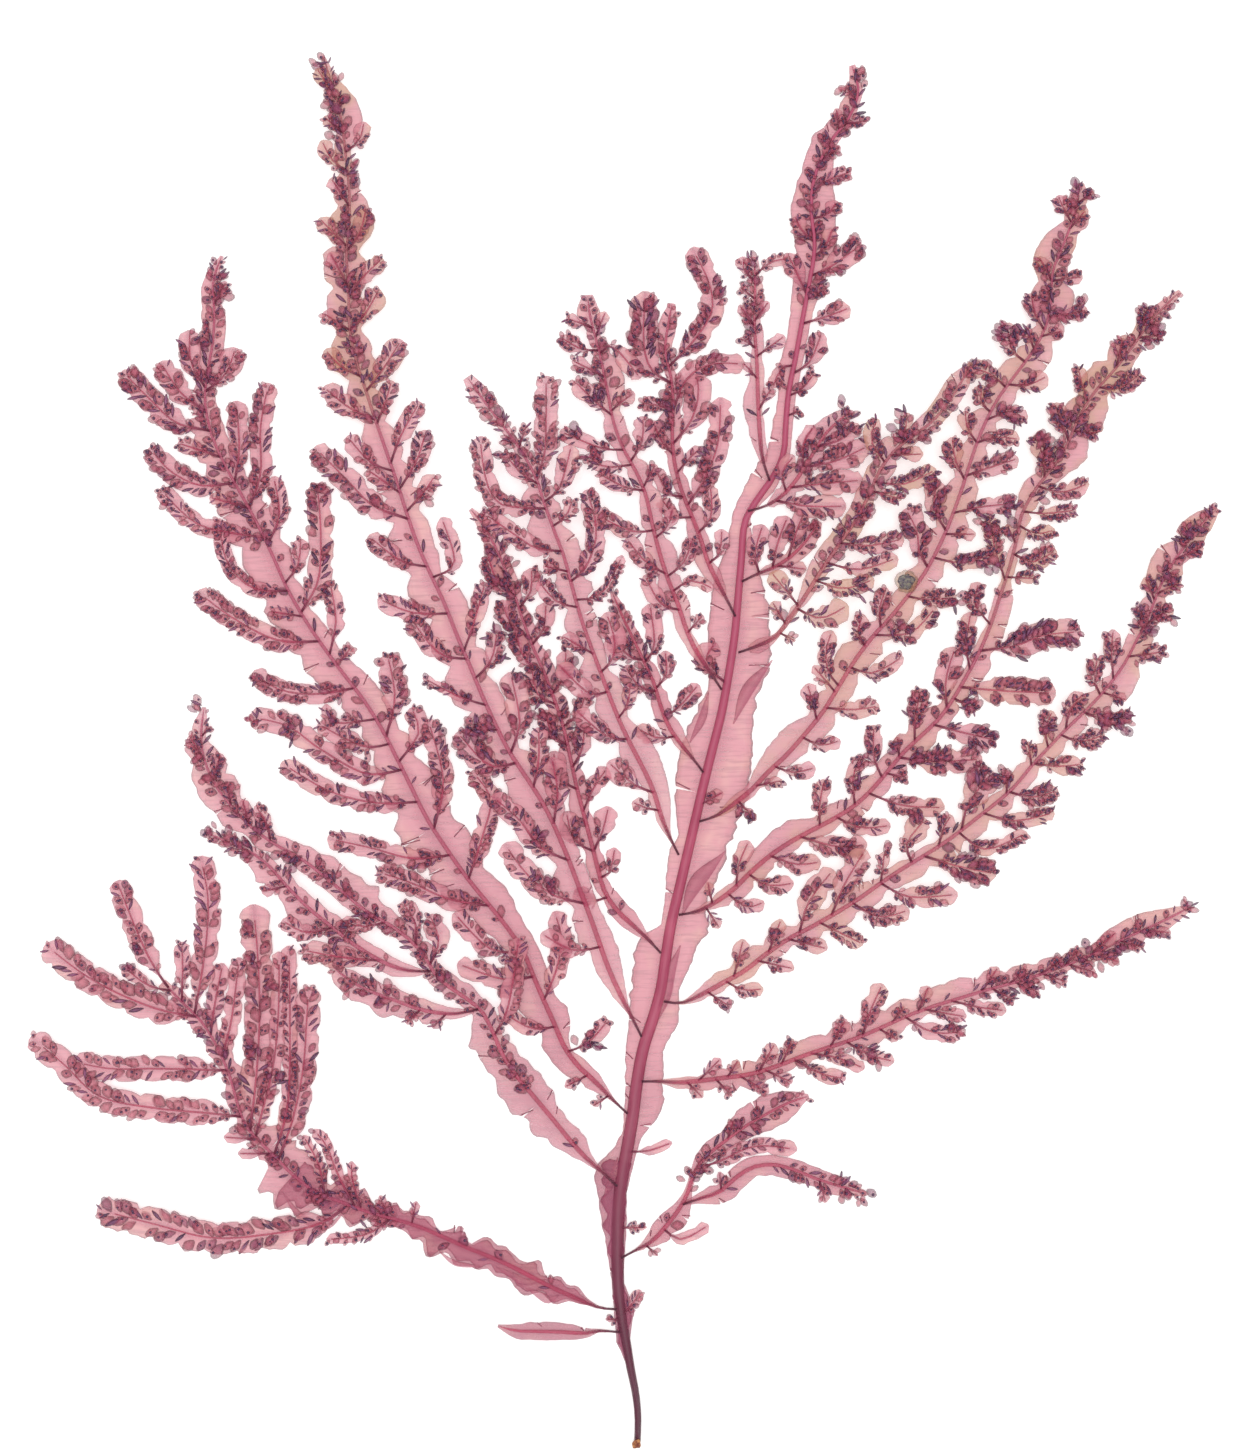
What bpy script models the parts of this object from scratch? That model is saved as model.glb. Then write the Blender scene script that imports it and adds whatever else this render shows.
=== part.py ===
"""Cumathamnion decipiens, the winged rib: a red seaweed picked whole and laid down flat.

The plant grew as one thing. A holdfast and a dark stalk run on as the midrib of a broad
main blade. Lateral fronds leave it on both sides, each with a midrib, two thin wings and
side shoots. Every frond is one solid of its own. They lie in layers where they overlap.

The plant's frame: X to the right, Y in the direction of growth, Z up from the surface it
lies on, origin at the middle of its outline. Sizes are in millimetres until a mesh is made.
"""
import math
import random

import bmesh
import bpy
from mathutils import Vector

MM = 0.001

# Thicknesses and heights of one frond, from its flat underside
WING = 0.6            # thickness of the wings beside a midrib
RIB = 1.6             # height of the midrib
SHOOT_LOW = 0.95      # underside of a side shoot, where it lies over the wing
SHOOT = 0.6           # thickness of a side shoot
ROOT_LOW = 0.66       # underside of a shoot's root, inside the midrib
SHOOT_STAGGER = 0.14  # neighbouring shoots lie this much higher in turn

# Fronds lie over each other in layers
LAYER = 2.1           # height from one layer to the next
STALK_LAYER = 0.5     # layer of a frond's stalk where it lies on the main blade's wing
STALK_GAP = 2.1       # a frond starts this far along its midrib from the main midrib's middle
RAMP = 7.0            # length over which a frond climbs or sinks to its own layer

# The surface of the plant rises a little away from its middle, in slow waves
AXIS_AT = 10.0        # the main axis follows the line x = AXIS_AT + AXIS_LEAN * y
AXIS_LEAN = 0.17
FLAT_REACH = 14.0     # flat on both sides of the main axis
WAVE_REACH = 40.0     # waves have their full height from here on
WAVE_HEIGHT = 1.3
WAVE_LENGTH = 62.0
WAVE_RUN = (0.8, 0.6)  # direction across the waves

# How finely the blades are cut
RIB_STEP = 8.0        # between two stations of a midrib
SHOOT_STEP = 5.1      # between two stations of a side shoot
SHOOT_STATIONS = 6    # the most stretches in one side shoot
RAGGED = 0.14         # how much a wing's edge strays from its width
FULLNESS = 1.12       # widths of shoots, with the leaflets along their edges
LOBED = 0.2           # how much a shoot's edge swings from one station to the next
RIB_FOOT = 1.15       # half width of the main midrib low on the plant
RIB_FOOT_TIP = 0.5    # half width of a midrib at its tip
FROND_RIB = 0.6       # a frond's midrib against the main one
STALK_FOOT = 0.35     # a bare stalk's half width over that of its wings
WING_EDGE = 0.12      # width of wing that even a bare stalk keeps
ROOT_HALF = 0.28      # half width of a shoot's root
SHOOT_NECK = 0.62     # width of a shoot where it leaves the midrib, against its full width
SHOOT_TIP = 0.56      # width of its blunt tip
NECK_END = 0.3        # where along a shoot it has its full width
TIP_START = 0.8       # where it starts to narrow
ARM_LIFT = 0.05       # a second arm lies this much over the one it leaves

HOLDFAST_RADIUS = 1.3
HOLDFAST_TOP = 0.9
HOLDFAST_HEIGHT = 1.1
HOLDFAST_SIDES = 12

# How the two ends of a blade and of a shoot are closed, by the points of their outline
BLADE_CAPS = ((0, 1, 2), (0, 2, 4), (0, 4, 6), (4, 5, 6), (2, 3, 4))
SHOOT_CAPS = ((0, 1, 2), (0, 2, 3))

# Colours, sRGB
WING_PINK = "#d493a3"
STALK_MAROON = "#8a4a60"
BROWNISH = "#b08374"

# Every frond: the layer it lies in, how much of its stalk lies on the main blade, a gap of
# its own where it leaves the main midrib at a sharp angle, where it comes down again, and
# its arms. An arm's midrib is a list of x, y, wing to the left, wing to the right. A shoot is
# x, y of its root, of its bends and of its tip, and then its width.
FRONDS = {
    "main_axis": dict(layer=0, over=0, arms=[dict(
        rib=[(2.1, -117.4, .5, .5), (2.2, -113, .5, .5), (1.8, -109, .5, .5), (1, -105, .6, .5),
             (.3, -101, 1.8, .6), (-.5, -96.5, .8, .7), (-1.1, -91, 1, .9), (-1.3, -84, 1.8, 1),
             (-1.1, -78, 3, 1.2), (-.6, -73, 4.5, 1.5), (.3, -68, 2.8, 1.8), (1.3, -62, 1.4, 4),
             (2, -56.5, 1, 4.6), (3.1, -50.5, 3, 3.8), (4.9, -45, 4.4, 4.4), (6.2, -40, 5, 3.4),
             (7, -34.5, 4.6, 4.8), (7.9, -29, 1.6, 6.4), (9.2, -23.5, 2.4, 5.6), (10.6, -17.5, 2.5, 6.8),
             (12, -11.5, 3.2, 6), (13.4, -5.5, 5, 7.8), (14.9, .5, 5.2, 7.2), (16.4, 6.5, 4.2, 5.6),
             (17.6, 13, 3.7, 6), (18.6, 19.5, 4.6, 5.8), (19.2, 26, 4.6, 5), (19.8, 33, 2.8, 2.2),
             (20.3, 38.6, 2.2, .9), (22.2, 42.3, 3, 1), (25, 46.3, 2.2, 1.5), (26.9, 50.4, 2, 1.8),
             (27.3, 55.5, 1.6, 1.6), (27.8, 61, 1.5, 1.5), (29, 67, 1.8, 1.6), (30, 72.5, 2.3, 1.2),
             (31.2, 79, 1.2, 1.5), (32.2, 85.5, 2.4, 2), (31.6, 92, 3.4, 2.4), (32.2, 97.5, 2.9, 2),
             (34.6, 103, 2.2, 1), (38, 107.5, 1.6, 1.2), (39.6, 112, .9, 1), (38.5, 116.4, .3, .3)],
        shoots=[(.3, -68, 4, -67.8, 8, -66.4, 1.5), (-.6, -95.8, 1.4, -93.6, 2.6, -91.4, 1.8),
                (27.8, 60.2, 30, 61.3, 32.2, 64.2, 2), (28.6, 64, 31.3, 66, 33.4, 71, 3),
                (30.4, 72.6, 34, 73.6, 38.2, 75.2, 3.2), (31, 76.4, 34.3, 78.6, 1.8),
                (31.6, 80.4, 35, 82.2, 40.2, 86, 3.4), (32.1, 84, 34, 85.6, 35.2, 88.6, 2.4),
                (31.8, 90.5, 34.4, 91, 36, 93.3, 3), (32, 94.6, 34.5, 96.8, 38.3, 98.2, 2.4),
                (33.4, 100.3, 36.5, 102.6, 1.8), (37, 106.4, 41, 106.8, 2), (36.2, 105.6, 35.8, 109, 2),
                (28.8, 65.6, 26.5, 64.8, 25, 61.5, 2.2), (31.1, 77.5, 29.4, 80.5, 27.6, 84.4, 2.8),
                (32.1, 86.4, 30.2, 88, 28.8, 90.6, 2.6)])]),
    "frond_left_01": dict(layer=0, over=1, arms=[dict(
        rib=[(-.6, -98.5, .3, .3), (-4, -98.3, .3, .3), (-7, -98.8, .9, .9), (-11, -98.6, 1.3, 1.4),
             (-15, -98.5, 1.4, 1.4), (-18.5, -98.4, 1.2, 1), (-21.6, -97.6, .3, .3)],
        shoots=[])]),
    "frond_left_02": dict(layer=0, over=1.5, arms=[dict(
        rib=[(-1.2, -94.6, .3, .3), (-4.6, -94.3, .3, .3), (-8, -93, .8, 1.2), (-11.6, -91.4, 1.8, 2),
             (-15.2, -89.6, 2.6, 1.8), (-19, -87.6, 2.4, 1.8), (-23, -85.8, 2, 2.2), (-27, -84.2, 3, 2),
             (-31, -82.4, 2.8, 1.4), (-34.8, -80.8, 2.6, 2.4), (-38.6, -79.6, 1.6, 1.8),
             (-43, -78.4, 1.8, 2.4), (-47.4, -76.8, 3, 3.2), (-52, -75, 4.4, 3.8), (-56, -72.2, 5, 4),
             (-59.2, -69, 2.4, 4), (-62, -66.2, 1.4, 2.6), (-64.4, -63.4, 1.2, 1.6),
             (-65.8, -59.6, 1.4, 1.6), (-67, -55.4, 1.2, 2.2), (-69, -50.6, 1.4, 2.4), (-71.8, -46, 1.6, 2),
             (-75.2, -42.6, 1.6, 1.4), (-78.4, -39.2, .6, .6)],
        shoots=[(-46.6, -77.2, -52, -80.2, -60, -81.8, -70, -82.4, -80, -80, -89.4, -77.6, 4.6),
                (-65, -62.2, -70, -61.4, -80, -60.4, -89, -58.4, -95, -53, -100.6, -48.4, 3.8),
                (-67.4, -54.2, -72, -54, -80, -53.8, -87, -53.8, -93.4, -52.6, 3.6),
                (-72.6, -45.2, -79, -43.8, -86, -41, -92, -37.6, -98.2, -32.8, 4.2),
                (-77.6, -40, -80.4, -35.6, -83, -30, -86.2, -22, 3.4),
                (-77, -40.8, -81, -39.6, -85.2, -36.4, 2), (-75.4, -42.4, -75, -37, -75.2, -32.4, 2.4),
                (-73.2, -44.6, -71.8, -38, -70.8, -30, -70.8, -24, -72, -17.8, 3.6),
                (-70.4, -48, -69.4, -42, -68.2, -36, 2.6), (-68.6, -51.6, -66.8, -46, -65.4, -35, 2.6),
                (-63.6, -64.4, -62.6, -56, -62, -46, -62.2, -36, -63, -26, 4.4),
                (-62.6, -65.4, -59.8, -54, -58.8, -45, -58.6, -34, 2.4),
                (-58.8, -69.4, -56.4, -62.6, -54.6, -54, -54, -46, -53.6, -40, 3.8),
                (-59.6, -68.6, -57.2, -60, -56.8, -46, -57, -33, 2.2),
                (-51, -75.3, -52, -70, -54.6, -65.2, 1.4),
                (-45.6, -77.4, -48.6, -72, -50.6, -67, -52.8, -64.2, 1.8),
                (-44.4, -77.8, -46.2, -73, -46.4, -69.6, 1.4), (-39.6, -79.4, -44, -82, -50.6, -82.8, 1.6),
                (-60, -68.4, -65.6, -68.2, 1.6), (-62.2, -66, -68, -65.4, 1.6)])]),
    "frond_left_03": dict(layer=1, over=4, arms=[dict(
        rib=[(-1.2, -73.9, .3, .3), (-3.4, -71.8, .3, .3), (-6.2, -69.3, 1, 1), (-9.2, -66, 2.4, 2.2),
             (-12.3, -62.2, 3.2, 1.6), (-15.3, -58.6, 4, 3), (-18, -55.4, 3.6, 3), (-20.6, -51.6, 3.4, 2.4),
             (-22.3, -47.6, 3.6, 2), (-24.4, -43.8, 1.8, 1.8), (-28, -41, 1.4, 1.8), (-31.6, -38.3, 1.4, 2),
             (-33.8, -34.8, 1.4, 2), (-36.4, -31.8, 1.6, 2), (-40, -29.2, 2, 2), (-43.8, -27, 1.8, 3.2),
             (-47.4, -24, 1.6, 3.4), (-51, -21, 1.6, 3), (-55, -18, 1.6, 2.4), (-59.4, -15.6, 1.6, 2),
             (-63.4, -12.6, 2, 2), (-66.6, -9.2, 3, 2.6), (-69.4, -5.4, 3.6, 3.4), (-71.2, -1, 3.4, 2.4),
             (-71.6, 3, 1.6, 1), (-71.1, 7.4, .4, .4)],
        shoots=[(-22.2, -48.4, -20, -44, -18.8, -38, -18, -31.6, 3),
                (-33, -36, -31.4, -32, -33, -27.6, 3.4), (-35.4, -32.8, -35.4, -29, -37.6, -25.4, 2.8),
                (-60, -15, -60.6, -12, -62.4, -9.2, 2.4), (-63.4, -12.6, -64.6, -8.2, 1.8),
                (-66.4, -9.4, -67.2, -5.8, 2.4), (-69.6, -5, -68.2, -.4, 2.4), (-71, -1.4, -73.6, 2.6, 2.4),
                (-40.5, -29, -44.5, -29.6, -48, -28.6, 2)]),
        dict(rib=[(-32.6, -37.2, .3, .3), (-37, -37, 1.2, 1.2), (-41.4, -35.4, 2, 1.6),
                  (-45.6, -32.8, 2.8, 1.6), (-49.4, -29.8, 3, 1.8), (-53.4, -26.6, 3, 1.8),
                  (-57.2, -22.8, 3, 1.4), (-60.4, -19.2, 2.6, 1.2), (-64.2, -16.6, 1.4, 1),
                  (-71, -13.8, .8, .8)],
             shoots=[(-41.5, -35.4, -48, -34.8, -54.6, -33.6, 3.4),
                     (-49.2, -30, -54, -30.6, -58, -28.6, 2.6), (-57.4, -22.6, -61.4, -23.8, 2.4)]),
        dict(rib=[(-24.6, -43.6, .3, .3), (-29, -44.4, 1, 1), (-34, -43.8, 2.2, 1.6),
                  (-38.6, -42.2, 2.6, 1.8), (-43, -40.6, 2.6, 1.8), (-47, -38.4, 2, 1.6),
                  (-50, -35.8, .6, .6)],
             shoots=[(-30, -44.4, -32.5, -46.8, 2.2), (-34.6, -43.6, -37, -46, 2.2)])]),
    "frond_left_04": dict(layer=0, over=1, arms=[dict(
        rib=[(.6, -61.6, .3, .3), (-2, -59.2, .3, .3), (-5.2, -56, 1.6, 1.2), (-8, -53.4, 2.4, 1.4),
             (-10.3, -50.2, 3, 1), (-12, -46.3, 3.2, 2.6), (-13.8, -42.3, 4, 2.6), (-15.5, -38.3, 3.2, 2.4),
             (-17.2, -34.2, 2.6, 2.4), (-19.8, -30.2, 2.6, 2.6), (-23.4, -25.7, 4.4, 3.8),
             (-27, -21.2, 4.8, 4), (-30.4, -16.4, 5.6, 4.4), (-33.6, -11.4, 5.2, 4.4),
             (-36.4, -5.8, 4.6, 4), (-39, -.6, 3.6, 3.4), (-41.5, 4.2, 3.2, 3), (-44.6, 9, 3.4, 3),
             (-48, 13.4, 4, 2.6), (-51.4, 18, 4.6, 2.2), (-54.6, 22.8, 4.8, 2), (-57.4, 27.8, 4.8, 2.2),
             (-59.7, 33, 4.8, 2.8), (-62.2, 38.2, 5, 3), (-64.8, 43, 4.6, 3), (-67.6, 48, 3.4, 2.6),
             (-69.9, 53, 3.4, 2.2), (-71.2, 58.4, 2.4, 2), (-71, 63.6, 2, 2), (-70, 69, 1.8, 1.8),
             (-69.7, 74.5, 2, 1.8), (-69.9, 79.5, 1.6, .8), (-68.4, 84, .3, .3)],
        shoots=[(-6.4, -55, -10.2, -57, 1.6), (-12, -46.8, -16, -47, -20.4, -44.4, 2.4),
                (-15.6, -38.2, -21, -38.6, -28.4, -36, 3.2), (-17.4, -34, -23, -33.4, -29, -27.4, 3),
                (-23.2, -26.2, -30, -25, -36, -22.4, -42, -20.4, 3.2),
                (-29.6, -17.6, -36, -18.2, -43, -16.4, -50.4, -14.8, 3),
                (-35.2, -8.4, -42, -8.8, -50, -6.8, -58.2, -2, 3),
                (-37.6, -3.4, -44, -3.8, -52, .6, -57, 4.2, -63.6, 5.8, 3.4),
                (-40.2, 1.2, -44.4, .8, -52, 4.6, 2.8), (-43, 5, -49.4, 4.8, -50.6, 8, 1.6),
                (-46.2, 10.6, -53, 9.6, -59, 10.6, -63, 13.4, 3),
                (-52, 18.8, -59, 18.8, -66.5, 22.6, -72.4, 27, 3.4), (-54.8, 23, -60, 23.6, 1.6),
                (-57, 27.2, -63, 27.6, -67.4, 32, -68.8, 39.4, 2.4),
                (-61.4, 36.4, -67, 37, -73, 38.8, -78.8, 44.4, 2.8), (-63.8, 41.2, -70.4, 43, 2),
                (-66.2, 45.2, -72, 45, -77, 47.4, -80.6, 51.4, 3.4), (-68.4, 49.6, -75.8, 52.2, 2.4),
                (-70.3, 54.4, -76, 55.6, -80.5, 59.6, -85.2, 64.4, 3.6),
                (-71.2, 58, -75.2, 60.6, -78.8, 66, 3.6), (-71.2, 61.5, -73.6, 66, -73.8, 71.4, 3.2),
                (-9.8, -50.8, -6.2, -49.4, -2.8, -45.6, 2.4),
                (-13.6, -42.4, -11.6, -37, -10.8, -31.6, -12, -27.2, 3),
                (-26.8, -21.6, -24, -14, -22.8, -8, -26, -3.4, 3), (-32.6, -13, -30.8, -5, -33.4, 5.4, 3.2),
                (-38.4, -1.6, -35, 3, -36.2, 7.4, 3), (-40.4, 2.4, -39, 9, -40.3, 16.5, 3.8),
                (-48.6, 14.4, -46.2, 17.8, 2.4), (-50, 16.2, -49, 22, -50, 28.6, 2.6),
                (-55, 23.6, -52, 29, -51.6, 37, -52.2, 45.4, 3.6), (-57.8, 28.6, -55.4, 31.6, -55, 36, 2.6),
                (-60.6, 35, -58.6, 40, -59.6, 46.6, 2.8),
                (-63.9, 41.4, -61.8, 47, -61.8, 55, -60.4, 62.4, 3.2),
                (-66.4, 45.6, -65.4, 51.5, -66, 59.4, 3.2), (-70.8, 61, -67.8, 63.8, -66, 68.4, 3.6),
                (-69.8, 76, -67.6, 79.6, 1.6)])]),
    "frond_left_05": dict(layer=1, over=2, land=(.66, .74), arms=[dict(
        rib=[(2.9, -48.6, .3, .3), (1, -44.8, .3, .3), (-1, -40.8, 1.2, 1.2), (-2.9, -36.5, 2, 2.2),
             (-4.5, -32, 3, 2.4), (-6.1, -27.5, 2.8, 1.8), (-7.8, -23, 3, 2), (-9.5, -18.5, 3.4, 2.2),
             (-11.6, -13.5, 4, 2.6), (-13.8, -9, 4.2, 3), (-16.6, -4.6, 4, 3), (-19.4, -.4, 4.4, 2.6),
             (-21.8, 4.2, 4.4, 2.8), (-24, 9, 4.5, 3), (-26.2, 14.3, 4.6, 3.2), (-28.4, 19.5, 4.4, 3.4),
             (-30.8, 25.5, 4.4, 3.2), (-33.2, 30.6, 4.4, 2.4), (-35.3, 35.5, 4.4, 2.6), (-37, 40.5, 3.6, 3),
             (-38.6, 45.5, 3.2, 3), (-40.3, 50.5, 3, 2.6), (-42.2, 56, 3, 2.2), (-44, 61.5, 3, 2.4),
             (-45.6, 66.5, 3.4, 2.8), (-46.7, 72, 3.2, 2.6), (-46.8, 78, 3.6, 2.8), (-47.2, 84, 3.6, 3),
             (-46.7, 90, 3, 3.8), (-46.8, 96, 2.2, 1.4), (-47.4, 101.5, 1.6, 1.4), (-48, 106.5, 1.6, 3.2),
             (-48.9, 110.5, 1.4, 2.6), (-50, 114, 1.2, 1), (-51.2, 117.9, .3, .3)],
        shoots=[(-4.5, -33.4, -9, -33.6, -14.2, -30.8, 2.8),
                (-7, -25.8, -12, -24.4, -16.6, -20.8, -20.4, -15.6, 3.6),
                (-9.6, -18.3, -14.4, -16.2, -18, -11.5, -22.6, -7.6, 3.2),
                (-18.5, -2, -23, -2.4, -28.4, 3.2, 4), (-23.6, 7.8, -28, 9.2, -34.2, 12.4, 1.4),
                (-27, 15.6, -31.5, 16.6, -36.4, 22.6, 3), (-30.6, 23.2, -36, 23.4, -41.8, 25.8, 3),
                (-33.6, 31, -38, 32.2, -43.4, 36.4, 3),
                (-36.8, 39.2, -42.5, 41.4, -46.8, 45.6, -52.5, 51.4, 3.8), (-38, 43.4, -43.6, 47.6, 2.4),
                (-39.4, 47.2, -43, 48.8, -47, 53.2, 2.8), (-42.4, 55.8, -46.6, 58, -51, 61.6, 3.2),
                (-44.8, 63, -48, 65, -50.8, 68, 2.8), (-46.6, 71, -51.2, 74.2, 2.8),
                (-47, 79, -50, 84.4, 2.6), (-47.2, 85.4, -51.8, 90.2, 2.8), (-46.8, 92, -49.8, 97, 3),
                (-47.1, 98.4, -49.5, 100, -51.4, 103.4, 2.6), (-47.8, 104.6, -51, 107.4, 2.4),
                (-49, 110.6, -52.2, 115.6, 2.4), (-12.2, -12.4, -11.4, -7, -12.4, -1, 3.6),
                (-15.6, -6, -14.6, -1.5, -14.6, 4, 2.8), (-19.6, -.2, -17.8, 5, -19.4, 13.4, 3.8),
                (-25.2, 12, -22.6, 15.4, -21.6, 20.4, 2.6), (-27.4, 17, -25.6, 21.5, -23.6, 28.6, 2.6),
                (-32.6, 29, -28.8, 31.8, -31, 39.5, 2.6), (-37, 40.4, -34.4, 43.2, -32, 46.6, 2.8),
                (-38.2, 44, -35.2, 49, -33.6, 54.2, 3), (-39.6, 48.4, -37.8, 53.4, -34.6, 59, 2.8),
                (-42, 55.4, -40.6, 58.6, -39.4, 62.6, 2.8), (-43.8, 60.6, -41.2, 64, -37.8, 69.6, 3.4),
                (-46.6, 71.6, -44, 74, -41.6, 78.2, 3.4), (-46.8, 77.6, -44.2, 80.4, -41, 83.4, 2.8),
                (-47, 84.4, -45, 87.4, -43.8, 91.8, 3), (-47.3, 101.2, -45, 103.4, -44.2, 106.6, 2.8)])]),
    "frond_left_06": dict(layer=0, over=1.5, arms=[dict(
        rib=[(6.2, -34.4, .3, .3), (3.8, -31.8, .5, .5), (1, -29.3, 1.2, 1.6), (-1.4, -27, 1.2, 1.8),
             (-3.4, -24, 1.2, 1.6), (-4.6, -20, 1.6, 1.4), (-5.6, -16, 2, 1.4), (-6.8, -11.5, 2, 1.4),
             (-8.1, -6.5, 2, 1.6), (-9.2, -1.5, 2, 1.6), (-10.3, 3.5, 2.2, 1.6), (-11.9, 8.5, 2, 1.8),
             (-13.7, 13.3, 2, 1.8), (-15.8, 18, 2, 1.6), (-17.4, 22.5, 2, 1.4), (-18.9, 27, 2.2, 1.4),
             (-20.4, 31, 2, 1.2), (-22.2, 35, 1.6, 1), (-24, 38.3, 1, 1), (-26.2, 41, .4, .4)],
        shoots=[(-4.4, -21.5, -2.6, -20.6, -1.7, -16.4, 2.2), (-5.2, -17.2, -3.8, -13.6, -2.8, -9.4, 3.6),
                (-7.2, -10, -5.4, -6.4, -3, -2.8, 2.6), (-9, -2.5, -7.2, .5, -7, 4.4, 2.8),
                (-10.4, 4, -8, 6.3, -6.6, 9.8, 2.4), (-12.4, 10, -10.4, 12.8, -10, 17.2, 2.6),
                (-15.8, 18, -13.8, 20.8, -13.4, 25.2, 2.8), (-17.8, 24, -16, 27, -15.8, 31, 3),
                (-3, -24.6, -6, -25.4, -8.4, -23.4, 2.8), (-5.4, -17, -8.6, -15, -10, -10.2, 3),
                (-8.1, -6.5, -11, -4.6, -12.2, 0, 3.2), (-9.8, 1, -12.4, 2.8, -13.6, 7, 2.8),
                (-11.7, 8, -14.8, 9.6, -15.8, 14, 2.8), (-13.8, 13.6, -17, 15.6, -18.6, 20.4, 2.8),
                (-16.2, 19, -19.2, 21.2, -21, 25.6, 2.8), (-18.7, 26.4, -21.6, 28.4, -23.2, 33, 2.6)])]),
    "frond_left_07": dict(layer=2, over=1, arms=[dict(
        rib=[(9.2, -17.8, .3, .3), (7.6, -14.6, .4, .4), (6.1, -11, 1, 1.6), (4.9, -7, 1.4, 2.4),
             (3.2, -3.2, 1.8, 3), (1, 1, 2.6, 3), (-.9, 5, 2.6, 2.4), (-2.7, 9.5, 3, 2.6),
             (-4.3, 13.8, 3, 2), (-5.9, 18, 2.6, 2), (-7.6, 23, 2.8, 2.4), (-9, 28, 2.4, 3.2),
             (-10.2, 32.5, 3.2, 3), (-12, 37.3, 3.8, 2.4), (-13.7, 42, 3.4, 2.2), (-15, 46, 2.4, 1.8),
             (-17.5, 50.6, 1, 1), (-20.4, 54.6, .8, .8), (-23.4, 58.5, 1.6, 1.6), (-26.6, 63, 1, 1)],
        shoots=[(5.8, -10.2, 3.6, -9.6, 1.2, -8.6, 2.2), (4.9, -7, 1.5, -5.6, -2.9, -1.8, 3.4),
                (.4, 2.2, -3.2, 2.6, -8.2, 6.8, 3), (-2.9, 9.8, -6.2, 9.8, -11.2, 14.6, 3),
                (-5.4, 16.6, -10.6, 19.4, 2.4), (-8, 24.2, -11.5, 25.2, -14.6, 28.6, 2.6),
                (-9.6, 30, -13.8, 31.2, 2.2), (-10.6, 33.7, -15, 34.2, -18.5, 36.4, -24, 40.2, 2.8),
                (-13.4, 41, -17.5, 41, -21.6, 42, -23.6, 46.5, -24.4, 53, 3),
                (-14.8, 45, -17.5, 46.8, -20.2, 50, 2.6), (-1, 5.3, .5, 8, .8, 11.4, 2.4),
                (-4.2, 13.2, -2.1, 15.6, -1.8, 19, -3.2, 23.4, 3.4), (-8.3, 25.4, -4, 26.5, -.4, 33, 1.6),
                (-9.3, 28.8, -6.6, 31, -4.9, 36, -5.4, 40.5, -6.6, 44, 3),
                (-12.2, 37.6, -10, 39.5, -8.8, 42.4, 2.2), (-13.8, 42, -11, 44.4, -9, 51.6, 3),
                (-15.1, 46.2, -13.6, 49.8, -13.3, 55, -13.3, 63.2, 3.4), (-17.8, 51, -16.6, 54.8, 1.8)])]),
    "frond_left_08": dict(layer=0, over=8.5, gap=3, arms=[dict(
        rib=[(13.4, -3.8, .3, .3), (11.6, -1.4, .4, .4), (9.6, 1, .8, 1.2), (7.4, 4.2, 1.4, 1.8),
             (6, 7.8, 1.4, 1.6), (4.9, 11.5, 1.4, 1.4), (3.3, 15, 1.4, 1.4), (1.4, 19, 1.2, 1.2),
             (-.5, 23, 1, 1), (-2.2, 27, .4, .4)],
        shoots=[(8.6, 2.4, 5.5, 2.2, 1.8, 4, 2.4), (5.3, 10, 2.3, 11, 0, 14.5, 3.2),
                (3.2, 15.3, .8, 16, -2.4, 19.5, 3.2), (6.6, 6.2, 9, 7.3, 12.5, 11.3, 2.6),
                (5.2, 10.4, 7, 13, 6.8, 17, 2.6), (3.4, 14.8, 5, 18, 4.2, 25, 2.8)])]),
    "frond_left_09": dict(layer=1, over=3, arms=[dict(
        rib=[(16.5, 10.2, .3, .3), (14.2, 13.7, .4, .4), (12, 17, 1, .8), (10.4, 20.5, 1.4, 1),
             (8.9, 25, 2.2, 1.8), (7.3, 29, 2, 2), (6, 33, 2, 2.6), (4.7, 38, 1.8, 1.8),
             (3.6, 43, 1.2, 2.4), (2, 47, 1.4, 2.2), (-.2, 51, 1.6, 1.8), (-1.9, 55.5, 1.8, 1.8),
             (-3, 61, 1.4, 2.8), (-3.9, 65.5, 1.2, 2.8), (-5, 70, 1.2, 1.2), (-6, 74, 2, 1.6),
             (-6.3, 77.2, .8, .8)],
        shoots=[(9.2, 23.8, 6, 25, 3.3, 29.8, 2.6), (6.9, 30.2, 3.5, 32, .2, 36, 2.6),
                (4.9, 37.3, 1, 37.2, -5, 40, 2.8), (3.2, 44.3, 0, 44.6, -4.3, 46.8, 2.4),
                (1, 48.6, -3, 48, -6.5, 49.4, 2), (-.4, 51.2, -4, 51.2, -11, 54, 2.4),
                (-2.4, 57, -5, 59, -8.6, 62.6, 2.8), (-3.5, 63.3, -8.9, 66, 2.4),
                (-4.7, 68, -7.5, 68, -11, 70, 2.6), (-5.4, 71.6, -10, 73.2, 2), (10.6, 19.8, 13.2, 23, 2),
                (8, 27, 11.3, 28.8, 15, 27.4, 1.8), (7.2, 29.4, 10, 32, 11.4, 36, 2.4),
                (5.2, 35.8, 7.2, 38, 8, 41, 2.4), (3.2, 44.5, 5.2, 48.5, 2.2),
                (.9, 49, 2.9, 52.4, 3, 56.6, 3.2), (-2.3, 57.5, -.6, 59, 1.6, 60.6, 2.6),
                (-4.4, 67.2, -2, 68.4, 2.6, 63, 2.8), (-5, 70, -3.3, 74.3, 2)])]),
    "frond_left_10": dict(layer=0, over=13, gap=4.2, arms=[dict(
        rib=[(18.8, 22.6, .3, .3), (17.5, 25.2, .4, .4), (15.6, 28.8, 1.2, 1), (14, 32.2, 1.8, 1.2),
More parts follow.
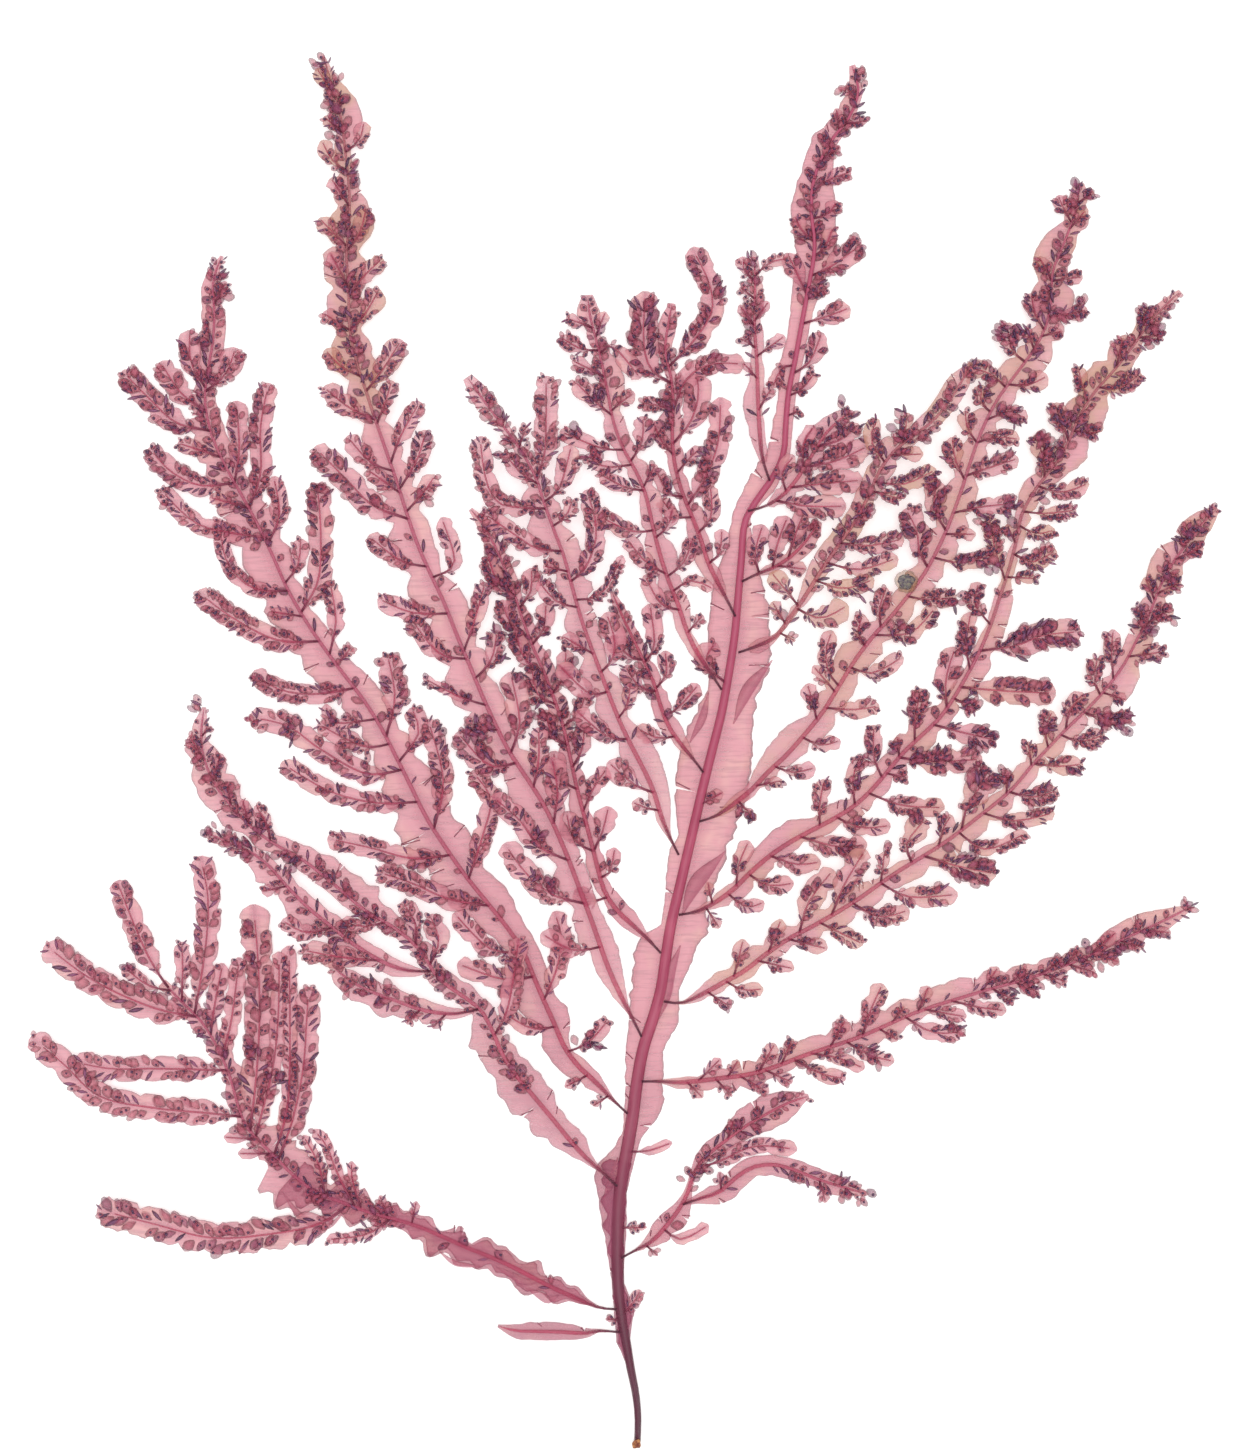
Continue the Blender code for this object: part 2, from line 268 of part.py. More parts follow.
             (12.8, 36, 2, 1.4), (11.2, 40.2, 1.6, 2), (9.6, 44.2, 1, 1.4), (8.4, 49, 1.2, 1.6),
             (8, 54, 2.6, 1.6), (8.2, 59, 1.8, 1.6), (7.8, 63.5, 1, 1), (6.8, 68, 1, 1),
             (7.3, 72, 1.5, 1.3), (8, 76, .6, .6)],
        shoots=[(11.3, 39.5, 8.5, 39.8, 6.2, 42.8, 2.2), (10, 43.4, 7.2, 43.8, 5.2, 48, 2.2),
                (8.2, 50.5, 6.3, 52.5, 4.6, 56, 2.2), (8.2, 57.8, 5.7, 58.6, 2.8, 58.9, 2.4),
                (7.9, 62.5, 4.6, 64.5, 3.2, 69, 3.4, 78, 4.2), (14.2, 31.6, 16, 33.5, 16.4, 37.6, 2.4),
                (12.6, 36.8, 14.6, 39.8, 14.5, 45, 2.6),
                (10.8, 41.5, 13.6, 46.4, 15.8, 52.5, 16.2, 60, 3.4), (9, 47, 11.3, 50, 13, 51.5, 1.8),
                (8.3, 52, 11, 55.6, 12.4, 60, 12.2, 64, 3.8),
                (8.2, 58, 10.4, 63, 14.5, 65.6, 20.3, 65.6, 3),
                (7.6, 65.2, 11.5, 69.4, 14.7, 74.5, 14.2, 79.5, 11.3, 85.4, 3.4)])]),
    "frond_left_11": dict(layer=1, over=2, gap=3.4, arms=[dict(
        rib=[(24.6, 45.6, .3, .3), (23.3, 49.5, .8, 1), (22.8, 54, 1.6, .8), (22.5, 60, 2.4, 1),
             (22.3, 66, 1, 1.2), (21.9, 72, 1, 1.4), (22, 78, .8, 1.3), (21.9, 83.6, .5, .5)],
        shoots=[(22.6, 57.5, 24.8, 61.5, 2.4), (22.6, 62.8, 20, 65.6, 2),
                (22.1, 66.5, 24, 68, 27, 70.2, 2.4), (22, 72, 19.3, 75.4, 1.8), (21.9, 73, 24.3, 76, 2.2),
                (22, 79.4, 20.2, 81.2, 20, 83.6, 2.8), (21.9, 80.5, 24.5, 82.6, 27.5, 83.3, 1.8)])]),
    "frond_right_01": dict(layer=0, over=1, arms=[dict(
        rib=[(-.8, -86, .3, .3), (1.8, -84.6, .3, .3), (4.6, -83.2, 1.4, 1), (7.2, -80.4, 1.8, 2.4),
             (9.4, -77.4, 1, 1.8), (10.8, -74.6, .6, .6), (11.8, -71.4, .6, .6), (13.8, -68.8, 1.6, 1.2),
             (17, -66.2, 2.4, 1.6), (20.6, -63.6, 2.6, 2), (24.4, -61.4, 2.8, 2.6), (28, -59.6, 1.8, 2.2),
             (31.2, -58.6, .4, .4)],
        shoots=[(6.6, -81.2, 9.6, -82.8, 14.2, -80.4, 1.8), (17.4, -66, 18.4, -62.6, 2),
                (12.2, -70.8, 16, -69.6, 22, -67, 29.2, -67.6, 2.4)]),
        dict(rib=[(9.6, -77, .3, .3), (12.6, -76, .8, 1), (16, -74.8, 1.6, 2), (18.8, -72.4, 1.8, 2),
                  (21.8, -70.6, 1.6, 1.6), (25.4, -70.2, 1.4, 1.8), (29, -71.2, 1.6, 1.8),
                  (33, -72.8, 1.6, 2), (37, -74, 1.4, 1.4), (41, -75.2, .4, .4)],
             shoots=[(33.2, -73, 34, -76.6, 2)])]),
    "frond_right_02": dict(layer=0, over=4.5, arms=[dict(
        rib=[(2.6, -56, .3, .3), (6, -56, .3, .3), (9.6, -56.2, .8, 1.2), (13.4, -55.9, 1, 1.6),
             (17.4, -55.4, 1.8, 2), (21.6, -54.8, 2.2, 2.4), (26, -53.4, 2.2, 1.4), (30.4, -51.7, 2.4, 1.6),
             (34.8, -50.2, 2.6, 1), (39.2, -48.7, 2.8, 1.6), (43.6, -46.8, 2.8, 2.4), (48, -44.8, 2.6, 1.6),
             (52.4, -43.2, 2.8, 1), (57, -41.8, 3, 1), (61.6, -40.4, 2.8, 1), (66.2, -39.2, 2.4, 1.2),
             (70.8, -37.8, 2.2, 1.2), (75.2, -36.2, 1.8, 1.2), (79.6, -34.4, 1.8, 1.6), (84, -32.2, 2.4, 2),
             (88.4, -30.2, 2.6, 1.8), (92.2, -28.4, 1.6, 1.4), (96, -26.4, .4, .4)],
        shoots=[(12.6, -56, 16.2, -52.2, 1.8), (22.8, -54.6, 25.4, -49.6, 2.2),
                (26.4, -53.2, 28.4, -48.8, 1.8), (34.6, -50.2, 37.4, -45.4, 2.4),
                (40.2, -48.3, 41.4, -44.4, 43.6, -39.4, 2.8), (49.8, -44.2, 51.4, -39.8, 2.2),
                (60.4, -40.8, 63.2, -36.6, 2), (65, -39.6, 68.2, -37, 2), (70.4, -38, 74, -35.4, 1.8),
                (74.6, -36.6, 76.8, -33.8, 2), (79.2, -34.7, 83.2, -30.8, 2.2),
                (19.6, -55.2, 24.4, -58, 1.8), (23.6, -54.2, 28.4, -56.2, 2.2),
                (28.8, -52.3, 33, -54.6, 37.4, -55.6, 2.4), (31.4, -51.4, 36, -52, 40.6, -53.8, 2),
                (37.6, -49.2, 41.2, -51.4, 45.6, -52.6, 2), (47.6, -45, 52, -47.6, 57, -47.6, 2.6),
                (50.8, -43.8, 57.8, -45, 2), (55.6, -42.4, 60, -43.4, 64.6, -44, 2.2),
                (62, -40.4, 66, -42.2, 1.8), (70.6, -38, 75, -39.2, 1.8), (75.4, -36.2, 79.8, -37.6, 2),
                (79.8, -34.4, 83.8, -35.8, 2), (84.2, -32.2, 88, -33.4, 2),
                (88, -30.4, 92.6, -30.8, 1.8)])]),
    "frond_right_03": dict(layer=1, over=3, land=(.72, .8), arms=[dict(
        rib=[(6.4, -42.4, .3, .3), (9.6, -42.7, .3, .3), (13, -41.2, 1, 1), (16.6, -39.2, 2, 1.2),
             (20.2, -37.2, 2.4, 1.4), (23.8, -34.4, 2.4, 1.4), (27.6, -31.8, 2, 1.8),
             (31.4, -29.8, 1.8, 2.2), (35.4, -27.5, 2, 2.4), (39.4, -25, 2, 2.4), (43.2, -22.3, 1.4, 2.2),
             (47, -19.8, 1.2, 2.4), (51, -17.4, 1.2, 3), (55, -14.8, 1.2, 2.6), (58.8, -11.9, 1.4, 2.4),
             (62.4, -9.1, 1.4, 2.4), (65.8, -6.1, 1.6, 1.8), (68.8, -2.5, 1.8, 1.8), (72, 1, 1.8, 2),
             (75.4, 4.5, 2, 2), (78.8, 7.8, 2.2, 2), (81.8, 11.2, 1.4, 3.6), (84.6, 15, 1.4, 3),
             (86.8, 19, 1.6, 2.4), (88.8, 23, 1.8, 2), (90.4, 27.2, 2.4, 2.2), (92.6, 31.4, 3.2, 2.4),
             (95.6, 35.6, 2.8, 2), (98.2, 38.8, 2, 1.6), (100.6, 41.2, .5, .5)],
        shoots=[(18.4, -38.2, 19.2, -35, 20, -31.8, 2.4), (24.4, -34, 26.4, -28.4, 2.2),
                (29.4, -30.8, 31, -25.6, 35.2, -20, 3.6), (35, -27.8, 37, -22.6, 40.6, -16.6, 3.4),
                (43.4, -22.2, 43.8, -17, 1.8), (48.4, -18.9, 47.6, -15.6, 50.8, -11.4, 3.6),
                (53, -16.2, 53.8, -13, 55.2, -10.8, 2.8), (57, -13.4, 58, -9, 62.2, -3.4, 4.2),
                (64.4, -7.4, 64.6, -4, 2), (68.8, -2.4, 68, 1.6, 2.2), (71.6, .6, 71, 3.6, 72.2, 6.8, 2.4),
                (74.6, 3.6, 75, 6.6, 77.4, 9.8, 2.8), (80.2, 9.4, 79.2, 12, 79.8, 15.8, 2.8),
                (82.6, 12.2, 82.2, 16, 82.6, 20.6, 2.4), (88.2, 21.8, 86.4, 24.4, 2.2),
                (89.8, 25.6, 88, 29.4, 2.2), (95, 34.8, 96, 39.2, 2), (13.8, -40.8, 18, -43.4, 2),
                (17, -39.2, 20, -40.4, 23.4, -40.2, 2.2), (22.4, -35.6, 28.6, -36.8, 2),
                (27.4, -32, 34.2, -33.4, 2.4), (33, -29, 40.2, -32.6, 2.6),
                (38.4, -25.8, 43, -28, 48, -26.8, 2.8), (43.2, -22.4, 48, -24.6, 56.2, -24.2, 3),
                (50.4, -17.8, 56, -19.4, 62.8, -20.8, 3.8), (56.4, -13.9, 61, -16.6, 68, -13.8, 2),
                (60.8, -10.4, 66, -11.8, 72.6, -10.4, 2.4), (64.8, -7.1, 69, -7.8, 73.2, -6.6, 3.2),
                (69.4, -1.9, 73, -2.6, 77.4, -2.2, 3), (73.6, 2.6, 77, 1.6, 81, 2.8, 2.8),
                (77.6, 6.6, 81.5, 5.2, 85.6, 6.4, 2), (80.8, 10, 84.6, 8.6, 2), (85.2, 16, 91.4, 16.8, 2.6),
                (88, 21.4, 92.8, 24.2, 2.6), (90.2, 26.6, 94.2, 28.6, 2.4),
                (93.4, 32.6, 98, 34.6, 2.4)])]),
    "frond_right_04": dict(layer=0, over=9, arms=[dict(
        rib=[(8.9, -27.8, .3, .3), (12.2, -27.2, .4, .4), (15.2, -25.7, 1, 1), (18.2, -23.6, 1.2, 2),
             (21, -20.9, 1.8, 2), (24.2, -18.1, 2.4, 2), (27.8, -15.6, 3, 1.6), (31.6, -13.5, 2.8, 1.6),
             (35.4, -11.5, 2.2, 1.8), (39, -9.2, 2, 2), (42, -6.4, 2, 2), (44.6, -3.4, 2, 2),
             (47.2, -.3, 2.4, 2.6), (50.4, 2.7, 2.8, 2.4), (53.4, 5.6, 2.4, 1.8), (55.8, 9, 1.4, 1.8),
             (58, 12.8, 1.2, 2.4), (60.2, 17, 1, 2.8), (62, 21.4, .8, 2.4), (63.5, 26, .8, 2.2),
             (65, 30.6, 1, 1), (66.2, 35.2, .8, 1.2), (67.2, 40, 1, 1.6), (69.6, 44.4, 2.2, 1.6),
             (72.6, 48.2, 2, 2.4), (75, 52, 1.4, 3.8), (77, 56.6, 2.6, 4), (79.6, 60.8, 3, 3.2),
             (83, 64.6, 3, 2.2), (86.4, 69, 2.4, 1.6), (89.8, 73.6, 1.4, 1.2), (94.2, 78, .4, .4)],
        shoots=[(14.8, -25.9, 14, -22.2, 1.8), (18.8, -23, 19.2, -19.5, 21, -15.2, 2.6),
                (33, -12.7, 33, -9, 33.8, -4.8, 2.6), (38.8, -9.3, 38.6, -4.8, 39.8, -.8, 2.2),
                (43.8, -4.4, 42.2, -1, 42.2, 4.4, 2.6), (49, 1.6, 49.2, 5.4, 50.2, 10.6, 2.8),
                (54.6, 7.2, 54.4, 12, 56, 17.6, 3.4), (58.6, 13.6, 57.8, 18, 58.6, 23.6, 2.4),
                (62, 21.6, 59.2, 25, 60, 28.6, 2.4), (64.4, 28.8, 62.8, 33.5, 61.6, 39.8, 2.2),
                (71, 46.4, 70.8, 49.6, 69.6, 53.6, 3.2), (75.2, 52.6, 73.8, 56, 72.8, 59, 2.8),
                (78.6, 59.4, 77.4, 62.5, 76.8, 65.2, 2.2), (83.2, 65, 84.4, 70, 2.8),
                (87.2, 70.2, 88.6, 75.4, 2.2), (13.6, -26.6, 16, -30, 1.8),
                (17.4, -24.4, 20.6, -26.4, 23.6, -25.6, 2.2), (21, -21, 24.4, -22.8, 28.6, -22.4, 2.6),
                (24.6, -17.8, 29, -19.2, 33.2, -18.8, 2.8), (29.6, -14.6, 36, -16.2, 41, -15.8, 3),
                (35.8, -11.3, 40, -13, 45, -12.6, 2.4), (41.4, -7, 47, -9.2, 54.2, -9.6, 2.8),
                (44.4, -3.6, 48, -4.6, 2.2), (46.6, -1, 52, -1.8, 60.6, -1.4, 3.6),
                (52.2, 4.4, 57, 3.2, 63, 1.8, 3.2), (55.8, 9, 59.6, 6.8, 2.4),
                (57, 11, 64, 10.2, 73, 9.8, 3.8), (60.2, 17, 66, 17.8, 71, 19.6, 77.2, 20.2, 4),
                (64.6, 29.4, 69.6, 29.2, 1.6), (65.8, 33.6, 69, 32, 73, 34, 2.8),
                (66.8, 38, 69.6, 36.8, 72.8, 37.4, 2.2), (67.4, 40.4, 71, 40.2, 76.4, 40.8, 2),
                (70, 45, 74, 43.8, 78.6, 45.4, 2.6), (76, 54.2, 80.2, 53.8, 2.4),
                (80.2, 61.6, 83.6, 61.4, 87.6, 64, 2.4), (87, 70, 91.2, 70.4, 2)])]),
    "frond_right_05": dict(layer=1, over=8, land=(.78, .86), arms=[dict(
        rib=[(12.4, -12, .3, .3), (15.4, -11, .3, .3), (18.4, -9, 1, .8), (21.4, -6.6, 1, 1),
             (24.2, -3.6, 2.2, 1.4), (27.2, -.8, 3, 1.6), (30.4, 2.8, 3.2, 2.4), (33.6, 6.8, 2, 2.8),
             (36.2, 11, 2.4, 2.4), (38.8, 15.2, 3, 2.4), (41.8, 19.2, 2.6, 2.8), (44.8, 22.5, 2, 2.6),
             (47.8, 26.2, 2, 2.4), (50.6, 30, 2.6, 2.6), (53, 34.4, 2.8, 3), (55, 39, 2.6, 3),
             (56.8, 44, 2.6, 2.6), (58.4, 49, 2.4, 2.2), (60.2, 54, 2.4, 2.2), (62.8, 59.2, 2.6, 2.4),
             (66, 63.6, 2.6, 2.8), (69.2, 68, 2, 3.2), (71.4, 72.4, 2.2, 3), (72.3, 77, 3, 3.6),
             (72.6, 81.4, 3.4, 2.4), (74.2, 85.4, 3.4, 1.8), (75.8, 89.6, 2, 2.4), (76.8, 93, 1.6, 2),
             (77, 96.4, .8, .8)],
        shoots=[(32.4, 5.4, 31.8, 8, 30.8, 11.4, 2.8), (36, 10.8, 34.4, 13.4, 34, 17, 35, 20.4, 2.4),
                (35.4, 9.8, 31.8, 14.4, 1.8), (40.6, 17.8, 39.4, 20, 40.2, 23.2, 2.6),
                (43.4, 21, 43, 24, 44.2, 27.6, 2.6), (51.2, 31, 49.6, 34, 49.4, 37, 47.4, 41, 3.8),
                (54.2, 37, 52.2, 41, 52.8, 45.8, 3.4), (57.4, 46, 55.8, 49, 55.2, 53, 3.2),
                (59.4, 52, 57.8, 54.4, 57.4, 57.4, 2.6), (61.6, 57, 60, 59, 60.4, 61.8, 2.4),
                (64.6, 61.6, 61.4, 63.8, 57.8, 64.8, 2.8), (67.4, 65.6, 65.2, 68, 64.6, 72.4, 3.4),
                (69.2, 68, 67.6, 71.4, 2.2), (71, 71.5, 69.4, 74, 68.8, 77.6, 3),
                (72.5, 80, 70.2, 83.8, 2.4), (75.8, 89.8, 74.4, 92, 73.4, 94.2, 2.6), (22, -6, 26.6, -5, 2),
                (25.2, -2.6, 28.4, -3.6, 32.2, -2.8, 2.6), (30, 2.4, 33.2, 1, 36.4, 1.8, 2.4),
                (34, 7.4, 38.5, 7, 43, 7.6, 2.8), (38.2, 14.2, 42, 13.2, 47, 16, 2.6),
                (42.4, 19.8, 46, 19.6, 49, 20.4, 52.6, 24.4, 2.6), (47.6, 26, 51, 25.6, 56, 26, 2.8),
                (52, 32.6, 57, 31.8, 62.6, 33.4, 2.6), (54, 36.6, 59.2, 36.6, 2.2),
                (55.5, 40.4, 60, 41.2, 65.8, 41.8, 2.6), (57.6, 46.6, 62, 48, 66.4, 49.4, 2.8),
                (59.4, 52, 63, 53, 66.6, 52.6, 2.4), (61, 55.8, 64.4, 57, 68, 56.2, 2.4),
                (64.6, 61.8, 68, 61.8, 71.4, 63.4, 3), (70.4, 70.2, 74, 71, 2.2),
                (71.6, 73.3, 75, 74, 78.4, 74.8, 2.4), (72.6, 79.6, 77.6, 80.4, 2.8),
                (75.4, 88.4, 78, 91.6, 2.2), (76.8, 93, 79.6, 94.6, 2.2)])]),
    "frond_right_06": dict(layer=2, over=6, arms=[dict(
        rib=[(19, 16.6, .3, .3), (22.4, 17.8, 1, 1.2), (25.6, 19.4, .5, .5), (27.6, 22.2, .5, .5),
             (29.8, 25.2, 1.2, .8), (31.8, 28.4, 1.8, 1), (34, 31.8, 2.2, 1.2), (36.6, 35.6, 2, 1.8),
             (39.2, 39.4, 1.8, 1.6), (41.2, 43.4, 2, 1.4), (43, 47.4, 2.6, 2), (45.4, 50.6, 2.6, 1.8),
             (48.4, 53, 1.8, 1.2), (51.6, 55.4, 1.8, 1.2), (54.2, 58.4, 2, 1.4), (56.4, 61.8, 2, 1.4),
             (58.4, 65.4, .5, .5)],
        shoots=[(29, 24.2, 33, 22.4, 37.6, 24.6, 3.6), (32, 28.8, 37, 27.4, 42, 29, 2.6),
                (34, 31.8, 39.5, 30.6, 46, 32.6, 2.6), (36.4, 35.2, 41, 34.6, 47, 35.8, 2.8),
                (41.4, 43.8, 46.6, 42.4, 1.6), (42.2, 45.4, 47, 45, 52.4, 47.4, 2.6),
                (44.6, 49.8, 50.2, 50, 2.4), (29.4, 24.6, 27.2, 27, 24.6, 30.2, 3),
                (27.2, 21.6, 24.8, 25.2, 2.4), (44, 48.8, 41.4, 52.6, 42.6, 56, 2.4),
                (47, 52, 47.6, 57, 2)])]),
    "frond_right_07": dict(layer=1, over=1, gap=3.8, arms=[dict(
        rib=[(20.6, 40.6, .3, .3), (23.6, 41.4, .4, .4), (26.6, 43.2, 1.4, 1.4), (29.2, 46.2, 2, 2),
             (31.6, 50, 2.2, 2), (34.2, 54, 2.2, 1.8), (38.2, 57.6, .8, .8)],
        shoots=[(25.6, 42.6, 31, 41.4, 37.4, 41.4, 3.4), (28, 44.8, 33.5, 45.2, 40.2, 45.8, 3.6),
                (30.4, 48, 35.5, 49, 41.2, 51.6, 3.6), (32.6, 51.6, 36.4, 52.6, 39.6, 55.2, 2.8),
                (27.4, 44, 26.6, 47, 28.6, 50, 2.4), (30.2, 47.8, 30.2, 52, 32, 55, 2.2)])]),
    "frond_right_08": dict(layer=0, over=3, gap=2.9, arms=[dict(
        rib=[(19.6, 28.6, .3, .3), (22.4, 30, .4, .4), (25.4, 31.2, 1, 1), (28.4, 33.2, 1.4, 1.4),
             (31, 36, 1.6, 1.6), (33, 39, .6, .6)],
        shoots=[(22.6, 30.2, 22, 33.6, 23.4, 38.4, 2.8), (25, 31, 25.8, 35, 27.6, 39.8, 3.2),
                (27.8, 32.8, 29, 37, 30.6, 41, 2.6), (26, 31.4, 30.8, 30.8, 2.2)])]),
}


def smooth(t):
    """Rises from 0 to 1 with level ends."""
    t = min(1.0, max(0.0, t))
    return t * t * (3.0 - 2.0 * t)


def ground_wave(x, y):
    """Height of the plant's underside over the surface: flat at the main axis, waved outside."""
    across = abs(x - AXIS_AT - AXIS_LEAN * y)
    reach = smooth((across - FLAT_REACH) / (WAVE_REACH - FLAT_REACH))
    phase = 2.0 * math.pi * (x * WAVE_RUN[0] + y * WAVE_RUN[1]) / WAVE_LENGTH
    return WAVE_HEIGHT * reach * 0.5 * (1.0 + math.sin(phase))


def curve_point(points, i, t):
    """Catmull-Rom between points i and i + 1, in as many numbers as a point has."""
    last = len(points) - 1
    before, here = points[max(i - 1, 0)], points[i]
    there, after = points[min(i + 1, last)], points[min(i + 2, last)]
    return [0.5 * (2 * b + (c - a) * t + (2 * a - 5 * b + 4 * c - d) * t * t
                   + (3 * b - a - 3 * c + d) * t ** 3)
            for a, b, c, d in zip(before, here, there, after)]


def trace(points, fineness=8):
    """A smooth route through the points, with the length run at each of its own points."""
    route = [curve_point(points, i, k / fineness) for i in range(len(points) - 1) for k in range(fineness)]
    route.append(list(points[-1]))
    lengths = [0.0]
    for a, b in zip(route, route[1:]):
        lengths.append(lengths[-1] + math.hypot(b[0] - a[0], b[1] - a[1]))
    return route, lengths


def at_length(route, lengths, s):
    """The route's numbers at length s, and its direction there."""
    k = 0
    while k < len(lengths) - 2 and lengths[k + 1] < s:
        k += 1
    span = max(lengths[k + 1] - lengths[k], 1e-9)
    t = min(1.0, max(0.0, (s - lengths[k]) / span))
    here = [a + (b - a) * t for a, b in zip(route[k], route[k + 1])]
    back, on = route[max(k - 1, 0)], route[min(k + 2, len(route) - 1)]
    run = Vector((on[0] - back[0], on[1] - back[1]))
    return here, run.normalized()


def nearest_length(route, lengths, x, y):
    """Length along the route at which it comes nearest to x, y."""
    gaps = [math.hypot(p[0] - x, p[1] - y) for p in route]
    return lengths[gaps.index(min(gaps))]


def layer_height(frond, total, s):
    """Underside of a frond at length s, without the ground's waves."""
    layer = frond["layer"]
    if frond["over"]:
        layer = STALK_LAYER + (layer - STALK_LAYER) * smooth((s - frond["over"]) / RAMP)
    if "land" in frond:
        start, end = frond["land"]
        layer *= 1.0 - smooth((s / total - start) / (end - start))
    return layer * LAYER


def loft(name, rings, low_from, caps):
    """One closed skin over rings of points. Sides from low_from on are split the other way,
    so that a blade's two faces are split into triangles alike. The caps name a ring's points."""
    bm = bmesh.new()
    skin = [[bm.verts.new(Vector(p) * MM) for p in ring] for ring in rings]
    count = len(rings[0])
    for near, far in zip(skin, skin[1:]):
        for i in range(count):
            j = (i + 1) % count
            if i < low_from:
                bm.faces.new((near[i], near[j], far[j]))
                bm.faces.new((near[i], far[j], far[i]))
            else:
                bm.faces.new((near[i], near[j], far[i]))
                bm.faces.new((near[j], far[j], far[i]))
    for ring in (skin[0], skin[-1]):
        for a, b, c in caps:
            bm.faces.new((ring[a], ring[b], ring[c]))
    bmesh.ops.recalc_face_normals(bm, faces=bm.faces)
    mesh = bpy.data.meshes.new(name)
    bm.to_mesh(mesh)
    bm.free()
    return mesh


def section(frame, low, outline):
    """Points across a blade: each is how far to the left of its middle line, and how high."""
    (x, y), side = frame
    ring = []
    for across, up in outline:
        px, py = x + side.x * across, y + side.y * across
        ring.append((px, py, low + ground_wave(px, py) + up))
    return ring


def blade_rings(arm, chance, start):
    """Cross sections of an arm: thin wings on both sides of a ridge that is the midrib."""
    route, lengths = arm["trace"]
    total = lengths[-1]
    count = max(3, round((total - start) / RIB_STEP))
    rings = []
    for k in range(count + 1):
        s = start + (total - start) * k / count
        (x, y, left, right), run = at_length(route, lengths, s)
        foot = RIB_FOOT_TIP + (RIB_FOOT - RIB_FOOT_TIP) * (1.0 - s / total) * arm["rib_size"]
        foot = min(foot, min(left, right) + STALK_FOOT)
        edges = []
        for width in (left, right):
            ragged = 1.0 + chance.uniform(-RAGGED, RAGGED) * (1 < k < count - 1)
            edges.append(max(width * ragged, foot + WING_EDGE))
        rings.append(section(((x, y), Vector((-run.y, run.x))), arm["height"](s),
                             [(edges[0], 0.0), (edges[0], WING), (foot, WING), (0.0, RIB),
                              (-foot, WING), (-edges[1], WING), (-edges[1], 0.0)]))
    return rings


def shoot_width(t):
    """Width of a side shoot at the share t of its length, against its full width."""
    neck = SHOOT_NECK + (1.0 - SHOOT_NECK) * min(1.0, t / NECK_END)
    tip = 1.0 - (1.0 - SHOOT_TIP) * max(0.0, t - TIP_START) / (1.0 - TIP_START)
    return neck * tip


def shoot_rings(arm, shoot, index):
    """Cross sections of a side shoot: rooted inside the midrib, then a lobed blade over the wing."""
    points = [tuple(shoot[i:i + 2]) for i in range(0, len(shoot) - 1, 2)]
    full_half = 0.5 * shoot[-1] * FULLNESS
    root = nearest_length(*arm["trace"], *points[0])
    points[0] = tuple(at_length(*arm["trace"], root)[0][:2])
    route, lengths = trace(points)
    total = lengths[-1]
    count = max(2, min(SHOOT_STATIONS, round(total / SHOOT_STEP)))
    rings = []
    for k in range(count + 1):
        t = k / count
        (x, y), run = at_length(route, lengths, total * t)
        low = arm["height"](nearest_length(*arm["trace"], x, y))
        if k == 0:
            left = right = ROOT_HALF
            low += ROOT_LOW
        else:
            swing = LOBED * (1 if k % 2 else -1) if k < count else 0.0
            left = full_half * shoot_width(t) * (1.0 + swing)
            right = full_half * shoot_width(t) * (1.0 - swing)
            low += SHOOT_LOW + SHOOT_STAGGER * (index % 2)
        rings.append(section(((x, y), Vector((-run.y, run.x))), low,
                             [(left, 0.0), (left, SHOOT), (-right, SHOOT), (-right, 0.0)]))
    return rings


def linear(colour):
    """sRGB hex to the linear values a material takes."""
    parts = [int(colour[i:i + 2], 16) / 255.0 for i in (1, 3, 5)]
    return [p / 12.92 if p <= 0.04045 else ((p + 0.055) / 1.055) ** 2.4 for p in parts] + [1.0]


def membrane_material(name, colour):
    """Damp seaweed membrane: soft sheen, no metal."""
    material = bpy.data.materials.new(name)
    material.use_nodes = True
    shader = material.node_tree.nodes["Principled BSDF"]
    shader.inputs["Base Color"].default_value = linear(colour)
    shader.inputs["Roughness"].default_value = 0.55
    shader.inputs["Metallic"].default_value = 0.0
    material.diffuse_color = linear(colour)
    return material


def place(name, mesh):
    """An object in the scene that holds the mesh."""
    piece = bpy.data.objects.new(name, mesh)
    bpy.context.scene.collection.objects.link(piece)
    return piece


def unite(body, pieces):
    """Fuses the pieces into the body and removes them."""
    group = bpy.data.collections.new(body.name + "_pieces")
    bpy.context.scene.collection.children.link(group)
    for piece in pieces:
        bpy.context.scene.collection.objects.unlink(piece)
        group.objects.link(piece)
    union = body.modifiers.new("Unite", "BOOLEAN")
    union.operation = "UNION"
    union.operand_type = "COLLECTION"
    union.collection = group
    union.solver = "EXACT"
    bpy.context.view_layer.objects.active = body
    bpy.ops.object.modifier_apply(modifier=union.name)
    for piece in pieces:
        bpy.data.objects.remove(piece, do_unlink=True)
    bpy.data.collections.remove(group)


def holdfast():
    """The small disc that held the plant to the rock."""
    x, y = FRONDS["main_axis"]["arms"][0]["rib"][0][:2]
    bm = bmesh.new()
    bmesh.ops.create_cone(bm, cap_ends=True, segments=HOLDFAST_SIDES, radius1=HOLDFAST_RADIUS * MM,
                          radius2=HOLDFAST_TOP * MM, depth=HOLDFAST_HEIGHT * MM)
    bmesh.ops.translate(bm, verts=bm.verts, vec=Vector((x, y, HOLDFAST_HEIGHT / 2)) * MM)
    mesh = bpy.data.meshes.new("holdfast")
    bm.to_mesh(mesh)
    bm.free()
    return mesh


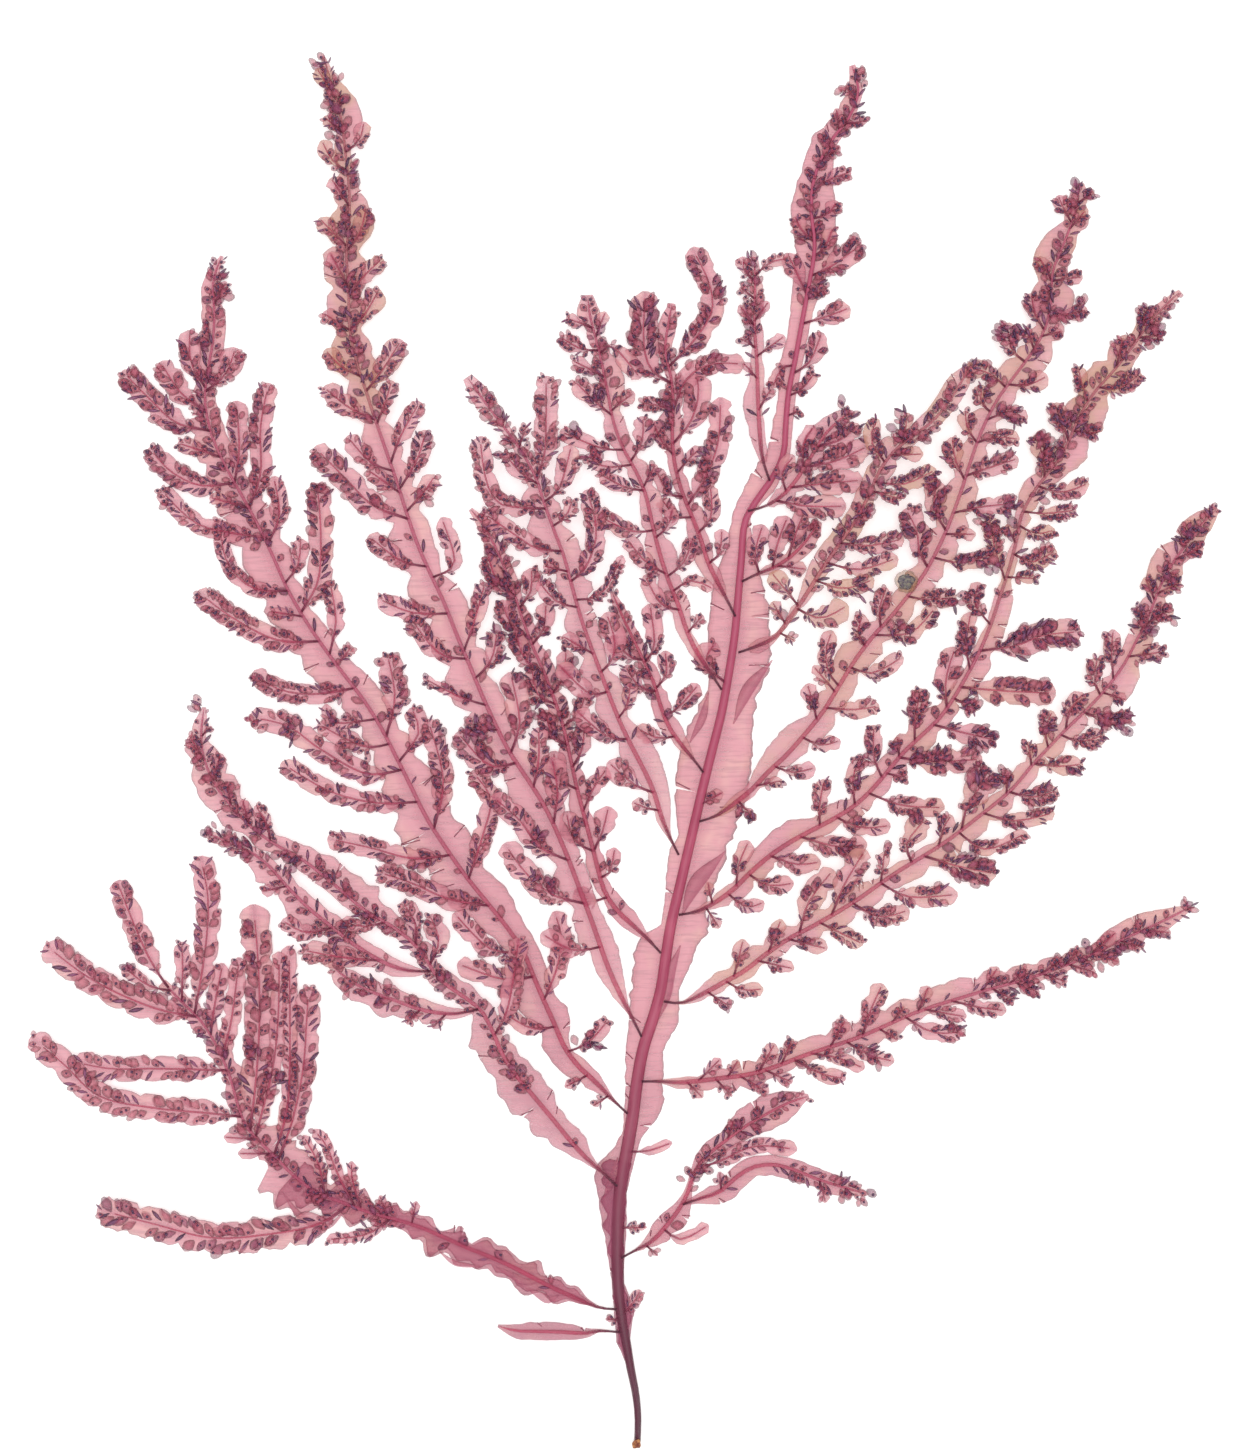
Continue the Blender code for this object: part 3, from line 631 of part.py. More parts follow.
def make_frond(name, frond):
    """One frond as one solid: its arms and all their shoots fused."""
    is_main = name == "main_axis"
    chance = random.Random(name)
    first = trace(frond["arms"][0]["rib"])
    pieces = []
    for number, arm in enumerate(frond["arms"]):
        arm["trace"] = trace(arm["rib"])
        arm["rib_size"] = 1.0 if is_main else FROND_RIB
        fork = nearest_length(*first, *arm["rib"][0][:2]) if number else 0.0
        lift = ARM_LIFT if number else 0.0
        arm["height"] = lambda s, fork=fork, lift=lift: layer_height(frond, first[1][-1], fork + s) + lift
        start = 0.0 if is_main or number else frond.get("gap", STALK_GAP)
        pieces.append(place(name, loft(name, blade_rings(arm, chance, start), 6, BLADE_CAPS)))
        for index, shoot in enumerate(arm["shoots"]):
            mesh = loft(name + "_shoot", shoot_rings(arm, shoot, index), 3, SHOOT_CAPS)
            pieces.append(place(name + "_shoot", mesh))
    if is_main:
        pieces.append(place("holdfast", holdfast()))
    body, rest = pieces[0], pieces[1:]
    if rest:
        unite(body, rest)
    colour = BROWNISH if name == "frond_right_06" else STALK_MAROON if is_main else WING_PINK
    body.data.materials.clear()
    body.data.materials.append(membrane_material(name + "_membrane", colour))
    return body


for leftover in list(bpy.data.objects):
    bpy.data.objects.remove(leftover, do_unlink=True)
for frond_name, frond_plan in FRONDS.items():
    make_frond(frond_name, frond_plan)
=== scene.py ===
"""The looks of a pressed red seaweed, Cumathamnion decipiens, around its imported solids.

The plant lies as its solids do: X to the right, Y in the direction of growth, Z up from the
floor it lies on. Sizes are in millimetres, and a mesh is in metres once its piece is made.
"""

import bisect
import math
import random

import bmesh
import bpy
from mathutils import Matrix, Vector, noise


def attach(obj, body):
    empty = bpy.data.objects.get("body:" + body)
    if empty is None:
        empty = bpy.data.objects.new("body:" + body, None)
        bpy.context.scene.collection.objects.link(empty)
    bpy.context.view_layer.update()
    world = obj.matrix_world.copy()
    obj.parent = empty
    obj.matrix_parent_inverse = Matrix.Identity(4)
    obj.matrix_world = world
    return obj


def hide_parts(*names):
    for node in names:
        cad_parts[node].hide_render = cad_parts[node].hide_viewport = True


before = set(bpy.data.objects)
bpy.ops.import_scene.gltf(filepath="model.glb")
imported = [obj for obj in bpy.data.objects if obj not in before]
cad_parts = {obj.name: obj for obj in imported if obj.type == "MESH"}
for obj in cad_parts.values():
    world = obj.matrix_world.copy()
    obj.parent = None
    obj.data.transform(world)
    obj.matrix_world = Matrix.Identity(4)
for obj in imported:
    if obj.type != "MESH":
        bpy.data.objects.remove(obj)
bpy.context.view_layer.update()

# The floor under the plant: one flat pale plane, larger than the view, that carries nothing of
#  its own. It is matt and glows faintly, painted light that fills the plant's shadows on it, so the
#  eye sees an even white with a very faint mottle.
MM = 0.001
FLOOR_SIDE = 1400.0
FLOOR_DROP = 0.05       # the floor lies this far under the plant, so the two never share a plane
FLOOR_WHITE = "#fdfdfb"
FLOOR_SHADE = "#f8f7f4"
FLOOR_MOTTLE = 9.0      # width of one mottle
PAINTED_FLOOR_GLOW = 0.3      # painted glow: the floor gives off light of its own, as a light table would, which washes out the plant's shadows on it and lights the film from behind


def linear(colour):
    """sRGB hex to the linear values a shader takes."""
    parts = [int(colour[i:i + 2], 16) / 255.0 for i in (1, 3, 5)]
    return [p / 12.92 if p <= 0.04045 else ((p + 0.055) / 1.055) ** 2.4 for p in parts] + [1.0]


def add_node(tree, kind, sockets=(), **settings):
    """Adds a node. Each socket gets a value, or a link from the output socket given for it."""
    node = tree.nodes.new("ShaderNode" + kind)
    for name, value in settings.items():
        setattr(node, name, value)
    for socket, value in dict(sockets).items():
        if isinstance(value, bpy.types.NodeSocket):
            tree.links.new(value, node.inputs[socket])
        else:
            node.inputs[socket].default_value = value
    return node


def start_material(name):
    """A new material with an empty node tree."""
    material = bpy.data.materials.new(name)
    material.use_nodes = True
    material.node_tree.nodes.clear()
    return material, material.node_tree


def finish_mesh(name, bm, *materials):
    """Makes the bmesh, drawn in millimetres, an object in metres that stands at the origin."""
    bmesh.ops.scale(bm, verts=bm.verts, vec=Vector((MM, MM, MM)))
    mesh = bpy.data.meshes.new(name)
    bm.to_mesh(mesh)
    bm.free()
    mesh.shade_smooth()
    for material in materials:
        mesh.materials.append(material)
    piece = bpy.data.objects.new(name, mesh)
    bpy.context.scene.collection.objects.link(piece)
    return piece


floor_skin, tree = start_material("matt_pale_floor")
place = add_node(tree, "TexCoord").outputs["Object"]
mottle = add_node(tree, "TexNoise", {"Vector": place, "Scale": 1 / (FLOOR_MOTTLE * MM), "Detail": 4.0})
colour = add_node(tree, "Mix", {"Factor": mottle.outputs["Fac"], "A": linear(FLOOR_WHITE),
                                "B": linear(FLOOR_SHADE)}, data_type="RGBA")
# The floor's emission is painted glow, not a lamp: it washes out the shadows the plant throws on it.
floor = add_node(tree, "BsdfPrincipled", {"Base Color": colour.outputs["Result"], "Roughness": 0.9,
                                          "Specular IOR Level": 0.1, "Emission Color": (1.0, 1.0, 1.0, 1.0),
                                          "Emission Strength": PAINTED_FLOOR_GLOW})
add_node(tree, "OutputMaterial", {"Surface": floor.outputs["BSDF"]})

bm = bmesh.new()
bmesh.ops.create_grid(bm, x_segments=1, y_segments=1, size=FLOOR_SIDE / 2)
bmesh.ops.translate(bm, verts=bm.verts, vec=Vector((0, 0, -FLOOR_DROP)))
finish_mesh("pale_floor", bm, floor_skin)

# Soft light from straight above, as in a bright white room with a wide window overhead. The
# source is wide, so a thin plant throws next to no shadow beside itself.
SKY_STRENGTH = 0.66
OVERHEAD_STRENGTH = 1.32
OVERHEAD_SPREAD = math.radians(35)
OVERHEAD_HEIGHT = 0.6  # in metres; a sun shines alike from any height
scene = bpy.context.scene
scene.view_settings.view_transform = "Standard"
world = bpy.data.worlds.new("white_room")
world.use_nodes = True
sky = world.node_tree.nodes["Background"]
sky.inputs["Color"].default_value = (1.0, 1.0, 1.0, 1.0)
sky.inputs["Strength"].default_value = SKY_STRENGTH
scene.world = world
overhead = bpy.data.lights.new("overhead", "SUN")
overhead.energy = OVERHEAD_STRENGTH
overhead.angle = OVERHEAD_SPREAD
overhead_lamp = bpy.data.objects.new("overhead", overhead)
overhead_lamp.location = (0.0, 0.0, OVERHEAD_HEIGHT)
scene.collection.objects.link(overhead_lamp)

# The camera looks straight down. Its long side is the picture's height and takes in 246.4 mm
# at the height of the plant's middle. Rays pass through many thin sheets one over the other.
VIEW_AT = (-1.44, 3.98)
VIEW_LONG_SIDE = 246.4
VIEW_HEIGHT = 2.2      # mean height of the plant over the floor
LENS = 100.0
SENSOR = 36.0
CLIP = (0.01, 20.0)    # in metres
THROUGH_SHEETS = 64
LIGHT_BOUNCES = 3
camera = bpy.data.cameras.new("camera")
camera.lens = LENS
camera.sensor_width = SENSOR
camera.clip_start, camera.clip_end = CLIP
viewer = bpy.data.objects.new("camera", camera)
viewer.location = Vector((*VIEW_AT, VIEW_HEIGHT + VIEW_LONG_SIDE * LENS / SENSOR)) * MM
scene.collection.objects.link(viewer)
scene.camera = viewer
scene.cycles.transparent_max_bounces = THROUGH_SHEETS
scene.cycles.max_bounces = LIGHT_BOUNCES
scene.cycles.diffuse_bounces = LIGHT_BOUNCES

# How the plant lies. Fronds that cross lie in layers, and away from the main axis the plant
# rises and sinks in slow waves, as it dried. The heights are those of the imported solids.
LAYER = 2.1            # height from one layer to the next
STALK_LAYER = 0.5      # layer of a frond's stalk where it lies on the main blade's wing
STALK_GAP = 2.1        # a frond's sheet starts this far along its midrib
RAMP = 7.0             # length over which a frond climbs or sinks to its own layer
AXIS_AT = 10.0         # the main axis follows the line x = AXIS_AT + AXIS_LEAN * y
AXIS_LEAN = 0.17
FLAT_REACH = 14.0      # flat on both sides of the main axis
WAVE_REACH = 40.0      # waves have their full height from here on
WAVE_HEIGHT = 1.3
WAVE_LENGTH = 62.0
WAVE_RUN = (0.8, 0.6)  # direction across the waves


def smooth(t):
    """Rises from 0 to 1 with level ends."""
    t = min(1.0, max(0.0, t))
    return t * t * (3.0 - 2.0 * t)


def ground_wave(x, y):
    """Height of the plant's underside over the floor, at the main axis and outside it."""
    across = abs(x - AXIS_AT - AXIS_LEAN * y)
    reach = smooth((across - FLAT_REACH) / (WAVE_REACH - FLAT_REACH))
    phase = 2.0 * math.pi * (x * WAVE_RUN[0] + y * WAVE_RUN[1]) / WAVE_LENGTH
    return WAVE_HEIGHT * reach * 0.5 * (1.0 + math.sin(phase))


class Route:
    """A smooth line through given points, measured along its length."""

    FINENESS = 8

    def __init__(self, points):
        last = len(points) - 1
        self.rows = []
        for i in range(last):
            before, here = points[max(i - 1, 0)], points[i]
            there, after = points[i + 1], points[min(i + 2, last)]
            for k in range(self.FINENESS):
                t = k / self.FINENESS
                self.rows.append([0.5 * (2 * b + (c - a) * t + (2 * a - 5 * b + 4 * c - d) * t * t
                                         + (3 * b - a - 3 * c + d) * t ** 3)
                                  for a, b, c, d in zip(before, here, there, after)])
        self.rows.append(list(points[-1]))
        self.lengths = [0.0]
        for a, b in zip(self.rows, self.rows[1:]):
            self.lengths.append(self.lengths[-1] + math.hypot(b[0] - a[0], b[1] - a[1]))
        self.total = self.lengths[-1]

    def at(self, s):
        """The numbers at length s, the direction there, and the direction to the left."""
        k = min(max(bisect.bisect_right(self.lengths, s) - 1, 0), len(self.rows) - 2)
        span = max(self.lengths[k + 1] - self.lengths[k], 1e-9)
        t = min(1.0, max(0.0, (s - self.lengths[k]) / span))
        here = [a + (b - a) * t for a, b in zip(self.rows[k], self.rows[k + 1])]
        back, on = self.rows[max(k - 1, 0)], self.rows[min(k + 2, len(self.rows) - 1)]
        run = Vector((on[0] - back[0], on[1] - back[1])).normalized()
        return here, run, Vector((-run.y, run.x))

    def nearest(self, x, y):
        """Length at which the line comes nearest to x, y."""
        gaps = [(p[0] - x) ** 2 + (p[1] - y) ** 2 for p in self.rows]
        return self.lengths[gaps.index(min(gaps))]


def frond_height(s, total, layer, over, land=None):
    """Underside of a frond at length s, without the ground's waves."""
    if over:
        layer = STALK_LAYER + (layer - STALK_LAYER) * smooth((s - over) / RAMP)
    if land:
        layer *= 1.0 - smooth((s / total - land[0]) / (land[1] - land[0]))
    return layer * LAYER


# Membranes: the wings of the blades and the clear tips of the shoots. A sheet a few cells
# thick, dried flat, so it is thin pink film with fine nerves across it, a darker rim and
# small tears. Where sheets lie over each other the light passes through both, and darkens.
SHEET = 0.18           # thickness, thicker than life so that it stays a solid sheet
SHEET_LIFT = 0.34      # a wing's sheet lies this far over the underside of its solid
STRIP_STEP = 0.7       # between two rows of faces along a sheet
RIPPLE = 0.14          # height of its small cockles
RIPPLE_SIZE = 5.0      # and their width
FRAY = 0.13            # how far a wing's rim strays from its width
FRAY_SIZE = 1.5        # length of one fray
RAGGED_SIZE = 2.9      # and of one lobe of a wing that is torn ragged
FILM_ALPHA = 0.46      # each of a sheet's two faces stops this share of the light
FILM_PINK = "#e68e9e"
FILM_ROSE = "#c85676"  # beside the midrib and along the grain
FILM_RIM = "#8e3c58"
FILM_PALE = "#eeaaa4"
FILM_AGED = "#a42c60"  # low on the plant, and where a shoot narrows to its neck
FILM_BROWN = "#d29474"
GRAIN_WIDTH = 0.5      # the cell rows of the film are finer, and would not show
GRAIN_LENGTH = 5.0
MOTTLE_SIZE = 6.0
RIM_FROM = (0.93, 0.98)  # a film darkens to its rim over these shares of its half width


def lay_strip(route, widths, height, start, end, rows, tears=(), brown=None, age=None):
    """A sheet along a route: a flat grid whose X runs along it and whose Y runs across it.
    A tear is its length along the route, its side (1 is left), how deep it is and how wide."""
    sheet = bmesh.new()
    uv = sheet.loops.layers.uv.new("UVMap")
    browned = sheet.verts.layers.float.new("brown")
    aged = sheet.verts.layers.float.new("age")
    count = max(3, round((end - start) / STRIP_STEP))
    bmesh.ops.create_grid(sheet, x_segments=count, y_segments=rows, size=1.0)
    span = end - start
    for face in sheet.faces:
        for loop in face.loops:
            x, y, _ = loop.vert.co
            loop[uv].uv = (start + span * (x + 1.0) / 2.0, (y + 1.0) / 2.0)
    parted, flat = {}, []
    for at, side, depth, opening in tears:
        station = round((at - start) / span * count) * 2.0 / count - 1.0
        cut = [edge for edge in sheet.edges
               if all(abs(v.co.x - station) < 1e-4 and v.co.y * side > depth - 1e-4 for v in edge.verts)]
        for edge in cut:
            for vert in edge.verts:
                parted[round(vert.co.x, 4), round(vert.co.y, 4)] = opening * (abs(vert.co.y) - depth)
        bmesh.ops.split_edges(sheet, edges=cut)
    for vert in sheet.verts:
        x, share, _ = vert.co
        s = start + span * (x + 1.0) / 2.0
        shift = parted.get((round(x, 4), round(share, 4)))
        if shift:
            middle = sum(face.calc_center_median().x for face in vert.link_faces) / len(vert.link_faces)
            s += math.copysign(shift, middle - x)
        flat.append((vert, s, share))
    for vert, s, share in flat:
        here, _, left = route.at(s)
        wide = widths(s)[0 if share > 0 else 1] * share
        x, y = here[0] + left.x * wide, here[1] + left.y * wide
        cockle = RIPPLE * noise.noise(Vector((x, y, 0.0)) / RIPPLE_SIZE)
        vert.co = Vector((x, y, height(s) + ground_wave(x, y) + cockle))
        vert[browned] = brown(s) if brown else 0.0
        vert[aged] = age(s) if age else 0.0
    return sheet


def add_to(whole, part):
    """Puts one bmesh into another and frees it."""
    mesh = bpy.data.meshes.new("part")
    part.to_mesh(mesh)
    part.free()
    whole.from_mesh(mesh)
    bpy.data.meshes.remove(mesh)


def thicken(sheet):
    """Gives a flat sheet its thickness, upwards."""
    bmesh.ops.solidify(sheet, geom=sheet.faces, thickness=-SHEET)
    return sheet


def pressed_film(name):
    """Dried algal membrane: thin, see-through, finely nerved, with a soft waxy sheen."""
    material, tree = start_material(name)
    place = add_node(tree, "TexCoord").outputs["Object"]
    sheet = add_node(tree, "SeparateXYZ", {0: add_node(tree, "UVMap").outputs["UV"]})
    out = add_node(tree, "Math", {0: sheet.outputs["Y"], 1: 0.5}, operation="SUBTRACT")
    out = add_node(tree, "Math", {0: out.outputs[0]}, operation="ABSOLUTE")
    out = add_node(tree, "Math", {0: out.outputs[0], 1: 2.0}, operation="MULTIPLY").outputs[0]
    mottle = add_node(tree, "TexNoise", {"Vector": place, "Scale": 1 / (MOTTLE_SIZE * MM), "Detail": 3.0})
    pale = add_node(tree, "MapRange", {0: mottle.outputs["Fac"], 1: 0.5, 2: 0.75})
    rose = add_node(tree, "MapRange", {0: out, 1: 0.45, 2: 0.0})
    along, across = 1 / (GRAIN_LENGTH * MM), 1 / (GRAIN_WIDTH * MM)
    rows = add_node(tree, "Mapping", {"Vector": place, "Scale": (along, across, along)})
    grain = add_node(tree, "TexNoise", {"Vector": rows.outputs[0], "Scale": 1.0, "Detail": 2.0,
                                        "Distortion": 0.3})
    nerve = add_node(tree, "MapRange", {0: grain.outputs["Fac"], 1: 0.48, 2: 0.64, 4: 0.3})
    rim = add_node(tree, "MapRange", {0: out, 1: RIM_FROM[0], 2: RIM_FROM[1], 4: 0.8})
    age = add_node(tree, "Attribute", attribute_name="age")
    patch = add_node(tree, "MapRange", {0: mottle.outputs["Fac"], 1: 0.36, 2: 0.62, 4: 2.0})
    brown = add_node(tree, "Attribute", attribute_name="brown").outputs["Fac"]
    brown = add_node(tree, "Math", {0: brown, 1: patch.outputs[0]}, operation="MULTIPLY")
    film = add_node(tree, "Mix", {"Factor": pale.outputs[0], "A": linear(FILM_PINK),
                                  "B": linear(FILM_PALE)}, data_type="RGBA")
    for share, tone in ((rose.outputs[0], FILM_ROSE), (nerve.outputs[0], FILM_RIM),
                        (rim.outputs[0], FILM_RIM), (age.outputs["Fac"], FILM_AGED),
                        (brown.outputs[0], FILM_BROWN)):
        film = add_node(tree, "Mix", {"Factor": share, "A": film.outputs["Result"],
                                      "B": linear(tone)}, data_type="RGBA")
    bump = add_node(tree, "Bump", {"Height": grain.outputs["Fac"], "Strength": 0.25, "Distance": 0.05 * MM})
    shader = add_node(tree, "BsdfPrincipled", {"Base Color": film.outputs["Result"], "Roughness": 0.5,
                                               "Alpha": FILM_ALPHA, "Normal": bump.outputs[0]})
    add_node(tree, "OutputMaterial", {"Surface": shader.outputs["BSDF"]})
    return material


membrane = pressed_film("dried_pink_membrane")

# Midribs: solid cords of cells, deep rose and thick at the foot of the plant, thin as thread at
# the tips of the shoots. They dried hard and slightly shrunk, with fine grooves along them.
TUBE_SIDES = 8
TUBE_STEP = 1.8
RIB_ROSE = "#cc5878"
RIB_PINK = "#de4a70"
RIB_PINK_DEEP = "#b8385c"
RIB_DEEP = "#b44064"
RIB_MAROON = "#582038"
RIB_PALE = "#c85478"
RIB_BROWN = "#a8705c"
RIB_ALPHA = 0.46       # light still passes through a frond's own thin rib
STALK_ALPHA = 0.74     # and less of it through the main one, and through the dry dark necks
GROOVE_SPACING = 0.35
GROOVE_LENGTH = 5.0


def lay_cord(route, size, height, start, end, age=None, brown=None, dense=math.inf):
    """A flattened cord along a route: a closed cone whose sides are cut into short lengths.
    size gives its half width and half height at a length along the route. Up to the length
    dense it is stalk and dark neck, the second material, and past it rib, the first."""
    cord = bmesh.new()
    uv = cord.loops.layers.uv.new("UVMap")
    browned = cord.verts.layers.float.new("brown")
    aged = cord.verts.layers.float.new("age")
    bmesh.ops.create_cone(cord, cap_ends=True, segments=TUBE_SIDES, radius1=1.0, radius2=1.0, depth=2.0)
    along = [edge for edge in cord.edges if abs(edge.verts[0].co.z - edge.verts[1].co.z) > 1.0]
    count = max(2, round((end - start) / TUBE_STEP))
    bmesh.ops.subdivide_edges(cord, edges=along, cuts=count - 1)
    span = end - start
    for face in cord.faces:
        face.material_index = int(start + span * (face.calc_center_median().z + 1.0) / 2.0 < dense)
        for loop in face.loops:
            x, y, z = loop.vert.co
            loop[uv].uv = (start + span * (z + 1.0) / 2.0, math.atan2(y, x) / math.tau)
    for vert in cord.verts:
        across, up, z = vert.co
        s = start + span * (z + 1.0) / 2.0
        here, _, left = route.at(s)
        half, tall = size(s)
        x, y = here[0] + left.x * across * half, here[1] + left.y * across * half
        vert.co = Vector((x, y, height(s) + ground_wave(here[0], here[1]) + up * tall))
        vert[browned] = brown(s) if brown else 0.0
        vert[aged] = age(s) if age else 0.0
    return cord


def dried_cord(name, alpha, light, deep):
    """Dried midrib: hard and dense, satin, darker low on the plant, grooved along its length."""
    material, tree = start_material(name)
    place = add_node(tree, "TexCoord").outputs["Object"]
    run = add_node(tree, "Mapping", {"Vector": add_node(tree, "UVMap").outputs["UV"],
                                     "Scale": (1 / GROOVE_LENGTH, 3.0 / GROOVE_SPACING, 1.0)})
    groove = add_node(tree, "TexNoise", {"Vector": run.outputs[0], "Scale": 1.0, "Detail": 3.0})
    mottle = add_node(tree, "TexNoise", {"Vector": place, "Scale": 1 / (MOTTLE_SIZE * MM), "Detail": 2.0})
    tone = add_node(tree, "Math", {0: groove.outputs["Fac"], 1: mottle.outputs["Fac"]},
                    operation="MULTIPLY")
    tone = add_node(tree, "MapRange", {0: tone.outputs[0], 1: 0.12, 2: 0.4})
    age = add_node(tree, "Attribute", attribute_name="age").outputs["Fac"]
    old = add_node(tree, "MapRange", {0: age})
    young = add_node(tree, "MapRange", {0: age, 1: 0.0, 2: -1.0})
    brown = add_node(tree, "Attribute", attribute_name="brown")
    cord = add_node(tree, "Mix", {"Factor": tone.outputs[0], "A": linear(deep),
                                  "B": linear(light)}, data_type="RGBA")
    for share, colour in ((old.outputs[0], RIB_MAROON), (young.outputs[0], RIB_PALE),
                          (brown.outputs["Fac"], RIB_BROWN)):
        cord = add_node(tree, "Mix", {"Factor": share, "A": cord.outputs["Result"],
                                      "B": linear(colour)}, data_type="RGBA")
    bump = add_node(tree, "Bump", {"Height": groove.outputs["Fac"], "Strength": 0.5, "Distance": 0.1 * MM})
    shader = add_node(tree, "BsdfPrincipled", {"Base Color": cord.outputs["Result"], "Roughness": 0.45,
                                               "Alpha": alpha, "Normal": bump.outputs[0]})
    add_node(tree, "OutputMaterial", {"Surface": shader.outputs["BSDF"]})
    return material


rib_skin = dried_cord("dried_rose_rib", RIB_ALPHA, RIB_PINK, RIB_PINK_DEEP)
stalk_skin = dried_cord("dried_maroon_stalk", STALK_ALPHA, RIB_ROSE, RIB_DEEP)

# Leaflets: the small blades that crowd both edges of every side shoot, rooted on its midrib
# and pointing outwards. Each is a thin oval of the same film as the wings, but darker, and
# more than half of them bear a fruit, a small dark dome that stands up from the film.
LEAF_SIDES = 10
LEAF_THICK = 0.22
LEAF_ROOT = 0.55       # width at its root against its greatest width
LEAF_POINT = 0.07      # how far the tip is drawn out past the oval
LEAF_MOTTLE = 2.0
LEAF_ALPHA = 0.42
LEAF_PALE = "#e88698"
LEAF_PINK = "#d0607c"
LEAF_PURPLE = "#aa547e"
LEAF_RIM = "#86466e"
FOLD_ALPHA = 0.68
FOLD_LIGHT = "#a4628a"
FOLD_DARK = "#603a60"
FRUIT_DARK = "#46304e"
FRUIT_BROWN = "#6e4668"
FRUIT_SIDES = 7
FRUIT_TOP = 0.45       # radius of its blunt top against that of its foot
FRUIT_MOTTLE = 0.6


def leaf_template():
    """A leaflet one unit long, wide and tall, from its root at X = 0: a low dome on a flat oval."""
    bm = bmesh.new()
    uv = bm.loops.layers.uv.new("UVMap")
    bm.verts.layers.float.new("tone")
    bmesh.ops.create_cone(bm, cap_ends=True, segments=LEAF_SIDES, radius1=0.5, radius2=0.0, depth=1.0)
    bmesh.ops.remove_doubles(bm, verts=bm.verts, dist=1e-4)
    for face in bm.faces:
        for loop in face.loops:
            loop[uv].uv = (loop.vert.co.x + 0.5, loop.vert.co.y + 0.5)
    for vert in bm.verts:
        x = vert.co.x + 0.5
        narrow = LEAF_ROOT + (1.0 - LEAF_ROOT) * smooth(x * 1.8)
        vert.co = Vector((x * (1.0 + LEAF_POINT * smooth((x - 0.9) * 10.0)), vert.co.y * narrow, vert.co.z))
    mesh = bpy.data.meshes.new("leaf_template")
    bm.to_mesh(mesh)
    bm.free()
    return mesh


def fruit_template():
    """A fruit's low dome, one unit in radius and tall."""
    bm = bmesh.new()
    bm.verts.layers.float.new("tone")
    bmesh.ops.create_cone(bm, cap_ends=True, segments=FRUIT_SIDES, radius1=1.0, radius2=FRUIT_TOP,
                          depth=1.0)
    mesh = bpy.data.meshes.new("fruit_template")
    bm.to_mesh(mesh)
    bm.free()
    return mesh


def stamp(whole, template, matrix, tone, skin=0):
    """Adds a copy of the template, placed by the matrix, with a tone and a material of its own."""
    template.attributes["tone"].data.foreach_set("value", [tone] * len(template.vertices))
    template.polygons.foreach_set("material_index", [skin] * len(template.polygons))
    template.transform(matrix)
    whole.from_mesh(template)
    template.transform(matrix.inverted())


def leaf_film(name):
    """Leaflet: the wings' film, denser, from pale pink to purple and darker at its rim."""
    material, tree = start_material(name)
    place = add_node(tree, "TexCoord").outputs["Object"]
    leaf = add_node(tree, "UVMap").outputs["UV"]
    tone = add_node(tree, "Attribute", attribute_name="tone").outputs["Fac"]
    mottle = add_node(tree, "TexNoise", {"Vector": place, "Scale": 1 / (LEAF_MOTTLE * MM), "Detail": 2.0})
    tone = add_node(tree, "Math", {0: mottle.outputs["Fac"], 1: tone}, operation="ADD")
    tone = add_node(tree, "MapRange", {0: tone.outputs[0], 1: 0.4, 2: 1.6})
    pink = add_node(tree, "MapRange", {0: tone.outputs[0], 1: 0.0, 2: 0.5})
    dark = add_node(tree, "MapRange", {0: tone.outputs[0], 1: 0.5, 2: 1.0})
    out = add_node(tree, "VectorMath", {0: leaf, 1: (0.5, 0.5, 0.0)}, operation="DISTANCE")
    rim = add_node(tree, "MapRange", {0: out.outputs["Value"], 1: 0.4, 2: 0.49, 4: 0.55})
    film = add_node(tree, "Mix", {"Factor": pink.outputs[0], "A": linear(LEAF_PALE),
                                  "B": linear(LEAF_PINK)}, data_type="RGBA")
    for share, colour in ((dark.outputs[0], LEAF_PURPLE), (rim.outputs[0], LEAF_RIM)):
        film = add_node(tree, "Mix", {"Factor": share, "A": film.outputs["Result"],
                                      "B": linear(colour)}, data_type="RGBA")
    shader = add_node(tree, "BsdfPrincipled", {"Base Color": film.outputs["Result"], "Roughness": 0.5,
                                               "Alpha": LEAF_ALPHA})
    add_node(tree, "OutputMaterial", {"Surface": shader.outputs["BSDF"]})
    return material


def folded_film(name):
    """Leaflet that dried folded over itself: two or three films thick, so darker and denser."""
    material, tree = start_material(name)
    place = add_node(tree, "TexCoord").outputs["Object"]
    tone = add_node(tree, "Attribute", attribute_name="tone").outputs["Fac"]
    mottle = add_node(tree, "TexNoise", {"Vector": place, "Scale": 1 / (FRUIT_MOTTLE * MM), "Detail": 2.0})
    tone = add_node(tree, "Math", {0: mottle.outputs["Fac"], 1: tone}, operation="ADD")
    tone = add_node(tree, "MapRange", {0: tone.outputs[0], 1: 0.5, 2: 1.6})
    film = add_node(tree, "Mix", {"Factor": tone.outputs[0], "A": linear(FOLD_LIGHT),
                                  "B": linear(FOLD_DARK)}, data_type="RGBA")
    shader = add_node(tree, "BsdfPrincipled", {"Base Color": film.outputs["Result"], "Roughness": 0.5,
                                               "Alpha": FOLD_ALPHA})
    add_node(tree, "OutputMaterial", {"Surface": shader.outputs["BSDF"]})
    return material


def fruit_skin(name):
    """Fruit: a firm dark wall, almost black at its top, satin."""
    material, tree = start_material(name)
    place = add_node(tree, "TexCoord").outputs["Object"]
    mottle = add_node(tree, "TexNoise", {"Vector": place, "Scale": 1 / (FRUIT_MOTTLE * MM), "Detail": 2.0})
    skin = add_node(tree, "Mix", {"Factor": mottle.outputs["Fac"], "A": linear(FRUIT_DARK),
                                  "B": linear(FRUIT_BROWN)}, data_type="RGBA")
    shader = add_node(tree, "BsdfPrincipled", {"Base Color": skin.outputs["Result"], "Roughness": 0.4})
    add_node(tree, "OutputMaterial", {"Surface": shader.outputs["BSDF"]})
    return material


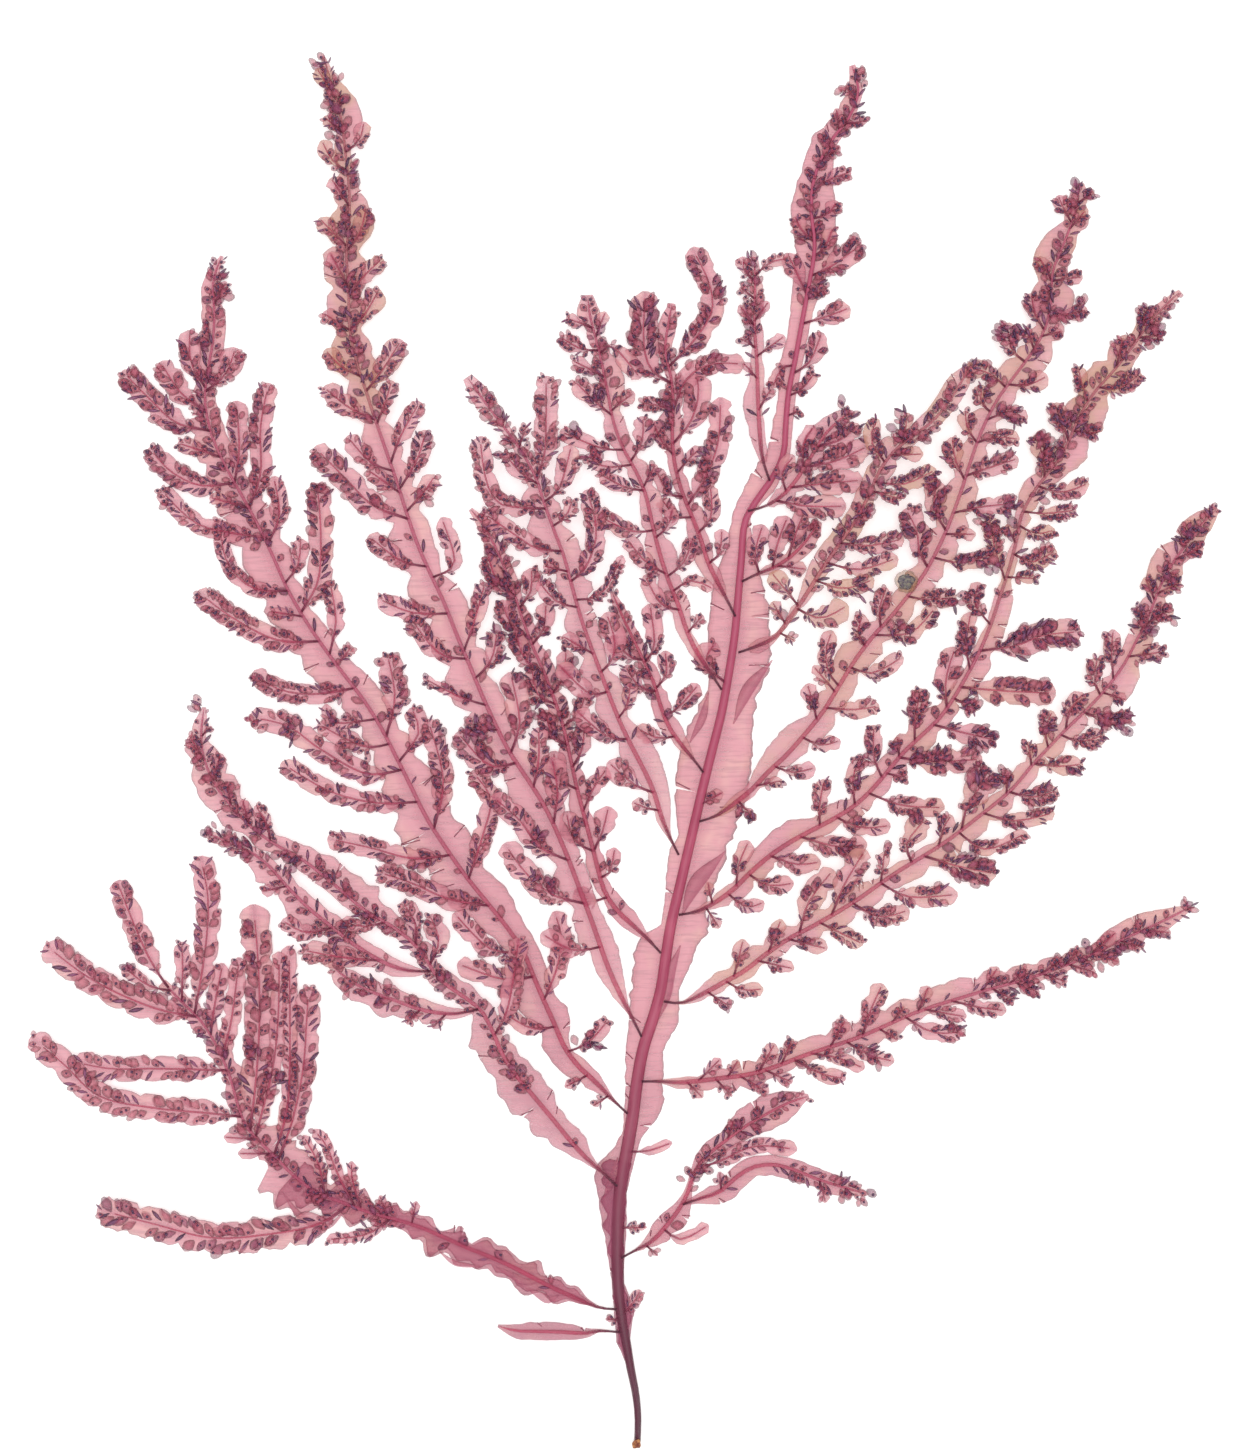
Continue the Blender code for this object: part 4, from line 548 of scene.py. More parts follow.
leaf_mesh, fruit_mesh = leaf_template(), fruit_template()
leaflet_film = leaf_film("dried_leaflet_film")
folded_leaflet = folded_film("dried_folded_leaflet")
fruit_wall = fruit_skin("dried_fruit_wall")

# A frond: its midrib and wings, and on them its side shoots. Each shoot has a thread for a
# midrib and a narrow round-ended sheet, under rows of leaflets that crowd it from edge to edge.
WING_ROWS = 8             # faces across a wing's sheet,
SHOOT_ROWS = 6            # a shoot's
FOLD_ROWS = 4             # and a fold's
SHOOT_LIFT = 0.95         # a shoot's sheet lies this far over the underside of its frond,
SHOOT_STAGGER = 0.14      # and every second one this much higher
SHOOT_STATIONS = 8        # places along a shoot where the height of its frond is read
ROOT_CLIMB = 1.6          # length over which a shoot climbs out of the wing
FULLNESS = 1.2            # widths of the shoots, with the leaflets along their edges
SHOOT_NECK = (0.8, 2.6)   # length of a shoot's bare neck,
NECK_SHARE = 0.2          # at most this share of the shoot
SHOOT_FRAY = 0.14         # how far a shoot's edge strays from its width
LOBE_LENGTH = 4.6         # between two cuts in a shoot's edge
LOBE_CUT = 0.3            # depth of such a cut against the shoot's half width,
LOBE_SHARP = 14           # how narrow it is
LOBE_OFFSET = 0.37        # and how far the right edge's cuts lie from the left edge's
SIDES_APART = 9.0         # the two edges read the noise this far apart, so they differ
TWIG_HALF = 0.2           # half width of a shoot's midrib
TWIG_LIFT = 0.25
LEAF_SPACING = 1.1
LEAF_UNEVEN = (0.6, 1.3)  # against that spacing
LEAF_LENGTH = (1.3, 3.0)
LEAF_FIT = (0.75, 1.15)   # a leaflet's length against its shoot's half width
LEAF_SLIM = (0.55, 0.9)
LEAF_LIFT = 0.28          # a shoot's leaflets root this far over its sheet,
LEAF_PILE = 0.26          # and up to this much higher
FIRST_LEAF = (0.2, 1.2)   # from the end of the neck to the first leaflet
LAST_LEAF = 0.4           # from the last leaflet to the shoot's end, without a clear tip
ROW_SPREAD = (0.35, 0.75)  # how far out from a shoot's rib its leaflets root, on few and on many
SECOND_ROW = 0.3          # and those of a second row
LEAF_ANGLE = (24.0, 58.0)
LEAF_PITCH = 4.0          # a leaflet's tip lies up to this many degrees out of level,
LEAF_ROLL = 16.0          # and its edges up to this many
TONE_BIAS = 1.5           # over 1, more leaflets are pale than dark
FOLDED_SHARE = 0.27       # leaflets that dried folded, so narrow and dark
FOLDED_SLIM = 0.3
FRUIT_SHARE = 0.65
SECOND_FRUIT = 0.3        # how often a leaflet bears a second one, against the first
FRUIT_RADIUS = (0.19, 0.29)
FRUIT_RISE = 0.24
FRUIT_PLACE = (0.35, 0.75)  # along the leaflet
FRUIT_OFF = 0.2           # from its middle, against its width
FRUIT_LIFT = 0.2
BARE_SHARE = 0.1          # places along a shoot's edge where leaflets are missing,
BARE_RUN = 2.5            # over this length
SHOOT_SHADE = (-0.45, 0.25)  # one shoot's leaflets are paler or darker than another's
RIB_HALF = (0.2, 0.44)    # half width of a frond's midrib, at its tip and where it is thickest
RIB_TALL = 0.42
RIB_LIFT = 0.7
NECK_HALF = 0.2           # half width of the thin neck by which a frond joins the main blade
NECK_RUN = 9.0
NECK_OVER = 0.3           # its dark thread lies this far over the midrib
HOLDFAST_HALF = 0.55      # half width of the stalk where it leaves the holdfast
STALK_RUN = 42.0          # length over which it reaches its full width
PALE_RUN = 75.0           # a midrib pales over this length, past the part that is old and dark
ARM_LIFT = 0.05           # a frond's second and third arm lie this far over the first
EDGE_LEAST = 0.12         # width of wing that even a bare stalk keeps
CLEAR_RUN = (0.8, 1.8)    # a clear tip starts this many half widths of the shoot before its end
TEAR_SPACING = 8.0
TEAR_REACH = (0.1, 0.95)  # tears lie between these shares of a frond's length
TEAR_DEPTHS = (0.25, 0.5, 0.5, 0.75)  # where a tear ends, against the half width
TEAR_WIDTH = (0.1, 0.4)
CRACK_HALF = 0.09         # half width of the dark crease at which a wing tears
CRACK_AGE = 0.6
CRACK_SLANT = 0.5         # its two ends lie this far along the frond from the tear, out and in
BROWN_RUN = 8.0           # length over which a brown part begins and ends
DEEP_FROM = 12.0          # a wing is darkest up to this length,
DEEP_RUN = 70.0           # and takes this length to pale
DOUBLE_FROM = 2.0         # where a second sheet starts, past the first
DOUBLE_SIZE = 2.0         # length of one lobe of its rim
FOLD_LIFT = 0.3           # second sheets and folds lie this far over the wing
FOLD_AGE = 0.4
OLD_RUN = 60.0            # up to this length along a frond its shoots are older, and
OLD_CLEAR = 0.85          # more of them end in a clear round tip,
OLD_BARE = 0.35           # and they bear fewer leaflets
BARE_FOOT = 8.0           # no leaflets on a frond's own midrib up to this length
LEAF_GAP = 9.0            # between leaflets on a frond's own midrib, low down
CROWD_GAP = 1.5           # and where they crowd it, towards its tip
RIB_LEAF = (1.3, 2.4)     # length of those leaflets,
RIB_LEAF_LIFT = 0.75      # and how far over the wing they root
TUFT_COUNT = (3, 5)
TUFT_REACH = 1.0
TUFT_RISE = 0.35
TUFT_TURN = 0.9
TUFT_LENGTH = (1.3, 2.2)
TUFT_SHADE = 0.15
TUFT_FRUITS = 0.25
TUFT_SHARE = 0.12         # of the leaflets of a crowded rib or shoot, those that are whole tufts


def leaf_out(parts, place, heading, length, slim, chance, shade=0.0, fruitful=FRUIT_SHARE):
    """One leaflet rooted at the place, with its fruit if it bears one."""
    folded = chance.random() < FOLDED_SHARE
    turn = (Matrix.Translation(place) @ Matrix.Rotation(heading, 4, "Z")
            @ Matrix.Rotation(math.radians(chance.uniform(-LEAF_PITCH, LEAF_PITCH)), 4, "Y")
            @ Matrix.Rotation(math.radians(chance.uniform(-LEAF_ROLL, LEAF_ROLL)), 4, "X"))
    tone = shade + chance.random() ** TONE_BIAS
    wide = length * (FOLDED_SLIM if folded else slim)
    stamp(parts["leaflets"], leaf_mesh, turn @ Matrix.Diagonal((length, wide, LEAF_THICK, 1.0)), tone,
          int(folded))
    bearing = 0 if folded else (chance.random() < fruitful) + (chance.random() < fruitful * SECOND_FRUIT)
    for _ in range(bearing):
        radius = chance.uniform(*FRUIT_RADIUS)
        seat = Matrix.Translation((length * chance.uniform(*FRUIT_PLACE),
                                   wide * chance.uniform(-FRUIT_OFF, FRUIT_OFF), FRUIT_LIFT))
        stamp(parts["fruits"], fruit_mesh,
              turn @ seat @ Matrix.Diagonal((radius, radius, FRUIT_RISE, 1.0)), tone)


def tuft(parts, place, heading, chance):
    """Young leaflets that dried bunched together: several at one spot, all ways, dark."""
    for _ in range(chance.randint(*TUFT_COUNT)):
        x, y = (chance.uniform(-TUFT_REACH, TUFT_REACH) for _ in range(2))
        leaf_out(parts, (place[0] + x, place[1] + y, place[2] + chance.uniform(0.0, TUFT_RISE)),
                 heading + chance.uniform(-TUFT_TURN, TUFT_TURN), chance.uniform(*TUFT_LENGTH),
                 chance.uniform(*LEAF_SLIM), chance, TUFT_SHADE, TUFT_FRUITS)


def grow_shoot(parts, arm, height, numbers, index, chance, clear, leafy, browned):
    """One side shoot of an arm, added to the frond's sheets, cords, leaflets and fruits. Its last
    number is its width, less than nothing where it bears no leaflets."""
    points = [tuple(numbers[i:i + 2]) for i in range(0, len(numbers) - 1, 2)]
    points[0] = tuple(arm.at(arm.nearest(*points[0]))[0][:2])
    route = Route(points)
    half = 0.5 * abs(numbers[-1]) * FULLNESS
    total = route.total
    lift = SHOOT_LIFT + SHOOT_STAGGER * (index % 2)
    stations = [height(arm.nearest(*route.at(total * k / SHOOT_STATIONS)[0]))
                for k in range(SHOOT_STATIONS + 1)]

    def low(s):
        """Underside of the shoot's sheet at length s, without the ground's waves."""
        k = min(SHOOT_STATIONS - 1, int(SHOOT_STATIONS * s / total))
        t = min(1.0, SHOOT_STATIONS * s / total - k)
        return (stations[k] + (stations[k + 1] - stations[k]) * t + SHEET_LIFT
                + (lift - SHEET_LIFT) * smooth(s / ROOT_CLIMB))

    neck = min(chance.uniform(*SHOOT_NECK), NECK_SHARE * total)
    shift = chance.uniform(0.0, LOBE_LENGTH)

    def outline(s):
        """Half width of the shoot: a thin neck, then a long body with a round end."""
        body = half * (0.12 + 0.88 * smooth((s - neck) / (1.6 * half + 1.0)))
        left = min(1.0, (total - s) / (0.9 * half) + 0.02)
        return body * math.sqrt(max(0.0, 1.0 - (1.0 - left) ** 2))

    def film(s):
        """The same to the left and to the right, with its cuts and frays."""
        edges = []
        for k in (0, 1):
            at = s + shift + LOBE_OFFSET * k * LOBE_LENGTH
            cut = abs(math.cos(math.pi * at / LOBE_LENGTH)) ** LOBE_SHARP
            fray = noise.noise(Vector((s / FRAY_SIZE, k * SIDES_APART, index)))
            edges.append(outline(s) * (1.0 - LOBE_CUT * cut + SHOOT_FRAY * fray))
        return edges

    def twig(s):
        """Half width and half height of the shoot's midrib."""
        return TWIG_HALF * (1.0 - 0.5 * s / total), TWIG_HALF * (0.9 - 0.5 * s / total)

    shade = chance.uniform(*SHOOT_SHADE)
    spread = ROW_SPREAD[0] + (ROW_SPREAD[1] - ROW_SPREAD[0]) * min(1.0, max(0.0, leafy - 1.0))
    tufted = TUFT_SHARE * max(0.0, chance.uniform(-1.0, 1.0)) * leafy
    clear_run = chance.uniform(*CLEAR_RUN) * half if chance.random() < clear else LAST_LEAF
    add_to(parts["sheets"], thicken(lay_strip(
        route, film, low, 0.0, total, SHOOT_ROWS, brown=lambda s: browned,
        age=lambda s: 0.7 * (1.0 - smooth((s - neck) / 4.0)))))
    add_to(parts["cords"], lay_cord(
        route, twig, lambda s: low(s) + TWIG_LIFT, 0.0, total * 0.93, dense=neck + 1.0,
        age=lambda s: 0.9 - 0.8 * smooth(s / (neck + 3.0))))
    for side in (1, -1) if numbers[-1] > 0 else ():
        s = neck + chance.uniform(*FIRST_LEAF)
        while s < total - clear_run:
            wide = outline(min(s + 0.8, total))
            angle = math.radians(chance.uniform(*LEAF_ANGLE))
            length = min(LEAF_LENGTH[1], max(LEAF_LENGTH[0], wide * chance.uniform(*LEAF_FIT)))
            here, run, left = route.at(s)
            heading = math.atan2(run.y, run.x) + side * angle
            for reach in (spread, SECOND_ROW)[:1 + (chance.random() < leafy - 1.0)]:
                row = side * chance.uniform(0.0, reach) * wide
                x, y = here[0] + left.x * row, here[1] + left.y * row
                up = low(s) + ground_wave(x, y) + LEAF_LIFT + chance.uniform(0.0, LEAF_PILE)
                leaf_out(parts, (x, y, up), heading, length, chance.uniform(*LEAF_SLIM), chance, shade)
            if chance.random() < tufted:
                tuft(parts, (x, y, up), heading, chance)
            bare = BARE_RUN if chance.random() < BARE_SHARE else 0.0
            s += LEAF_SPACING / leafy * chance.uniform(*LEAF_UNEVEN) + bare


def grow(name, layer, over, arms, gap=STALK_GAP, land=None, clear=0.15, leafy=1.0, crowded=0.6,
         ragged=0.0, brown=(0, 0, 0), tan=0.0, widths=None, foot=RIB_HALF[1], slot="pink_membrane",
         lobed=0.45, stalk=9.0, deep=0.15, double=0, folds=()):
    """One frond of the plant, in four pieces that together stand for its solid.

    An arm has a rib, whose points are x, y and the widths of the wing to its left and right, and
    shoots, each a line of x, y and then its width. Past the length over the frond climbs or sinks
    to its own layer, and between the shares of its length in land it comes down to the floor. Its
    wings start at the length gap. leafy and crowded say how many leaflets it bears and from where
    they crowd its rib; clear is the share of shoots with a clear tip. brown is a brown part's
    start, end and strength, and tan how tan it is all over. foot is the rib's half width low down,
    stalk the length up to which it is dark, and deep how dark the wings are low down. lobed and
    ragged shape the rim, or widths gives it. A second sheet covers the wings up to the length
    double, and folds are the large folded places.
    """
    chance = random.Random(name)
    parts = {kind: bmesh.new() for kind in ("sheets", "cords", "leaflets", "fruits")}
    main = name == "main_axis"
    first = Route(arms[0]["rib"])
    for number, arm in enumerate(arms):
        route = Route(arm["rib"])
        fork = first.nearest(*arm["rib"][0][:2]) if number else 0.0
        start = 0.0 if number or main else gap
        roots = {1: [start], -1: [start]}
        for numbers in arm["shoots"]:
            root = route.nearest(*numbers[:2])
            here, run, left = route.at(root)
            side = 1 if (numbers[-3] - here[0]) * left.x + (numbers[-2] - here[1]) * left.y > 0 else -1
            roots[side].append(root)
        roots = {side: sorted(places) + [route.total + 2.0] for side, places in roots.items()}

        def height(s):
            """Underside of the arm, without the ground's waves."""
            return frond_height(fork + s, first.total, layer, over, land) + (ARM_LIFT if number else 0.0)

        def lobe(s, side):
            """The wing against its width: full between two shoots and drawn in where one roots."""
            places = roots[side]
            k = min(max(bisect.bisect_right(places, s), 1), len(places) - 1)
            share = (s - places[k - 1]) / max(places[k] - places[k - 1], 0.1)
            return 1.1 - lobed * (1.0 - min(1.0, 1.5 * math.sin(math.pi * min(1.0, max(0.0, share)))))

        def wings(s):
            """Widths of the wing to the left and right, with its frays."""
            numbers = route.at(s)
            pair = widths(*numbers) if widths else [wide * lobe(s, side)
                                                    for wide, side in zip(numbers[0][2:], (1, -1))]
            return [max(EDGE_LEAST, wide * (
                1.0 + FRAY * noise.noise(Vector((s / FRAY_SIZE, k * SIDES_APART, layer)))
                + ragged * noise.noise(Vector((s / RAGGED_SIZE, k * SIDES_APART, layer)))))
                    for k, wide in enumerate(pair)]

        count = int((route.total - start) / TEAR_SPACING)
        tears = [(start + (route.total - start) * chance.uniform(*TEAR_REACH), chance.choice((1, -1)),
                  chance.choice(TEAR_DEPTHS), chance.uniform(*TEAR_WIDTH)) for _ in range(count)]
        for s, side, depth, opening in tears:
            here, run, left = route.at(s)
            wide = wings(s)[0 if side > 0 else 1] * side
            ends = ((1.0, CRACK_SLANT), (max(0.1, depth - 0.3), -CRACK_SLANT))
            crack = Route([(here[0] + left.x * wide * share + run.x * slant,
                            here[1] + left.y * wide * share + run.y * slant) for share, slant in ends])
            level = height(s) + SHEET_LIFT + SHEET
            add_to(parts["cords"], lay_cord(
                crack, lambda t: (CRACK_HALF, CRACK_HALF * 0.6), lambda t: level, 0.0,
                abs(wide) * 0.5 + 0.3, lambda t: CRACK_AGE))

        def browned(s):
            """How brown the frond is at length s."""
            return brown[2] * smooth((s - brown[0]) / BROWN_RUN) * (1 - smooth((s - brown[1]) / BROWN_RUN))

        add_to(parts["sheets"], thicken(lay_strip(
            route, wings, lambda s: height(s) + SHEET_LIFT, start, route.total, WING_ROWS, tears,
            lambda s: tan + browned(s),
            lambda s: deep * (1.0 - smooth((fork + s - DEEP_FROM) / DEEP_RUN)))))

        if double and not number:
            def second(s):
                """Widths of the second sheet, which covers the wing unevenly."""
                return [wide * (0.75 + 0.5 * noise.noise(Vector((s / DOUBLE_SIZE, k * 7.0, 3.0 + layer))))
                        for k, wide in enumerate(wings(s))]

            add_to(parts["sheets"], thicken(lay_strip(
                route, second, lambda s: height(s) + SHEET_LIFT + FOLD_LIFT, start + DOUBLE_FROM,
                double, WING_ROWS, age=lambda s: deep)))

        for *points, wide in folds:
            fold = Route([tuple(points[i:i + 2]) for i in range(0, len(points), 2)])
            level = height(route.nearest(*points[:2])) + SHEET_LIFT + FOLD_LIFT

            def flap(s):
                """Widths of a fold, which lies to the left of its line, or right if less than 0."""
                swell = math.sin(math.pi * min(1.0, s / fold.total)) ** 1.3
                return [0.1 + max(0.0, sign * wide) * swell for sign in (1, -1)]

            add_to(parts["sheets"], thicken(lay_strip(
                fold, flap, lambda s: level, 0.0, fold.total, FOLD_ROWS, age=lambda s: FOLD_AGE)))

        neck_half, neck_run = (HOLDFAST_HALF, STALK_RUN) if main else (NECK_HALF, NECK_RUN)

        def cord(s):
            """Half width and half height of the midrib."""
            half = RIB_HALF[0] + (foot - RIB_HALF[0]) * (1.0 - s / route.total)
            half = neck_half + (half - neck_half) * smooth(s / neck_run)
            ends = smooth((route.total - s) / 4 + 0.2)
            return half * ends, min(RIB_TALL, half) * ends

        def thread(s):
            """The same of the dark thread in a frond's neck."""
            return NECK_HALF * (1.0 - s / NECK_RUN), NECK_HALF * (1.0 - s / NECK_RUN)

        def age(s):
            """1 where the midrib is old and dark, and below 0 where it has paled."""
            return 1.0 - smooth((fork + s) / stalk) - smooth((fork + s - 1.05 * stalk) / PALE_RUN)

        add_to(parts["cords"], lay_cord(route, cord, lambda s: height(s) + RIB_LIFT, 0.2,
                                        route.total - 0.3, age, browned, math.inf if main else 0.0))
        if not main:
            add_to(parts["cords"], lay_cord(
                route, thread, lambda s: height(s) + RIB_LIFT + NECK_OVER, 0.2, NECK_RUN - 0.5,
                lambda s: 1.0 - smooth(s / NECK_RUN)))
        for index, numbers in enumerate(arm["shoots"]):
            root = route.nearest(*numbers[:2])
            old = 1.0 - smooth((fork + root) / OLD_RUN)
            grow_shoot(parts, route, height, numbers, index, chance, max(clear, OLD_CLEAR * old),
                       leafy * (1.0 - OLD_BARE * old), tan + browned(root))
        for side in (1, -1):
            s = max(start + BARE_FOOT, crowded * route.total * (1.0 if main else 0.4))
            while arm["shoots"] and s < route.total - 0.6:
                here, run, left = route.at(s)
                heading = math.atan2(run.y, run.x) + side * math.radians(chance.uniform(*LEAF_ANGLE))
                off = side * chance.uniform(0.1, 0.5)
                place = (here[0] + left.x * off, here[1] + left.y * off,
                         height(s) + ground_wave(*here[:2]) + RIB_LEAF_LIFT + chance.uniform(0.0, 0.3))
                near_tip = 0.6 + 0.4 * smooth((route.total - s) / 8.0)
                leaf_out(parts, place, heading, near_tip * chance.uniform(*RIB_LEAF),
                         chance.uniform(*LEAF_SLIM), chance, 0.1)
                thick = smooth((s / route.total - crowded) / 0.1)
                if chance.random() < TUFT_SHARE * 1.5 * thick:
                    tuft(parts, place, heading, chance)
                s += (LEAF_GAP + (CROWD_GAP - LEAF_GAP) * thick) * chance.uniform(0.4, 1.6)
    pieces = [finish_mesh(name + "_film", parts["sheets"], membrane),
              finish_mesh(name + "_cords", parts["cords"], rib_skin, stalk_skin)]
    if parts["leaflets"].verts:
        pieces.append(finish_mesh(name + "_leaflets", parts["leaflets"], leaflet_film, folded_leaflet))
        pieces.append(finish_mesh(name + "_fruits", parts["fruits"], fruit_wall))
    for piece, finish in zip(pieces, (slot, "maroon_stalk", slot, "maroon_stalk")):
        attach(piece, "root")
        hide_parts(name)


# The main blade: the holdfast, a bare dark stalk and the broad wings that follow it, torn and
# cut back where the lateral fronds left it. It narrows to a slim leafy tip at the top.
# Rims of the wings: y, and x of the left and of the right rim there.
MAIN_RIMS = (
    (-118, 1.9, 2.3), (-109, 1.5, 2), (-105, .6, 1.4), (-100, -1.5, .9), (-95, -1.9, 1.6),
    (-90, -2.3, -.3), (-85, -3, 0), (-80, -4, .3), (-75, -4.8, .3), (-72, -5.5, 1), (-68, -2.2, 2),
    (-65, -.4, 3), (-62, -.3, 5.5), (-60, 0, 6.5), (-50, 0, 6.7), (-45, .3, 9.5), (-40, 1, 9.3),
    (-35, 1.5, 11.5), (-32, 2.6, 12.5), (-30, 6, 14.5), (-25, 6.7, 14), (-20, 7, 16),
    (-17, 7.5, 17.7), (-15, 9, 17.5), (-10, 8.3, 20), (-5, 8.3, 21.5), (0, 9.3, 22), (5, 11.5, 22),
    (10, 14, 22.5), (15, 14, 24.8), (20, 14, 24.7), (25, 14.5, 24.5), (30, 15.5, 23),
    (35, 17.5, 21.5), (40, 18, 21.4), (43, 19, 24), (45, 20, 26), (50, 24, 28), (60, 26, 29),
    (65, 26, 30), (70, 27.5, 31), (75, 28, 32), (85, 29, 36), (92, 28, 35.8), (97, 29.5, 35.5),
    (103, 31, 36), (107, 35, 39), (112, 38, 40.5), (117, 38, 39))
MAIN_FOOT = 1.3        # half width of the midrib low on the plant
MAIN_FOLDS = ((18.4, 4.6, 20.6, 8.2, 22.6, 11.4, 25, 15.4, 1.9),
              (9.6, -28, 12, -24.5, 14.6, -21, 17, -17, 2.4),
              (5.4, -46, 7.6, -42, 8.4, -38, 9.4, -33, 2.0), (11, 1.4, 12.4, 5.4, 14.2, 10, -1.2),
              (-3.6, -76, -2.8, -72.5, -1.2, -69, -1.4))


def main_wings(here, run, left):
    """Widths of the main wings, from where their rims stand to the left and right of the midrib."""
    x, y = here[:2]
    for (y0, *low), (y1, *high) in zip(MAIN_RIMS, MAIN_RIMS[1:]):
        if y0 <= y <= y1:
            t = (y - y0) / (y1 - y0)
            rims = [a + (b - a) * t for a, b in zip(low, high)]
            return max(0.1, (x - rims[0]) * run.y), max(0.1, (rims[1] - x) * run.y)
    return 0.1, 0.1


grow("main_axis", layer=0, over=0, arms=[dict(
    rib=[(2.1, -117.4, .5, .5), (2.2, -113, .5, .5), (1.8, -109, .5, .5), (1, -105, .6, .5),
         (.3, -101, 1.8, .6), (-.5, -96.5, .8, .7), (-1.1, -91, 1, .9), (-1.3, -84, 1.8, 1),
         (-1.1, -78, 3, 1.2), (-.6, -73, 4.5, 1.5), (.3, -68, 2.8, 1.8), (1.3, -62, 1.4, 4),
         (2, -56.5, 1, 4.6), (3.1, -50.5, 3, 3.8), (4.9, -45, 4.4, 4.4), (6.2, -40, 5, 3.4),
         (7, -34.5, 4.6, 4.8), (7.9, -29, 1.6, 6.4), (9.2, -23.5, 2.4, 5.6), (10.6, -17.5, 2.5, 6.8),
         (12, -11.5, 3.2, 6), (13.4, -5.5, 5, 7.8), (14.9, .5, 5.2, 7.2), (16.4, 6.5, 4.2, 5.6),
         (17.6, 13, 3.7, 6), (18.6, 19.5, 4.6, 5.8), (19.2, 26, 4.6, 5), (19.8, 33, 2.8, 2.2),
         (20.3, 38.6, 2.2, .9), (22.2, 42.3, 3, 1), (25, 46.3, 2.2, 1.5), (26.9, 50.4, 2, 1.8),
         (27.3, 55.5, 1.6, 1.6), (27.8, 61, 1.5, 1.5), (29, 67, 1.8, 1.6), (30, 72.5, 2.3, 1.2),
         (31.2, 79, 1.2, 1.5), (32.2, 85.5, 2.4, 2), (31.6, 92, 3.4, 2.4), (32.2, 97.5, 2.9, 2),
         (34.6, 103, 2.2, 1), (38, 107.5, 1.6, 1.2), (39.6, 112, .9, 1), (38.5, 116.4, .3, .3)],
    shoots=[(-.6, -96.8, -3.3, -96.4, 1.5), (27.4, 57, 29.9, 57.7, 1.6),
            (-1.2, -80.7, 3.7, -80.8, .9), (39, 110.5, 37.2, 112.8, 1.8),
            (12, 12.6, 13.6, 15, 15.4, 18.4, 3.4), (14.4, -9.6, 16.6, -7, 2.2),
            (.3, -68, 4, -67.8, 8, -66.4, -1.5), (-.6, -95.8, 1.4, -93.6, 2.6, -91.4, 1.8),
            (27.8, 60.2, 30, 61.3, 32.2, 64.2, 2), (28.6, 64, 31.3, 66, 33.4, 71, 3),
            (30.4, 72.6, 34, 73.6, 38.2, 75.2, 3.2), (31, 76.4, 34.3, 78.6, 1.8),
            (31.6, 80.4, 35, 82.2, 40.2, 86, 3.4), (32.1, 84, 34, 85.6, 35.2, 88.6, 2.4),
            (31.8, 90.5, 34.4, 91, 36, 93.3, 3), (32, 94.6, 34.5, 96.8, 38.3, 98.2, 2.4),
            (33.4, 100.3, 36.5, 102.6, 1.8), (37, 106.4, 41, 106.8, 2), (36.2, 105.6, 35.8, 109, 2),
            (28.8, 65.6, 26.5, 64.8, 25, 61.5, 2.2), (31.1, 77.5, 29.4, 80.5, 27.6, 84.4, 2.8),
            (32.1, 86.4, 30.2, 88, 28.8, 90.6, 2.6)])],
     widths=main_wings, foot=MAIN_FOOT, clear=0.1, stalk=92.0, deep=0.9, double=48.0,
     slot="maroon_stalk", leafy=1.3, crowded=0.76,
     folds=MAIN_FOLDS)

# The holdfast, the small disc of felted threads by which the plant stood on its rock. It came
# off with the plant and dried at the stalk's end, crumbly and tan where the stalk is maroon.
HOLDFAST_AT = (2.1, -117.6, 1.0)
HOLDFAST_SIZE = (1.5, 1.3, 1.5)
HOLDFAST_LUMP = 0.5
HOLDFAST_ROUGH = 0.7   # how far its lumps stand out, against its size
HOLDFAST_TAN = "#c88a58"
# colour of the gaps between the threads: painted shade
HOLDFAST_GAP_SHADE = "#7c3c30"


def felted_threads(name):
    """Dried threads: dull tan, with painted shade in the gaps between them, darker where its lumps sink,
    and a rough broken surface.
    """
    material, tree = start_material(name)
    place = add_node(tree, "TexCoord").outputs["Object"]
    lump = add_node(tree, "TexNoise", {"Vector": place, "Scale": 1 / (HOLDFAST_LUMP * MM), "Detail": 4.0})
    # painted shade: darker in the low places of the same noise that makes the bump, between the threads
    gap = add_node(tree, "MapRange", {0: lump.outputs["Fac"], 1: 0.4, 2: 0.62})
    tan = add_node(tree, "Mix", {"Factor": gap.outputs[0], "A": linear(HOLDFAST_GAP_SHADE),
                                 "B": linear(HOLDFAST_TAN)}, data_type="RGBA")
    bump = add_node(tree, "Bump", {"Height": lump.outputs["Fac"], "Strength": 0.7, "Distance": 0.2 * MM})
    shader = add_node(tree, "BsdfPrincipled", {"Base Color": tan.outputs["Result"], "Roughness": 0.85,
                                               "Normal": bump.outputs[0]})
    add_node(tree, "OutputMaterial", {"Surface": shader.outputs["BSDF"]})
    return material


holdfast = bmesh.new()
bmesh.ops.create_icosphere(holdfast, subdivisions=3, radius=0.5)
bmesh.ops.scale(holdfast, verts=holdfast.verts, vec=Vector(HOLDFAST_SIZE))
for vert in holdfast.verts:
    vert.co *= 1.0 + HOLDFAST_ROUGH * noise.noise(vert.co / HOLDFAST_LUMP)
bmesh.ops.translate(holdfast, verts=holdfast.verts, vec=Vector(HOLDFAST_AT))
holdfast = finish_mesh("main_axis_holdfast", holdfast, felted_threads("dried_holdfast_threads"))
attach(holdfast, "root")
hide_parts("main_axis")


# First left frond: one small plain leaf low on the stalk, with no shoots. It grew from the
# stalk's edge on a thread of its own midrib.
grow("frond_left_01", layer=0, over=1, arms=[dict(
    rib=[(-.6, -98.5, .3, .3), (-4, -98.3, .3, .3), (-7, -98.8, .9, .9), (-11, -98.6, 1.3, 1.4),
         (-15, -98.5, 1.4, 1.4), (-18.5, -98.4, 1.2, 1), (-21.6, -97.6, .3, .3)],
    shoots=[])], deep=0.6)

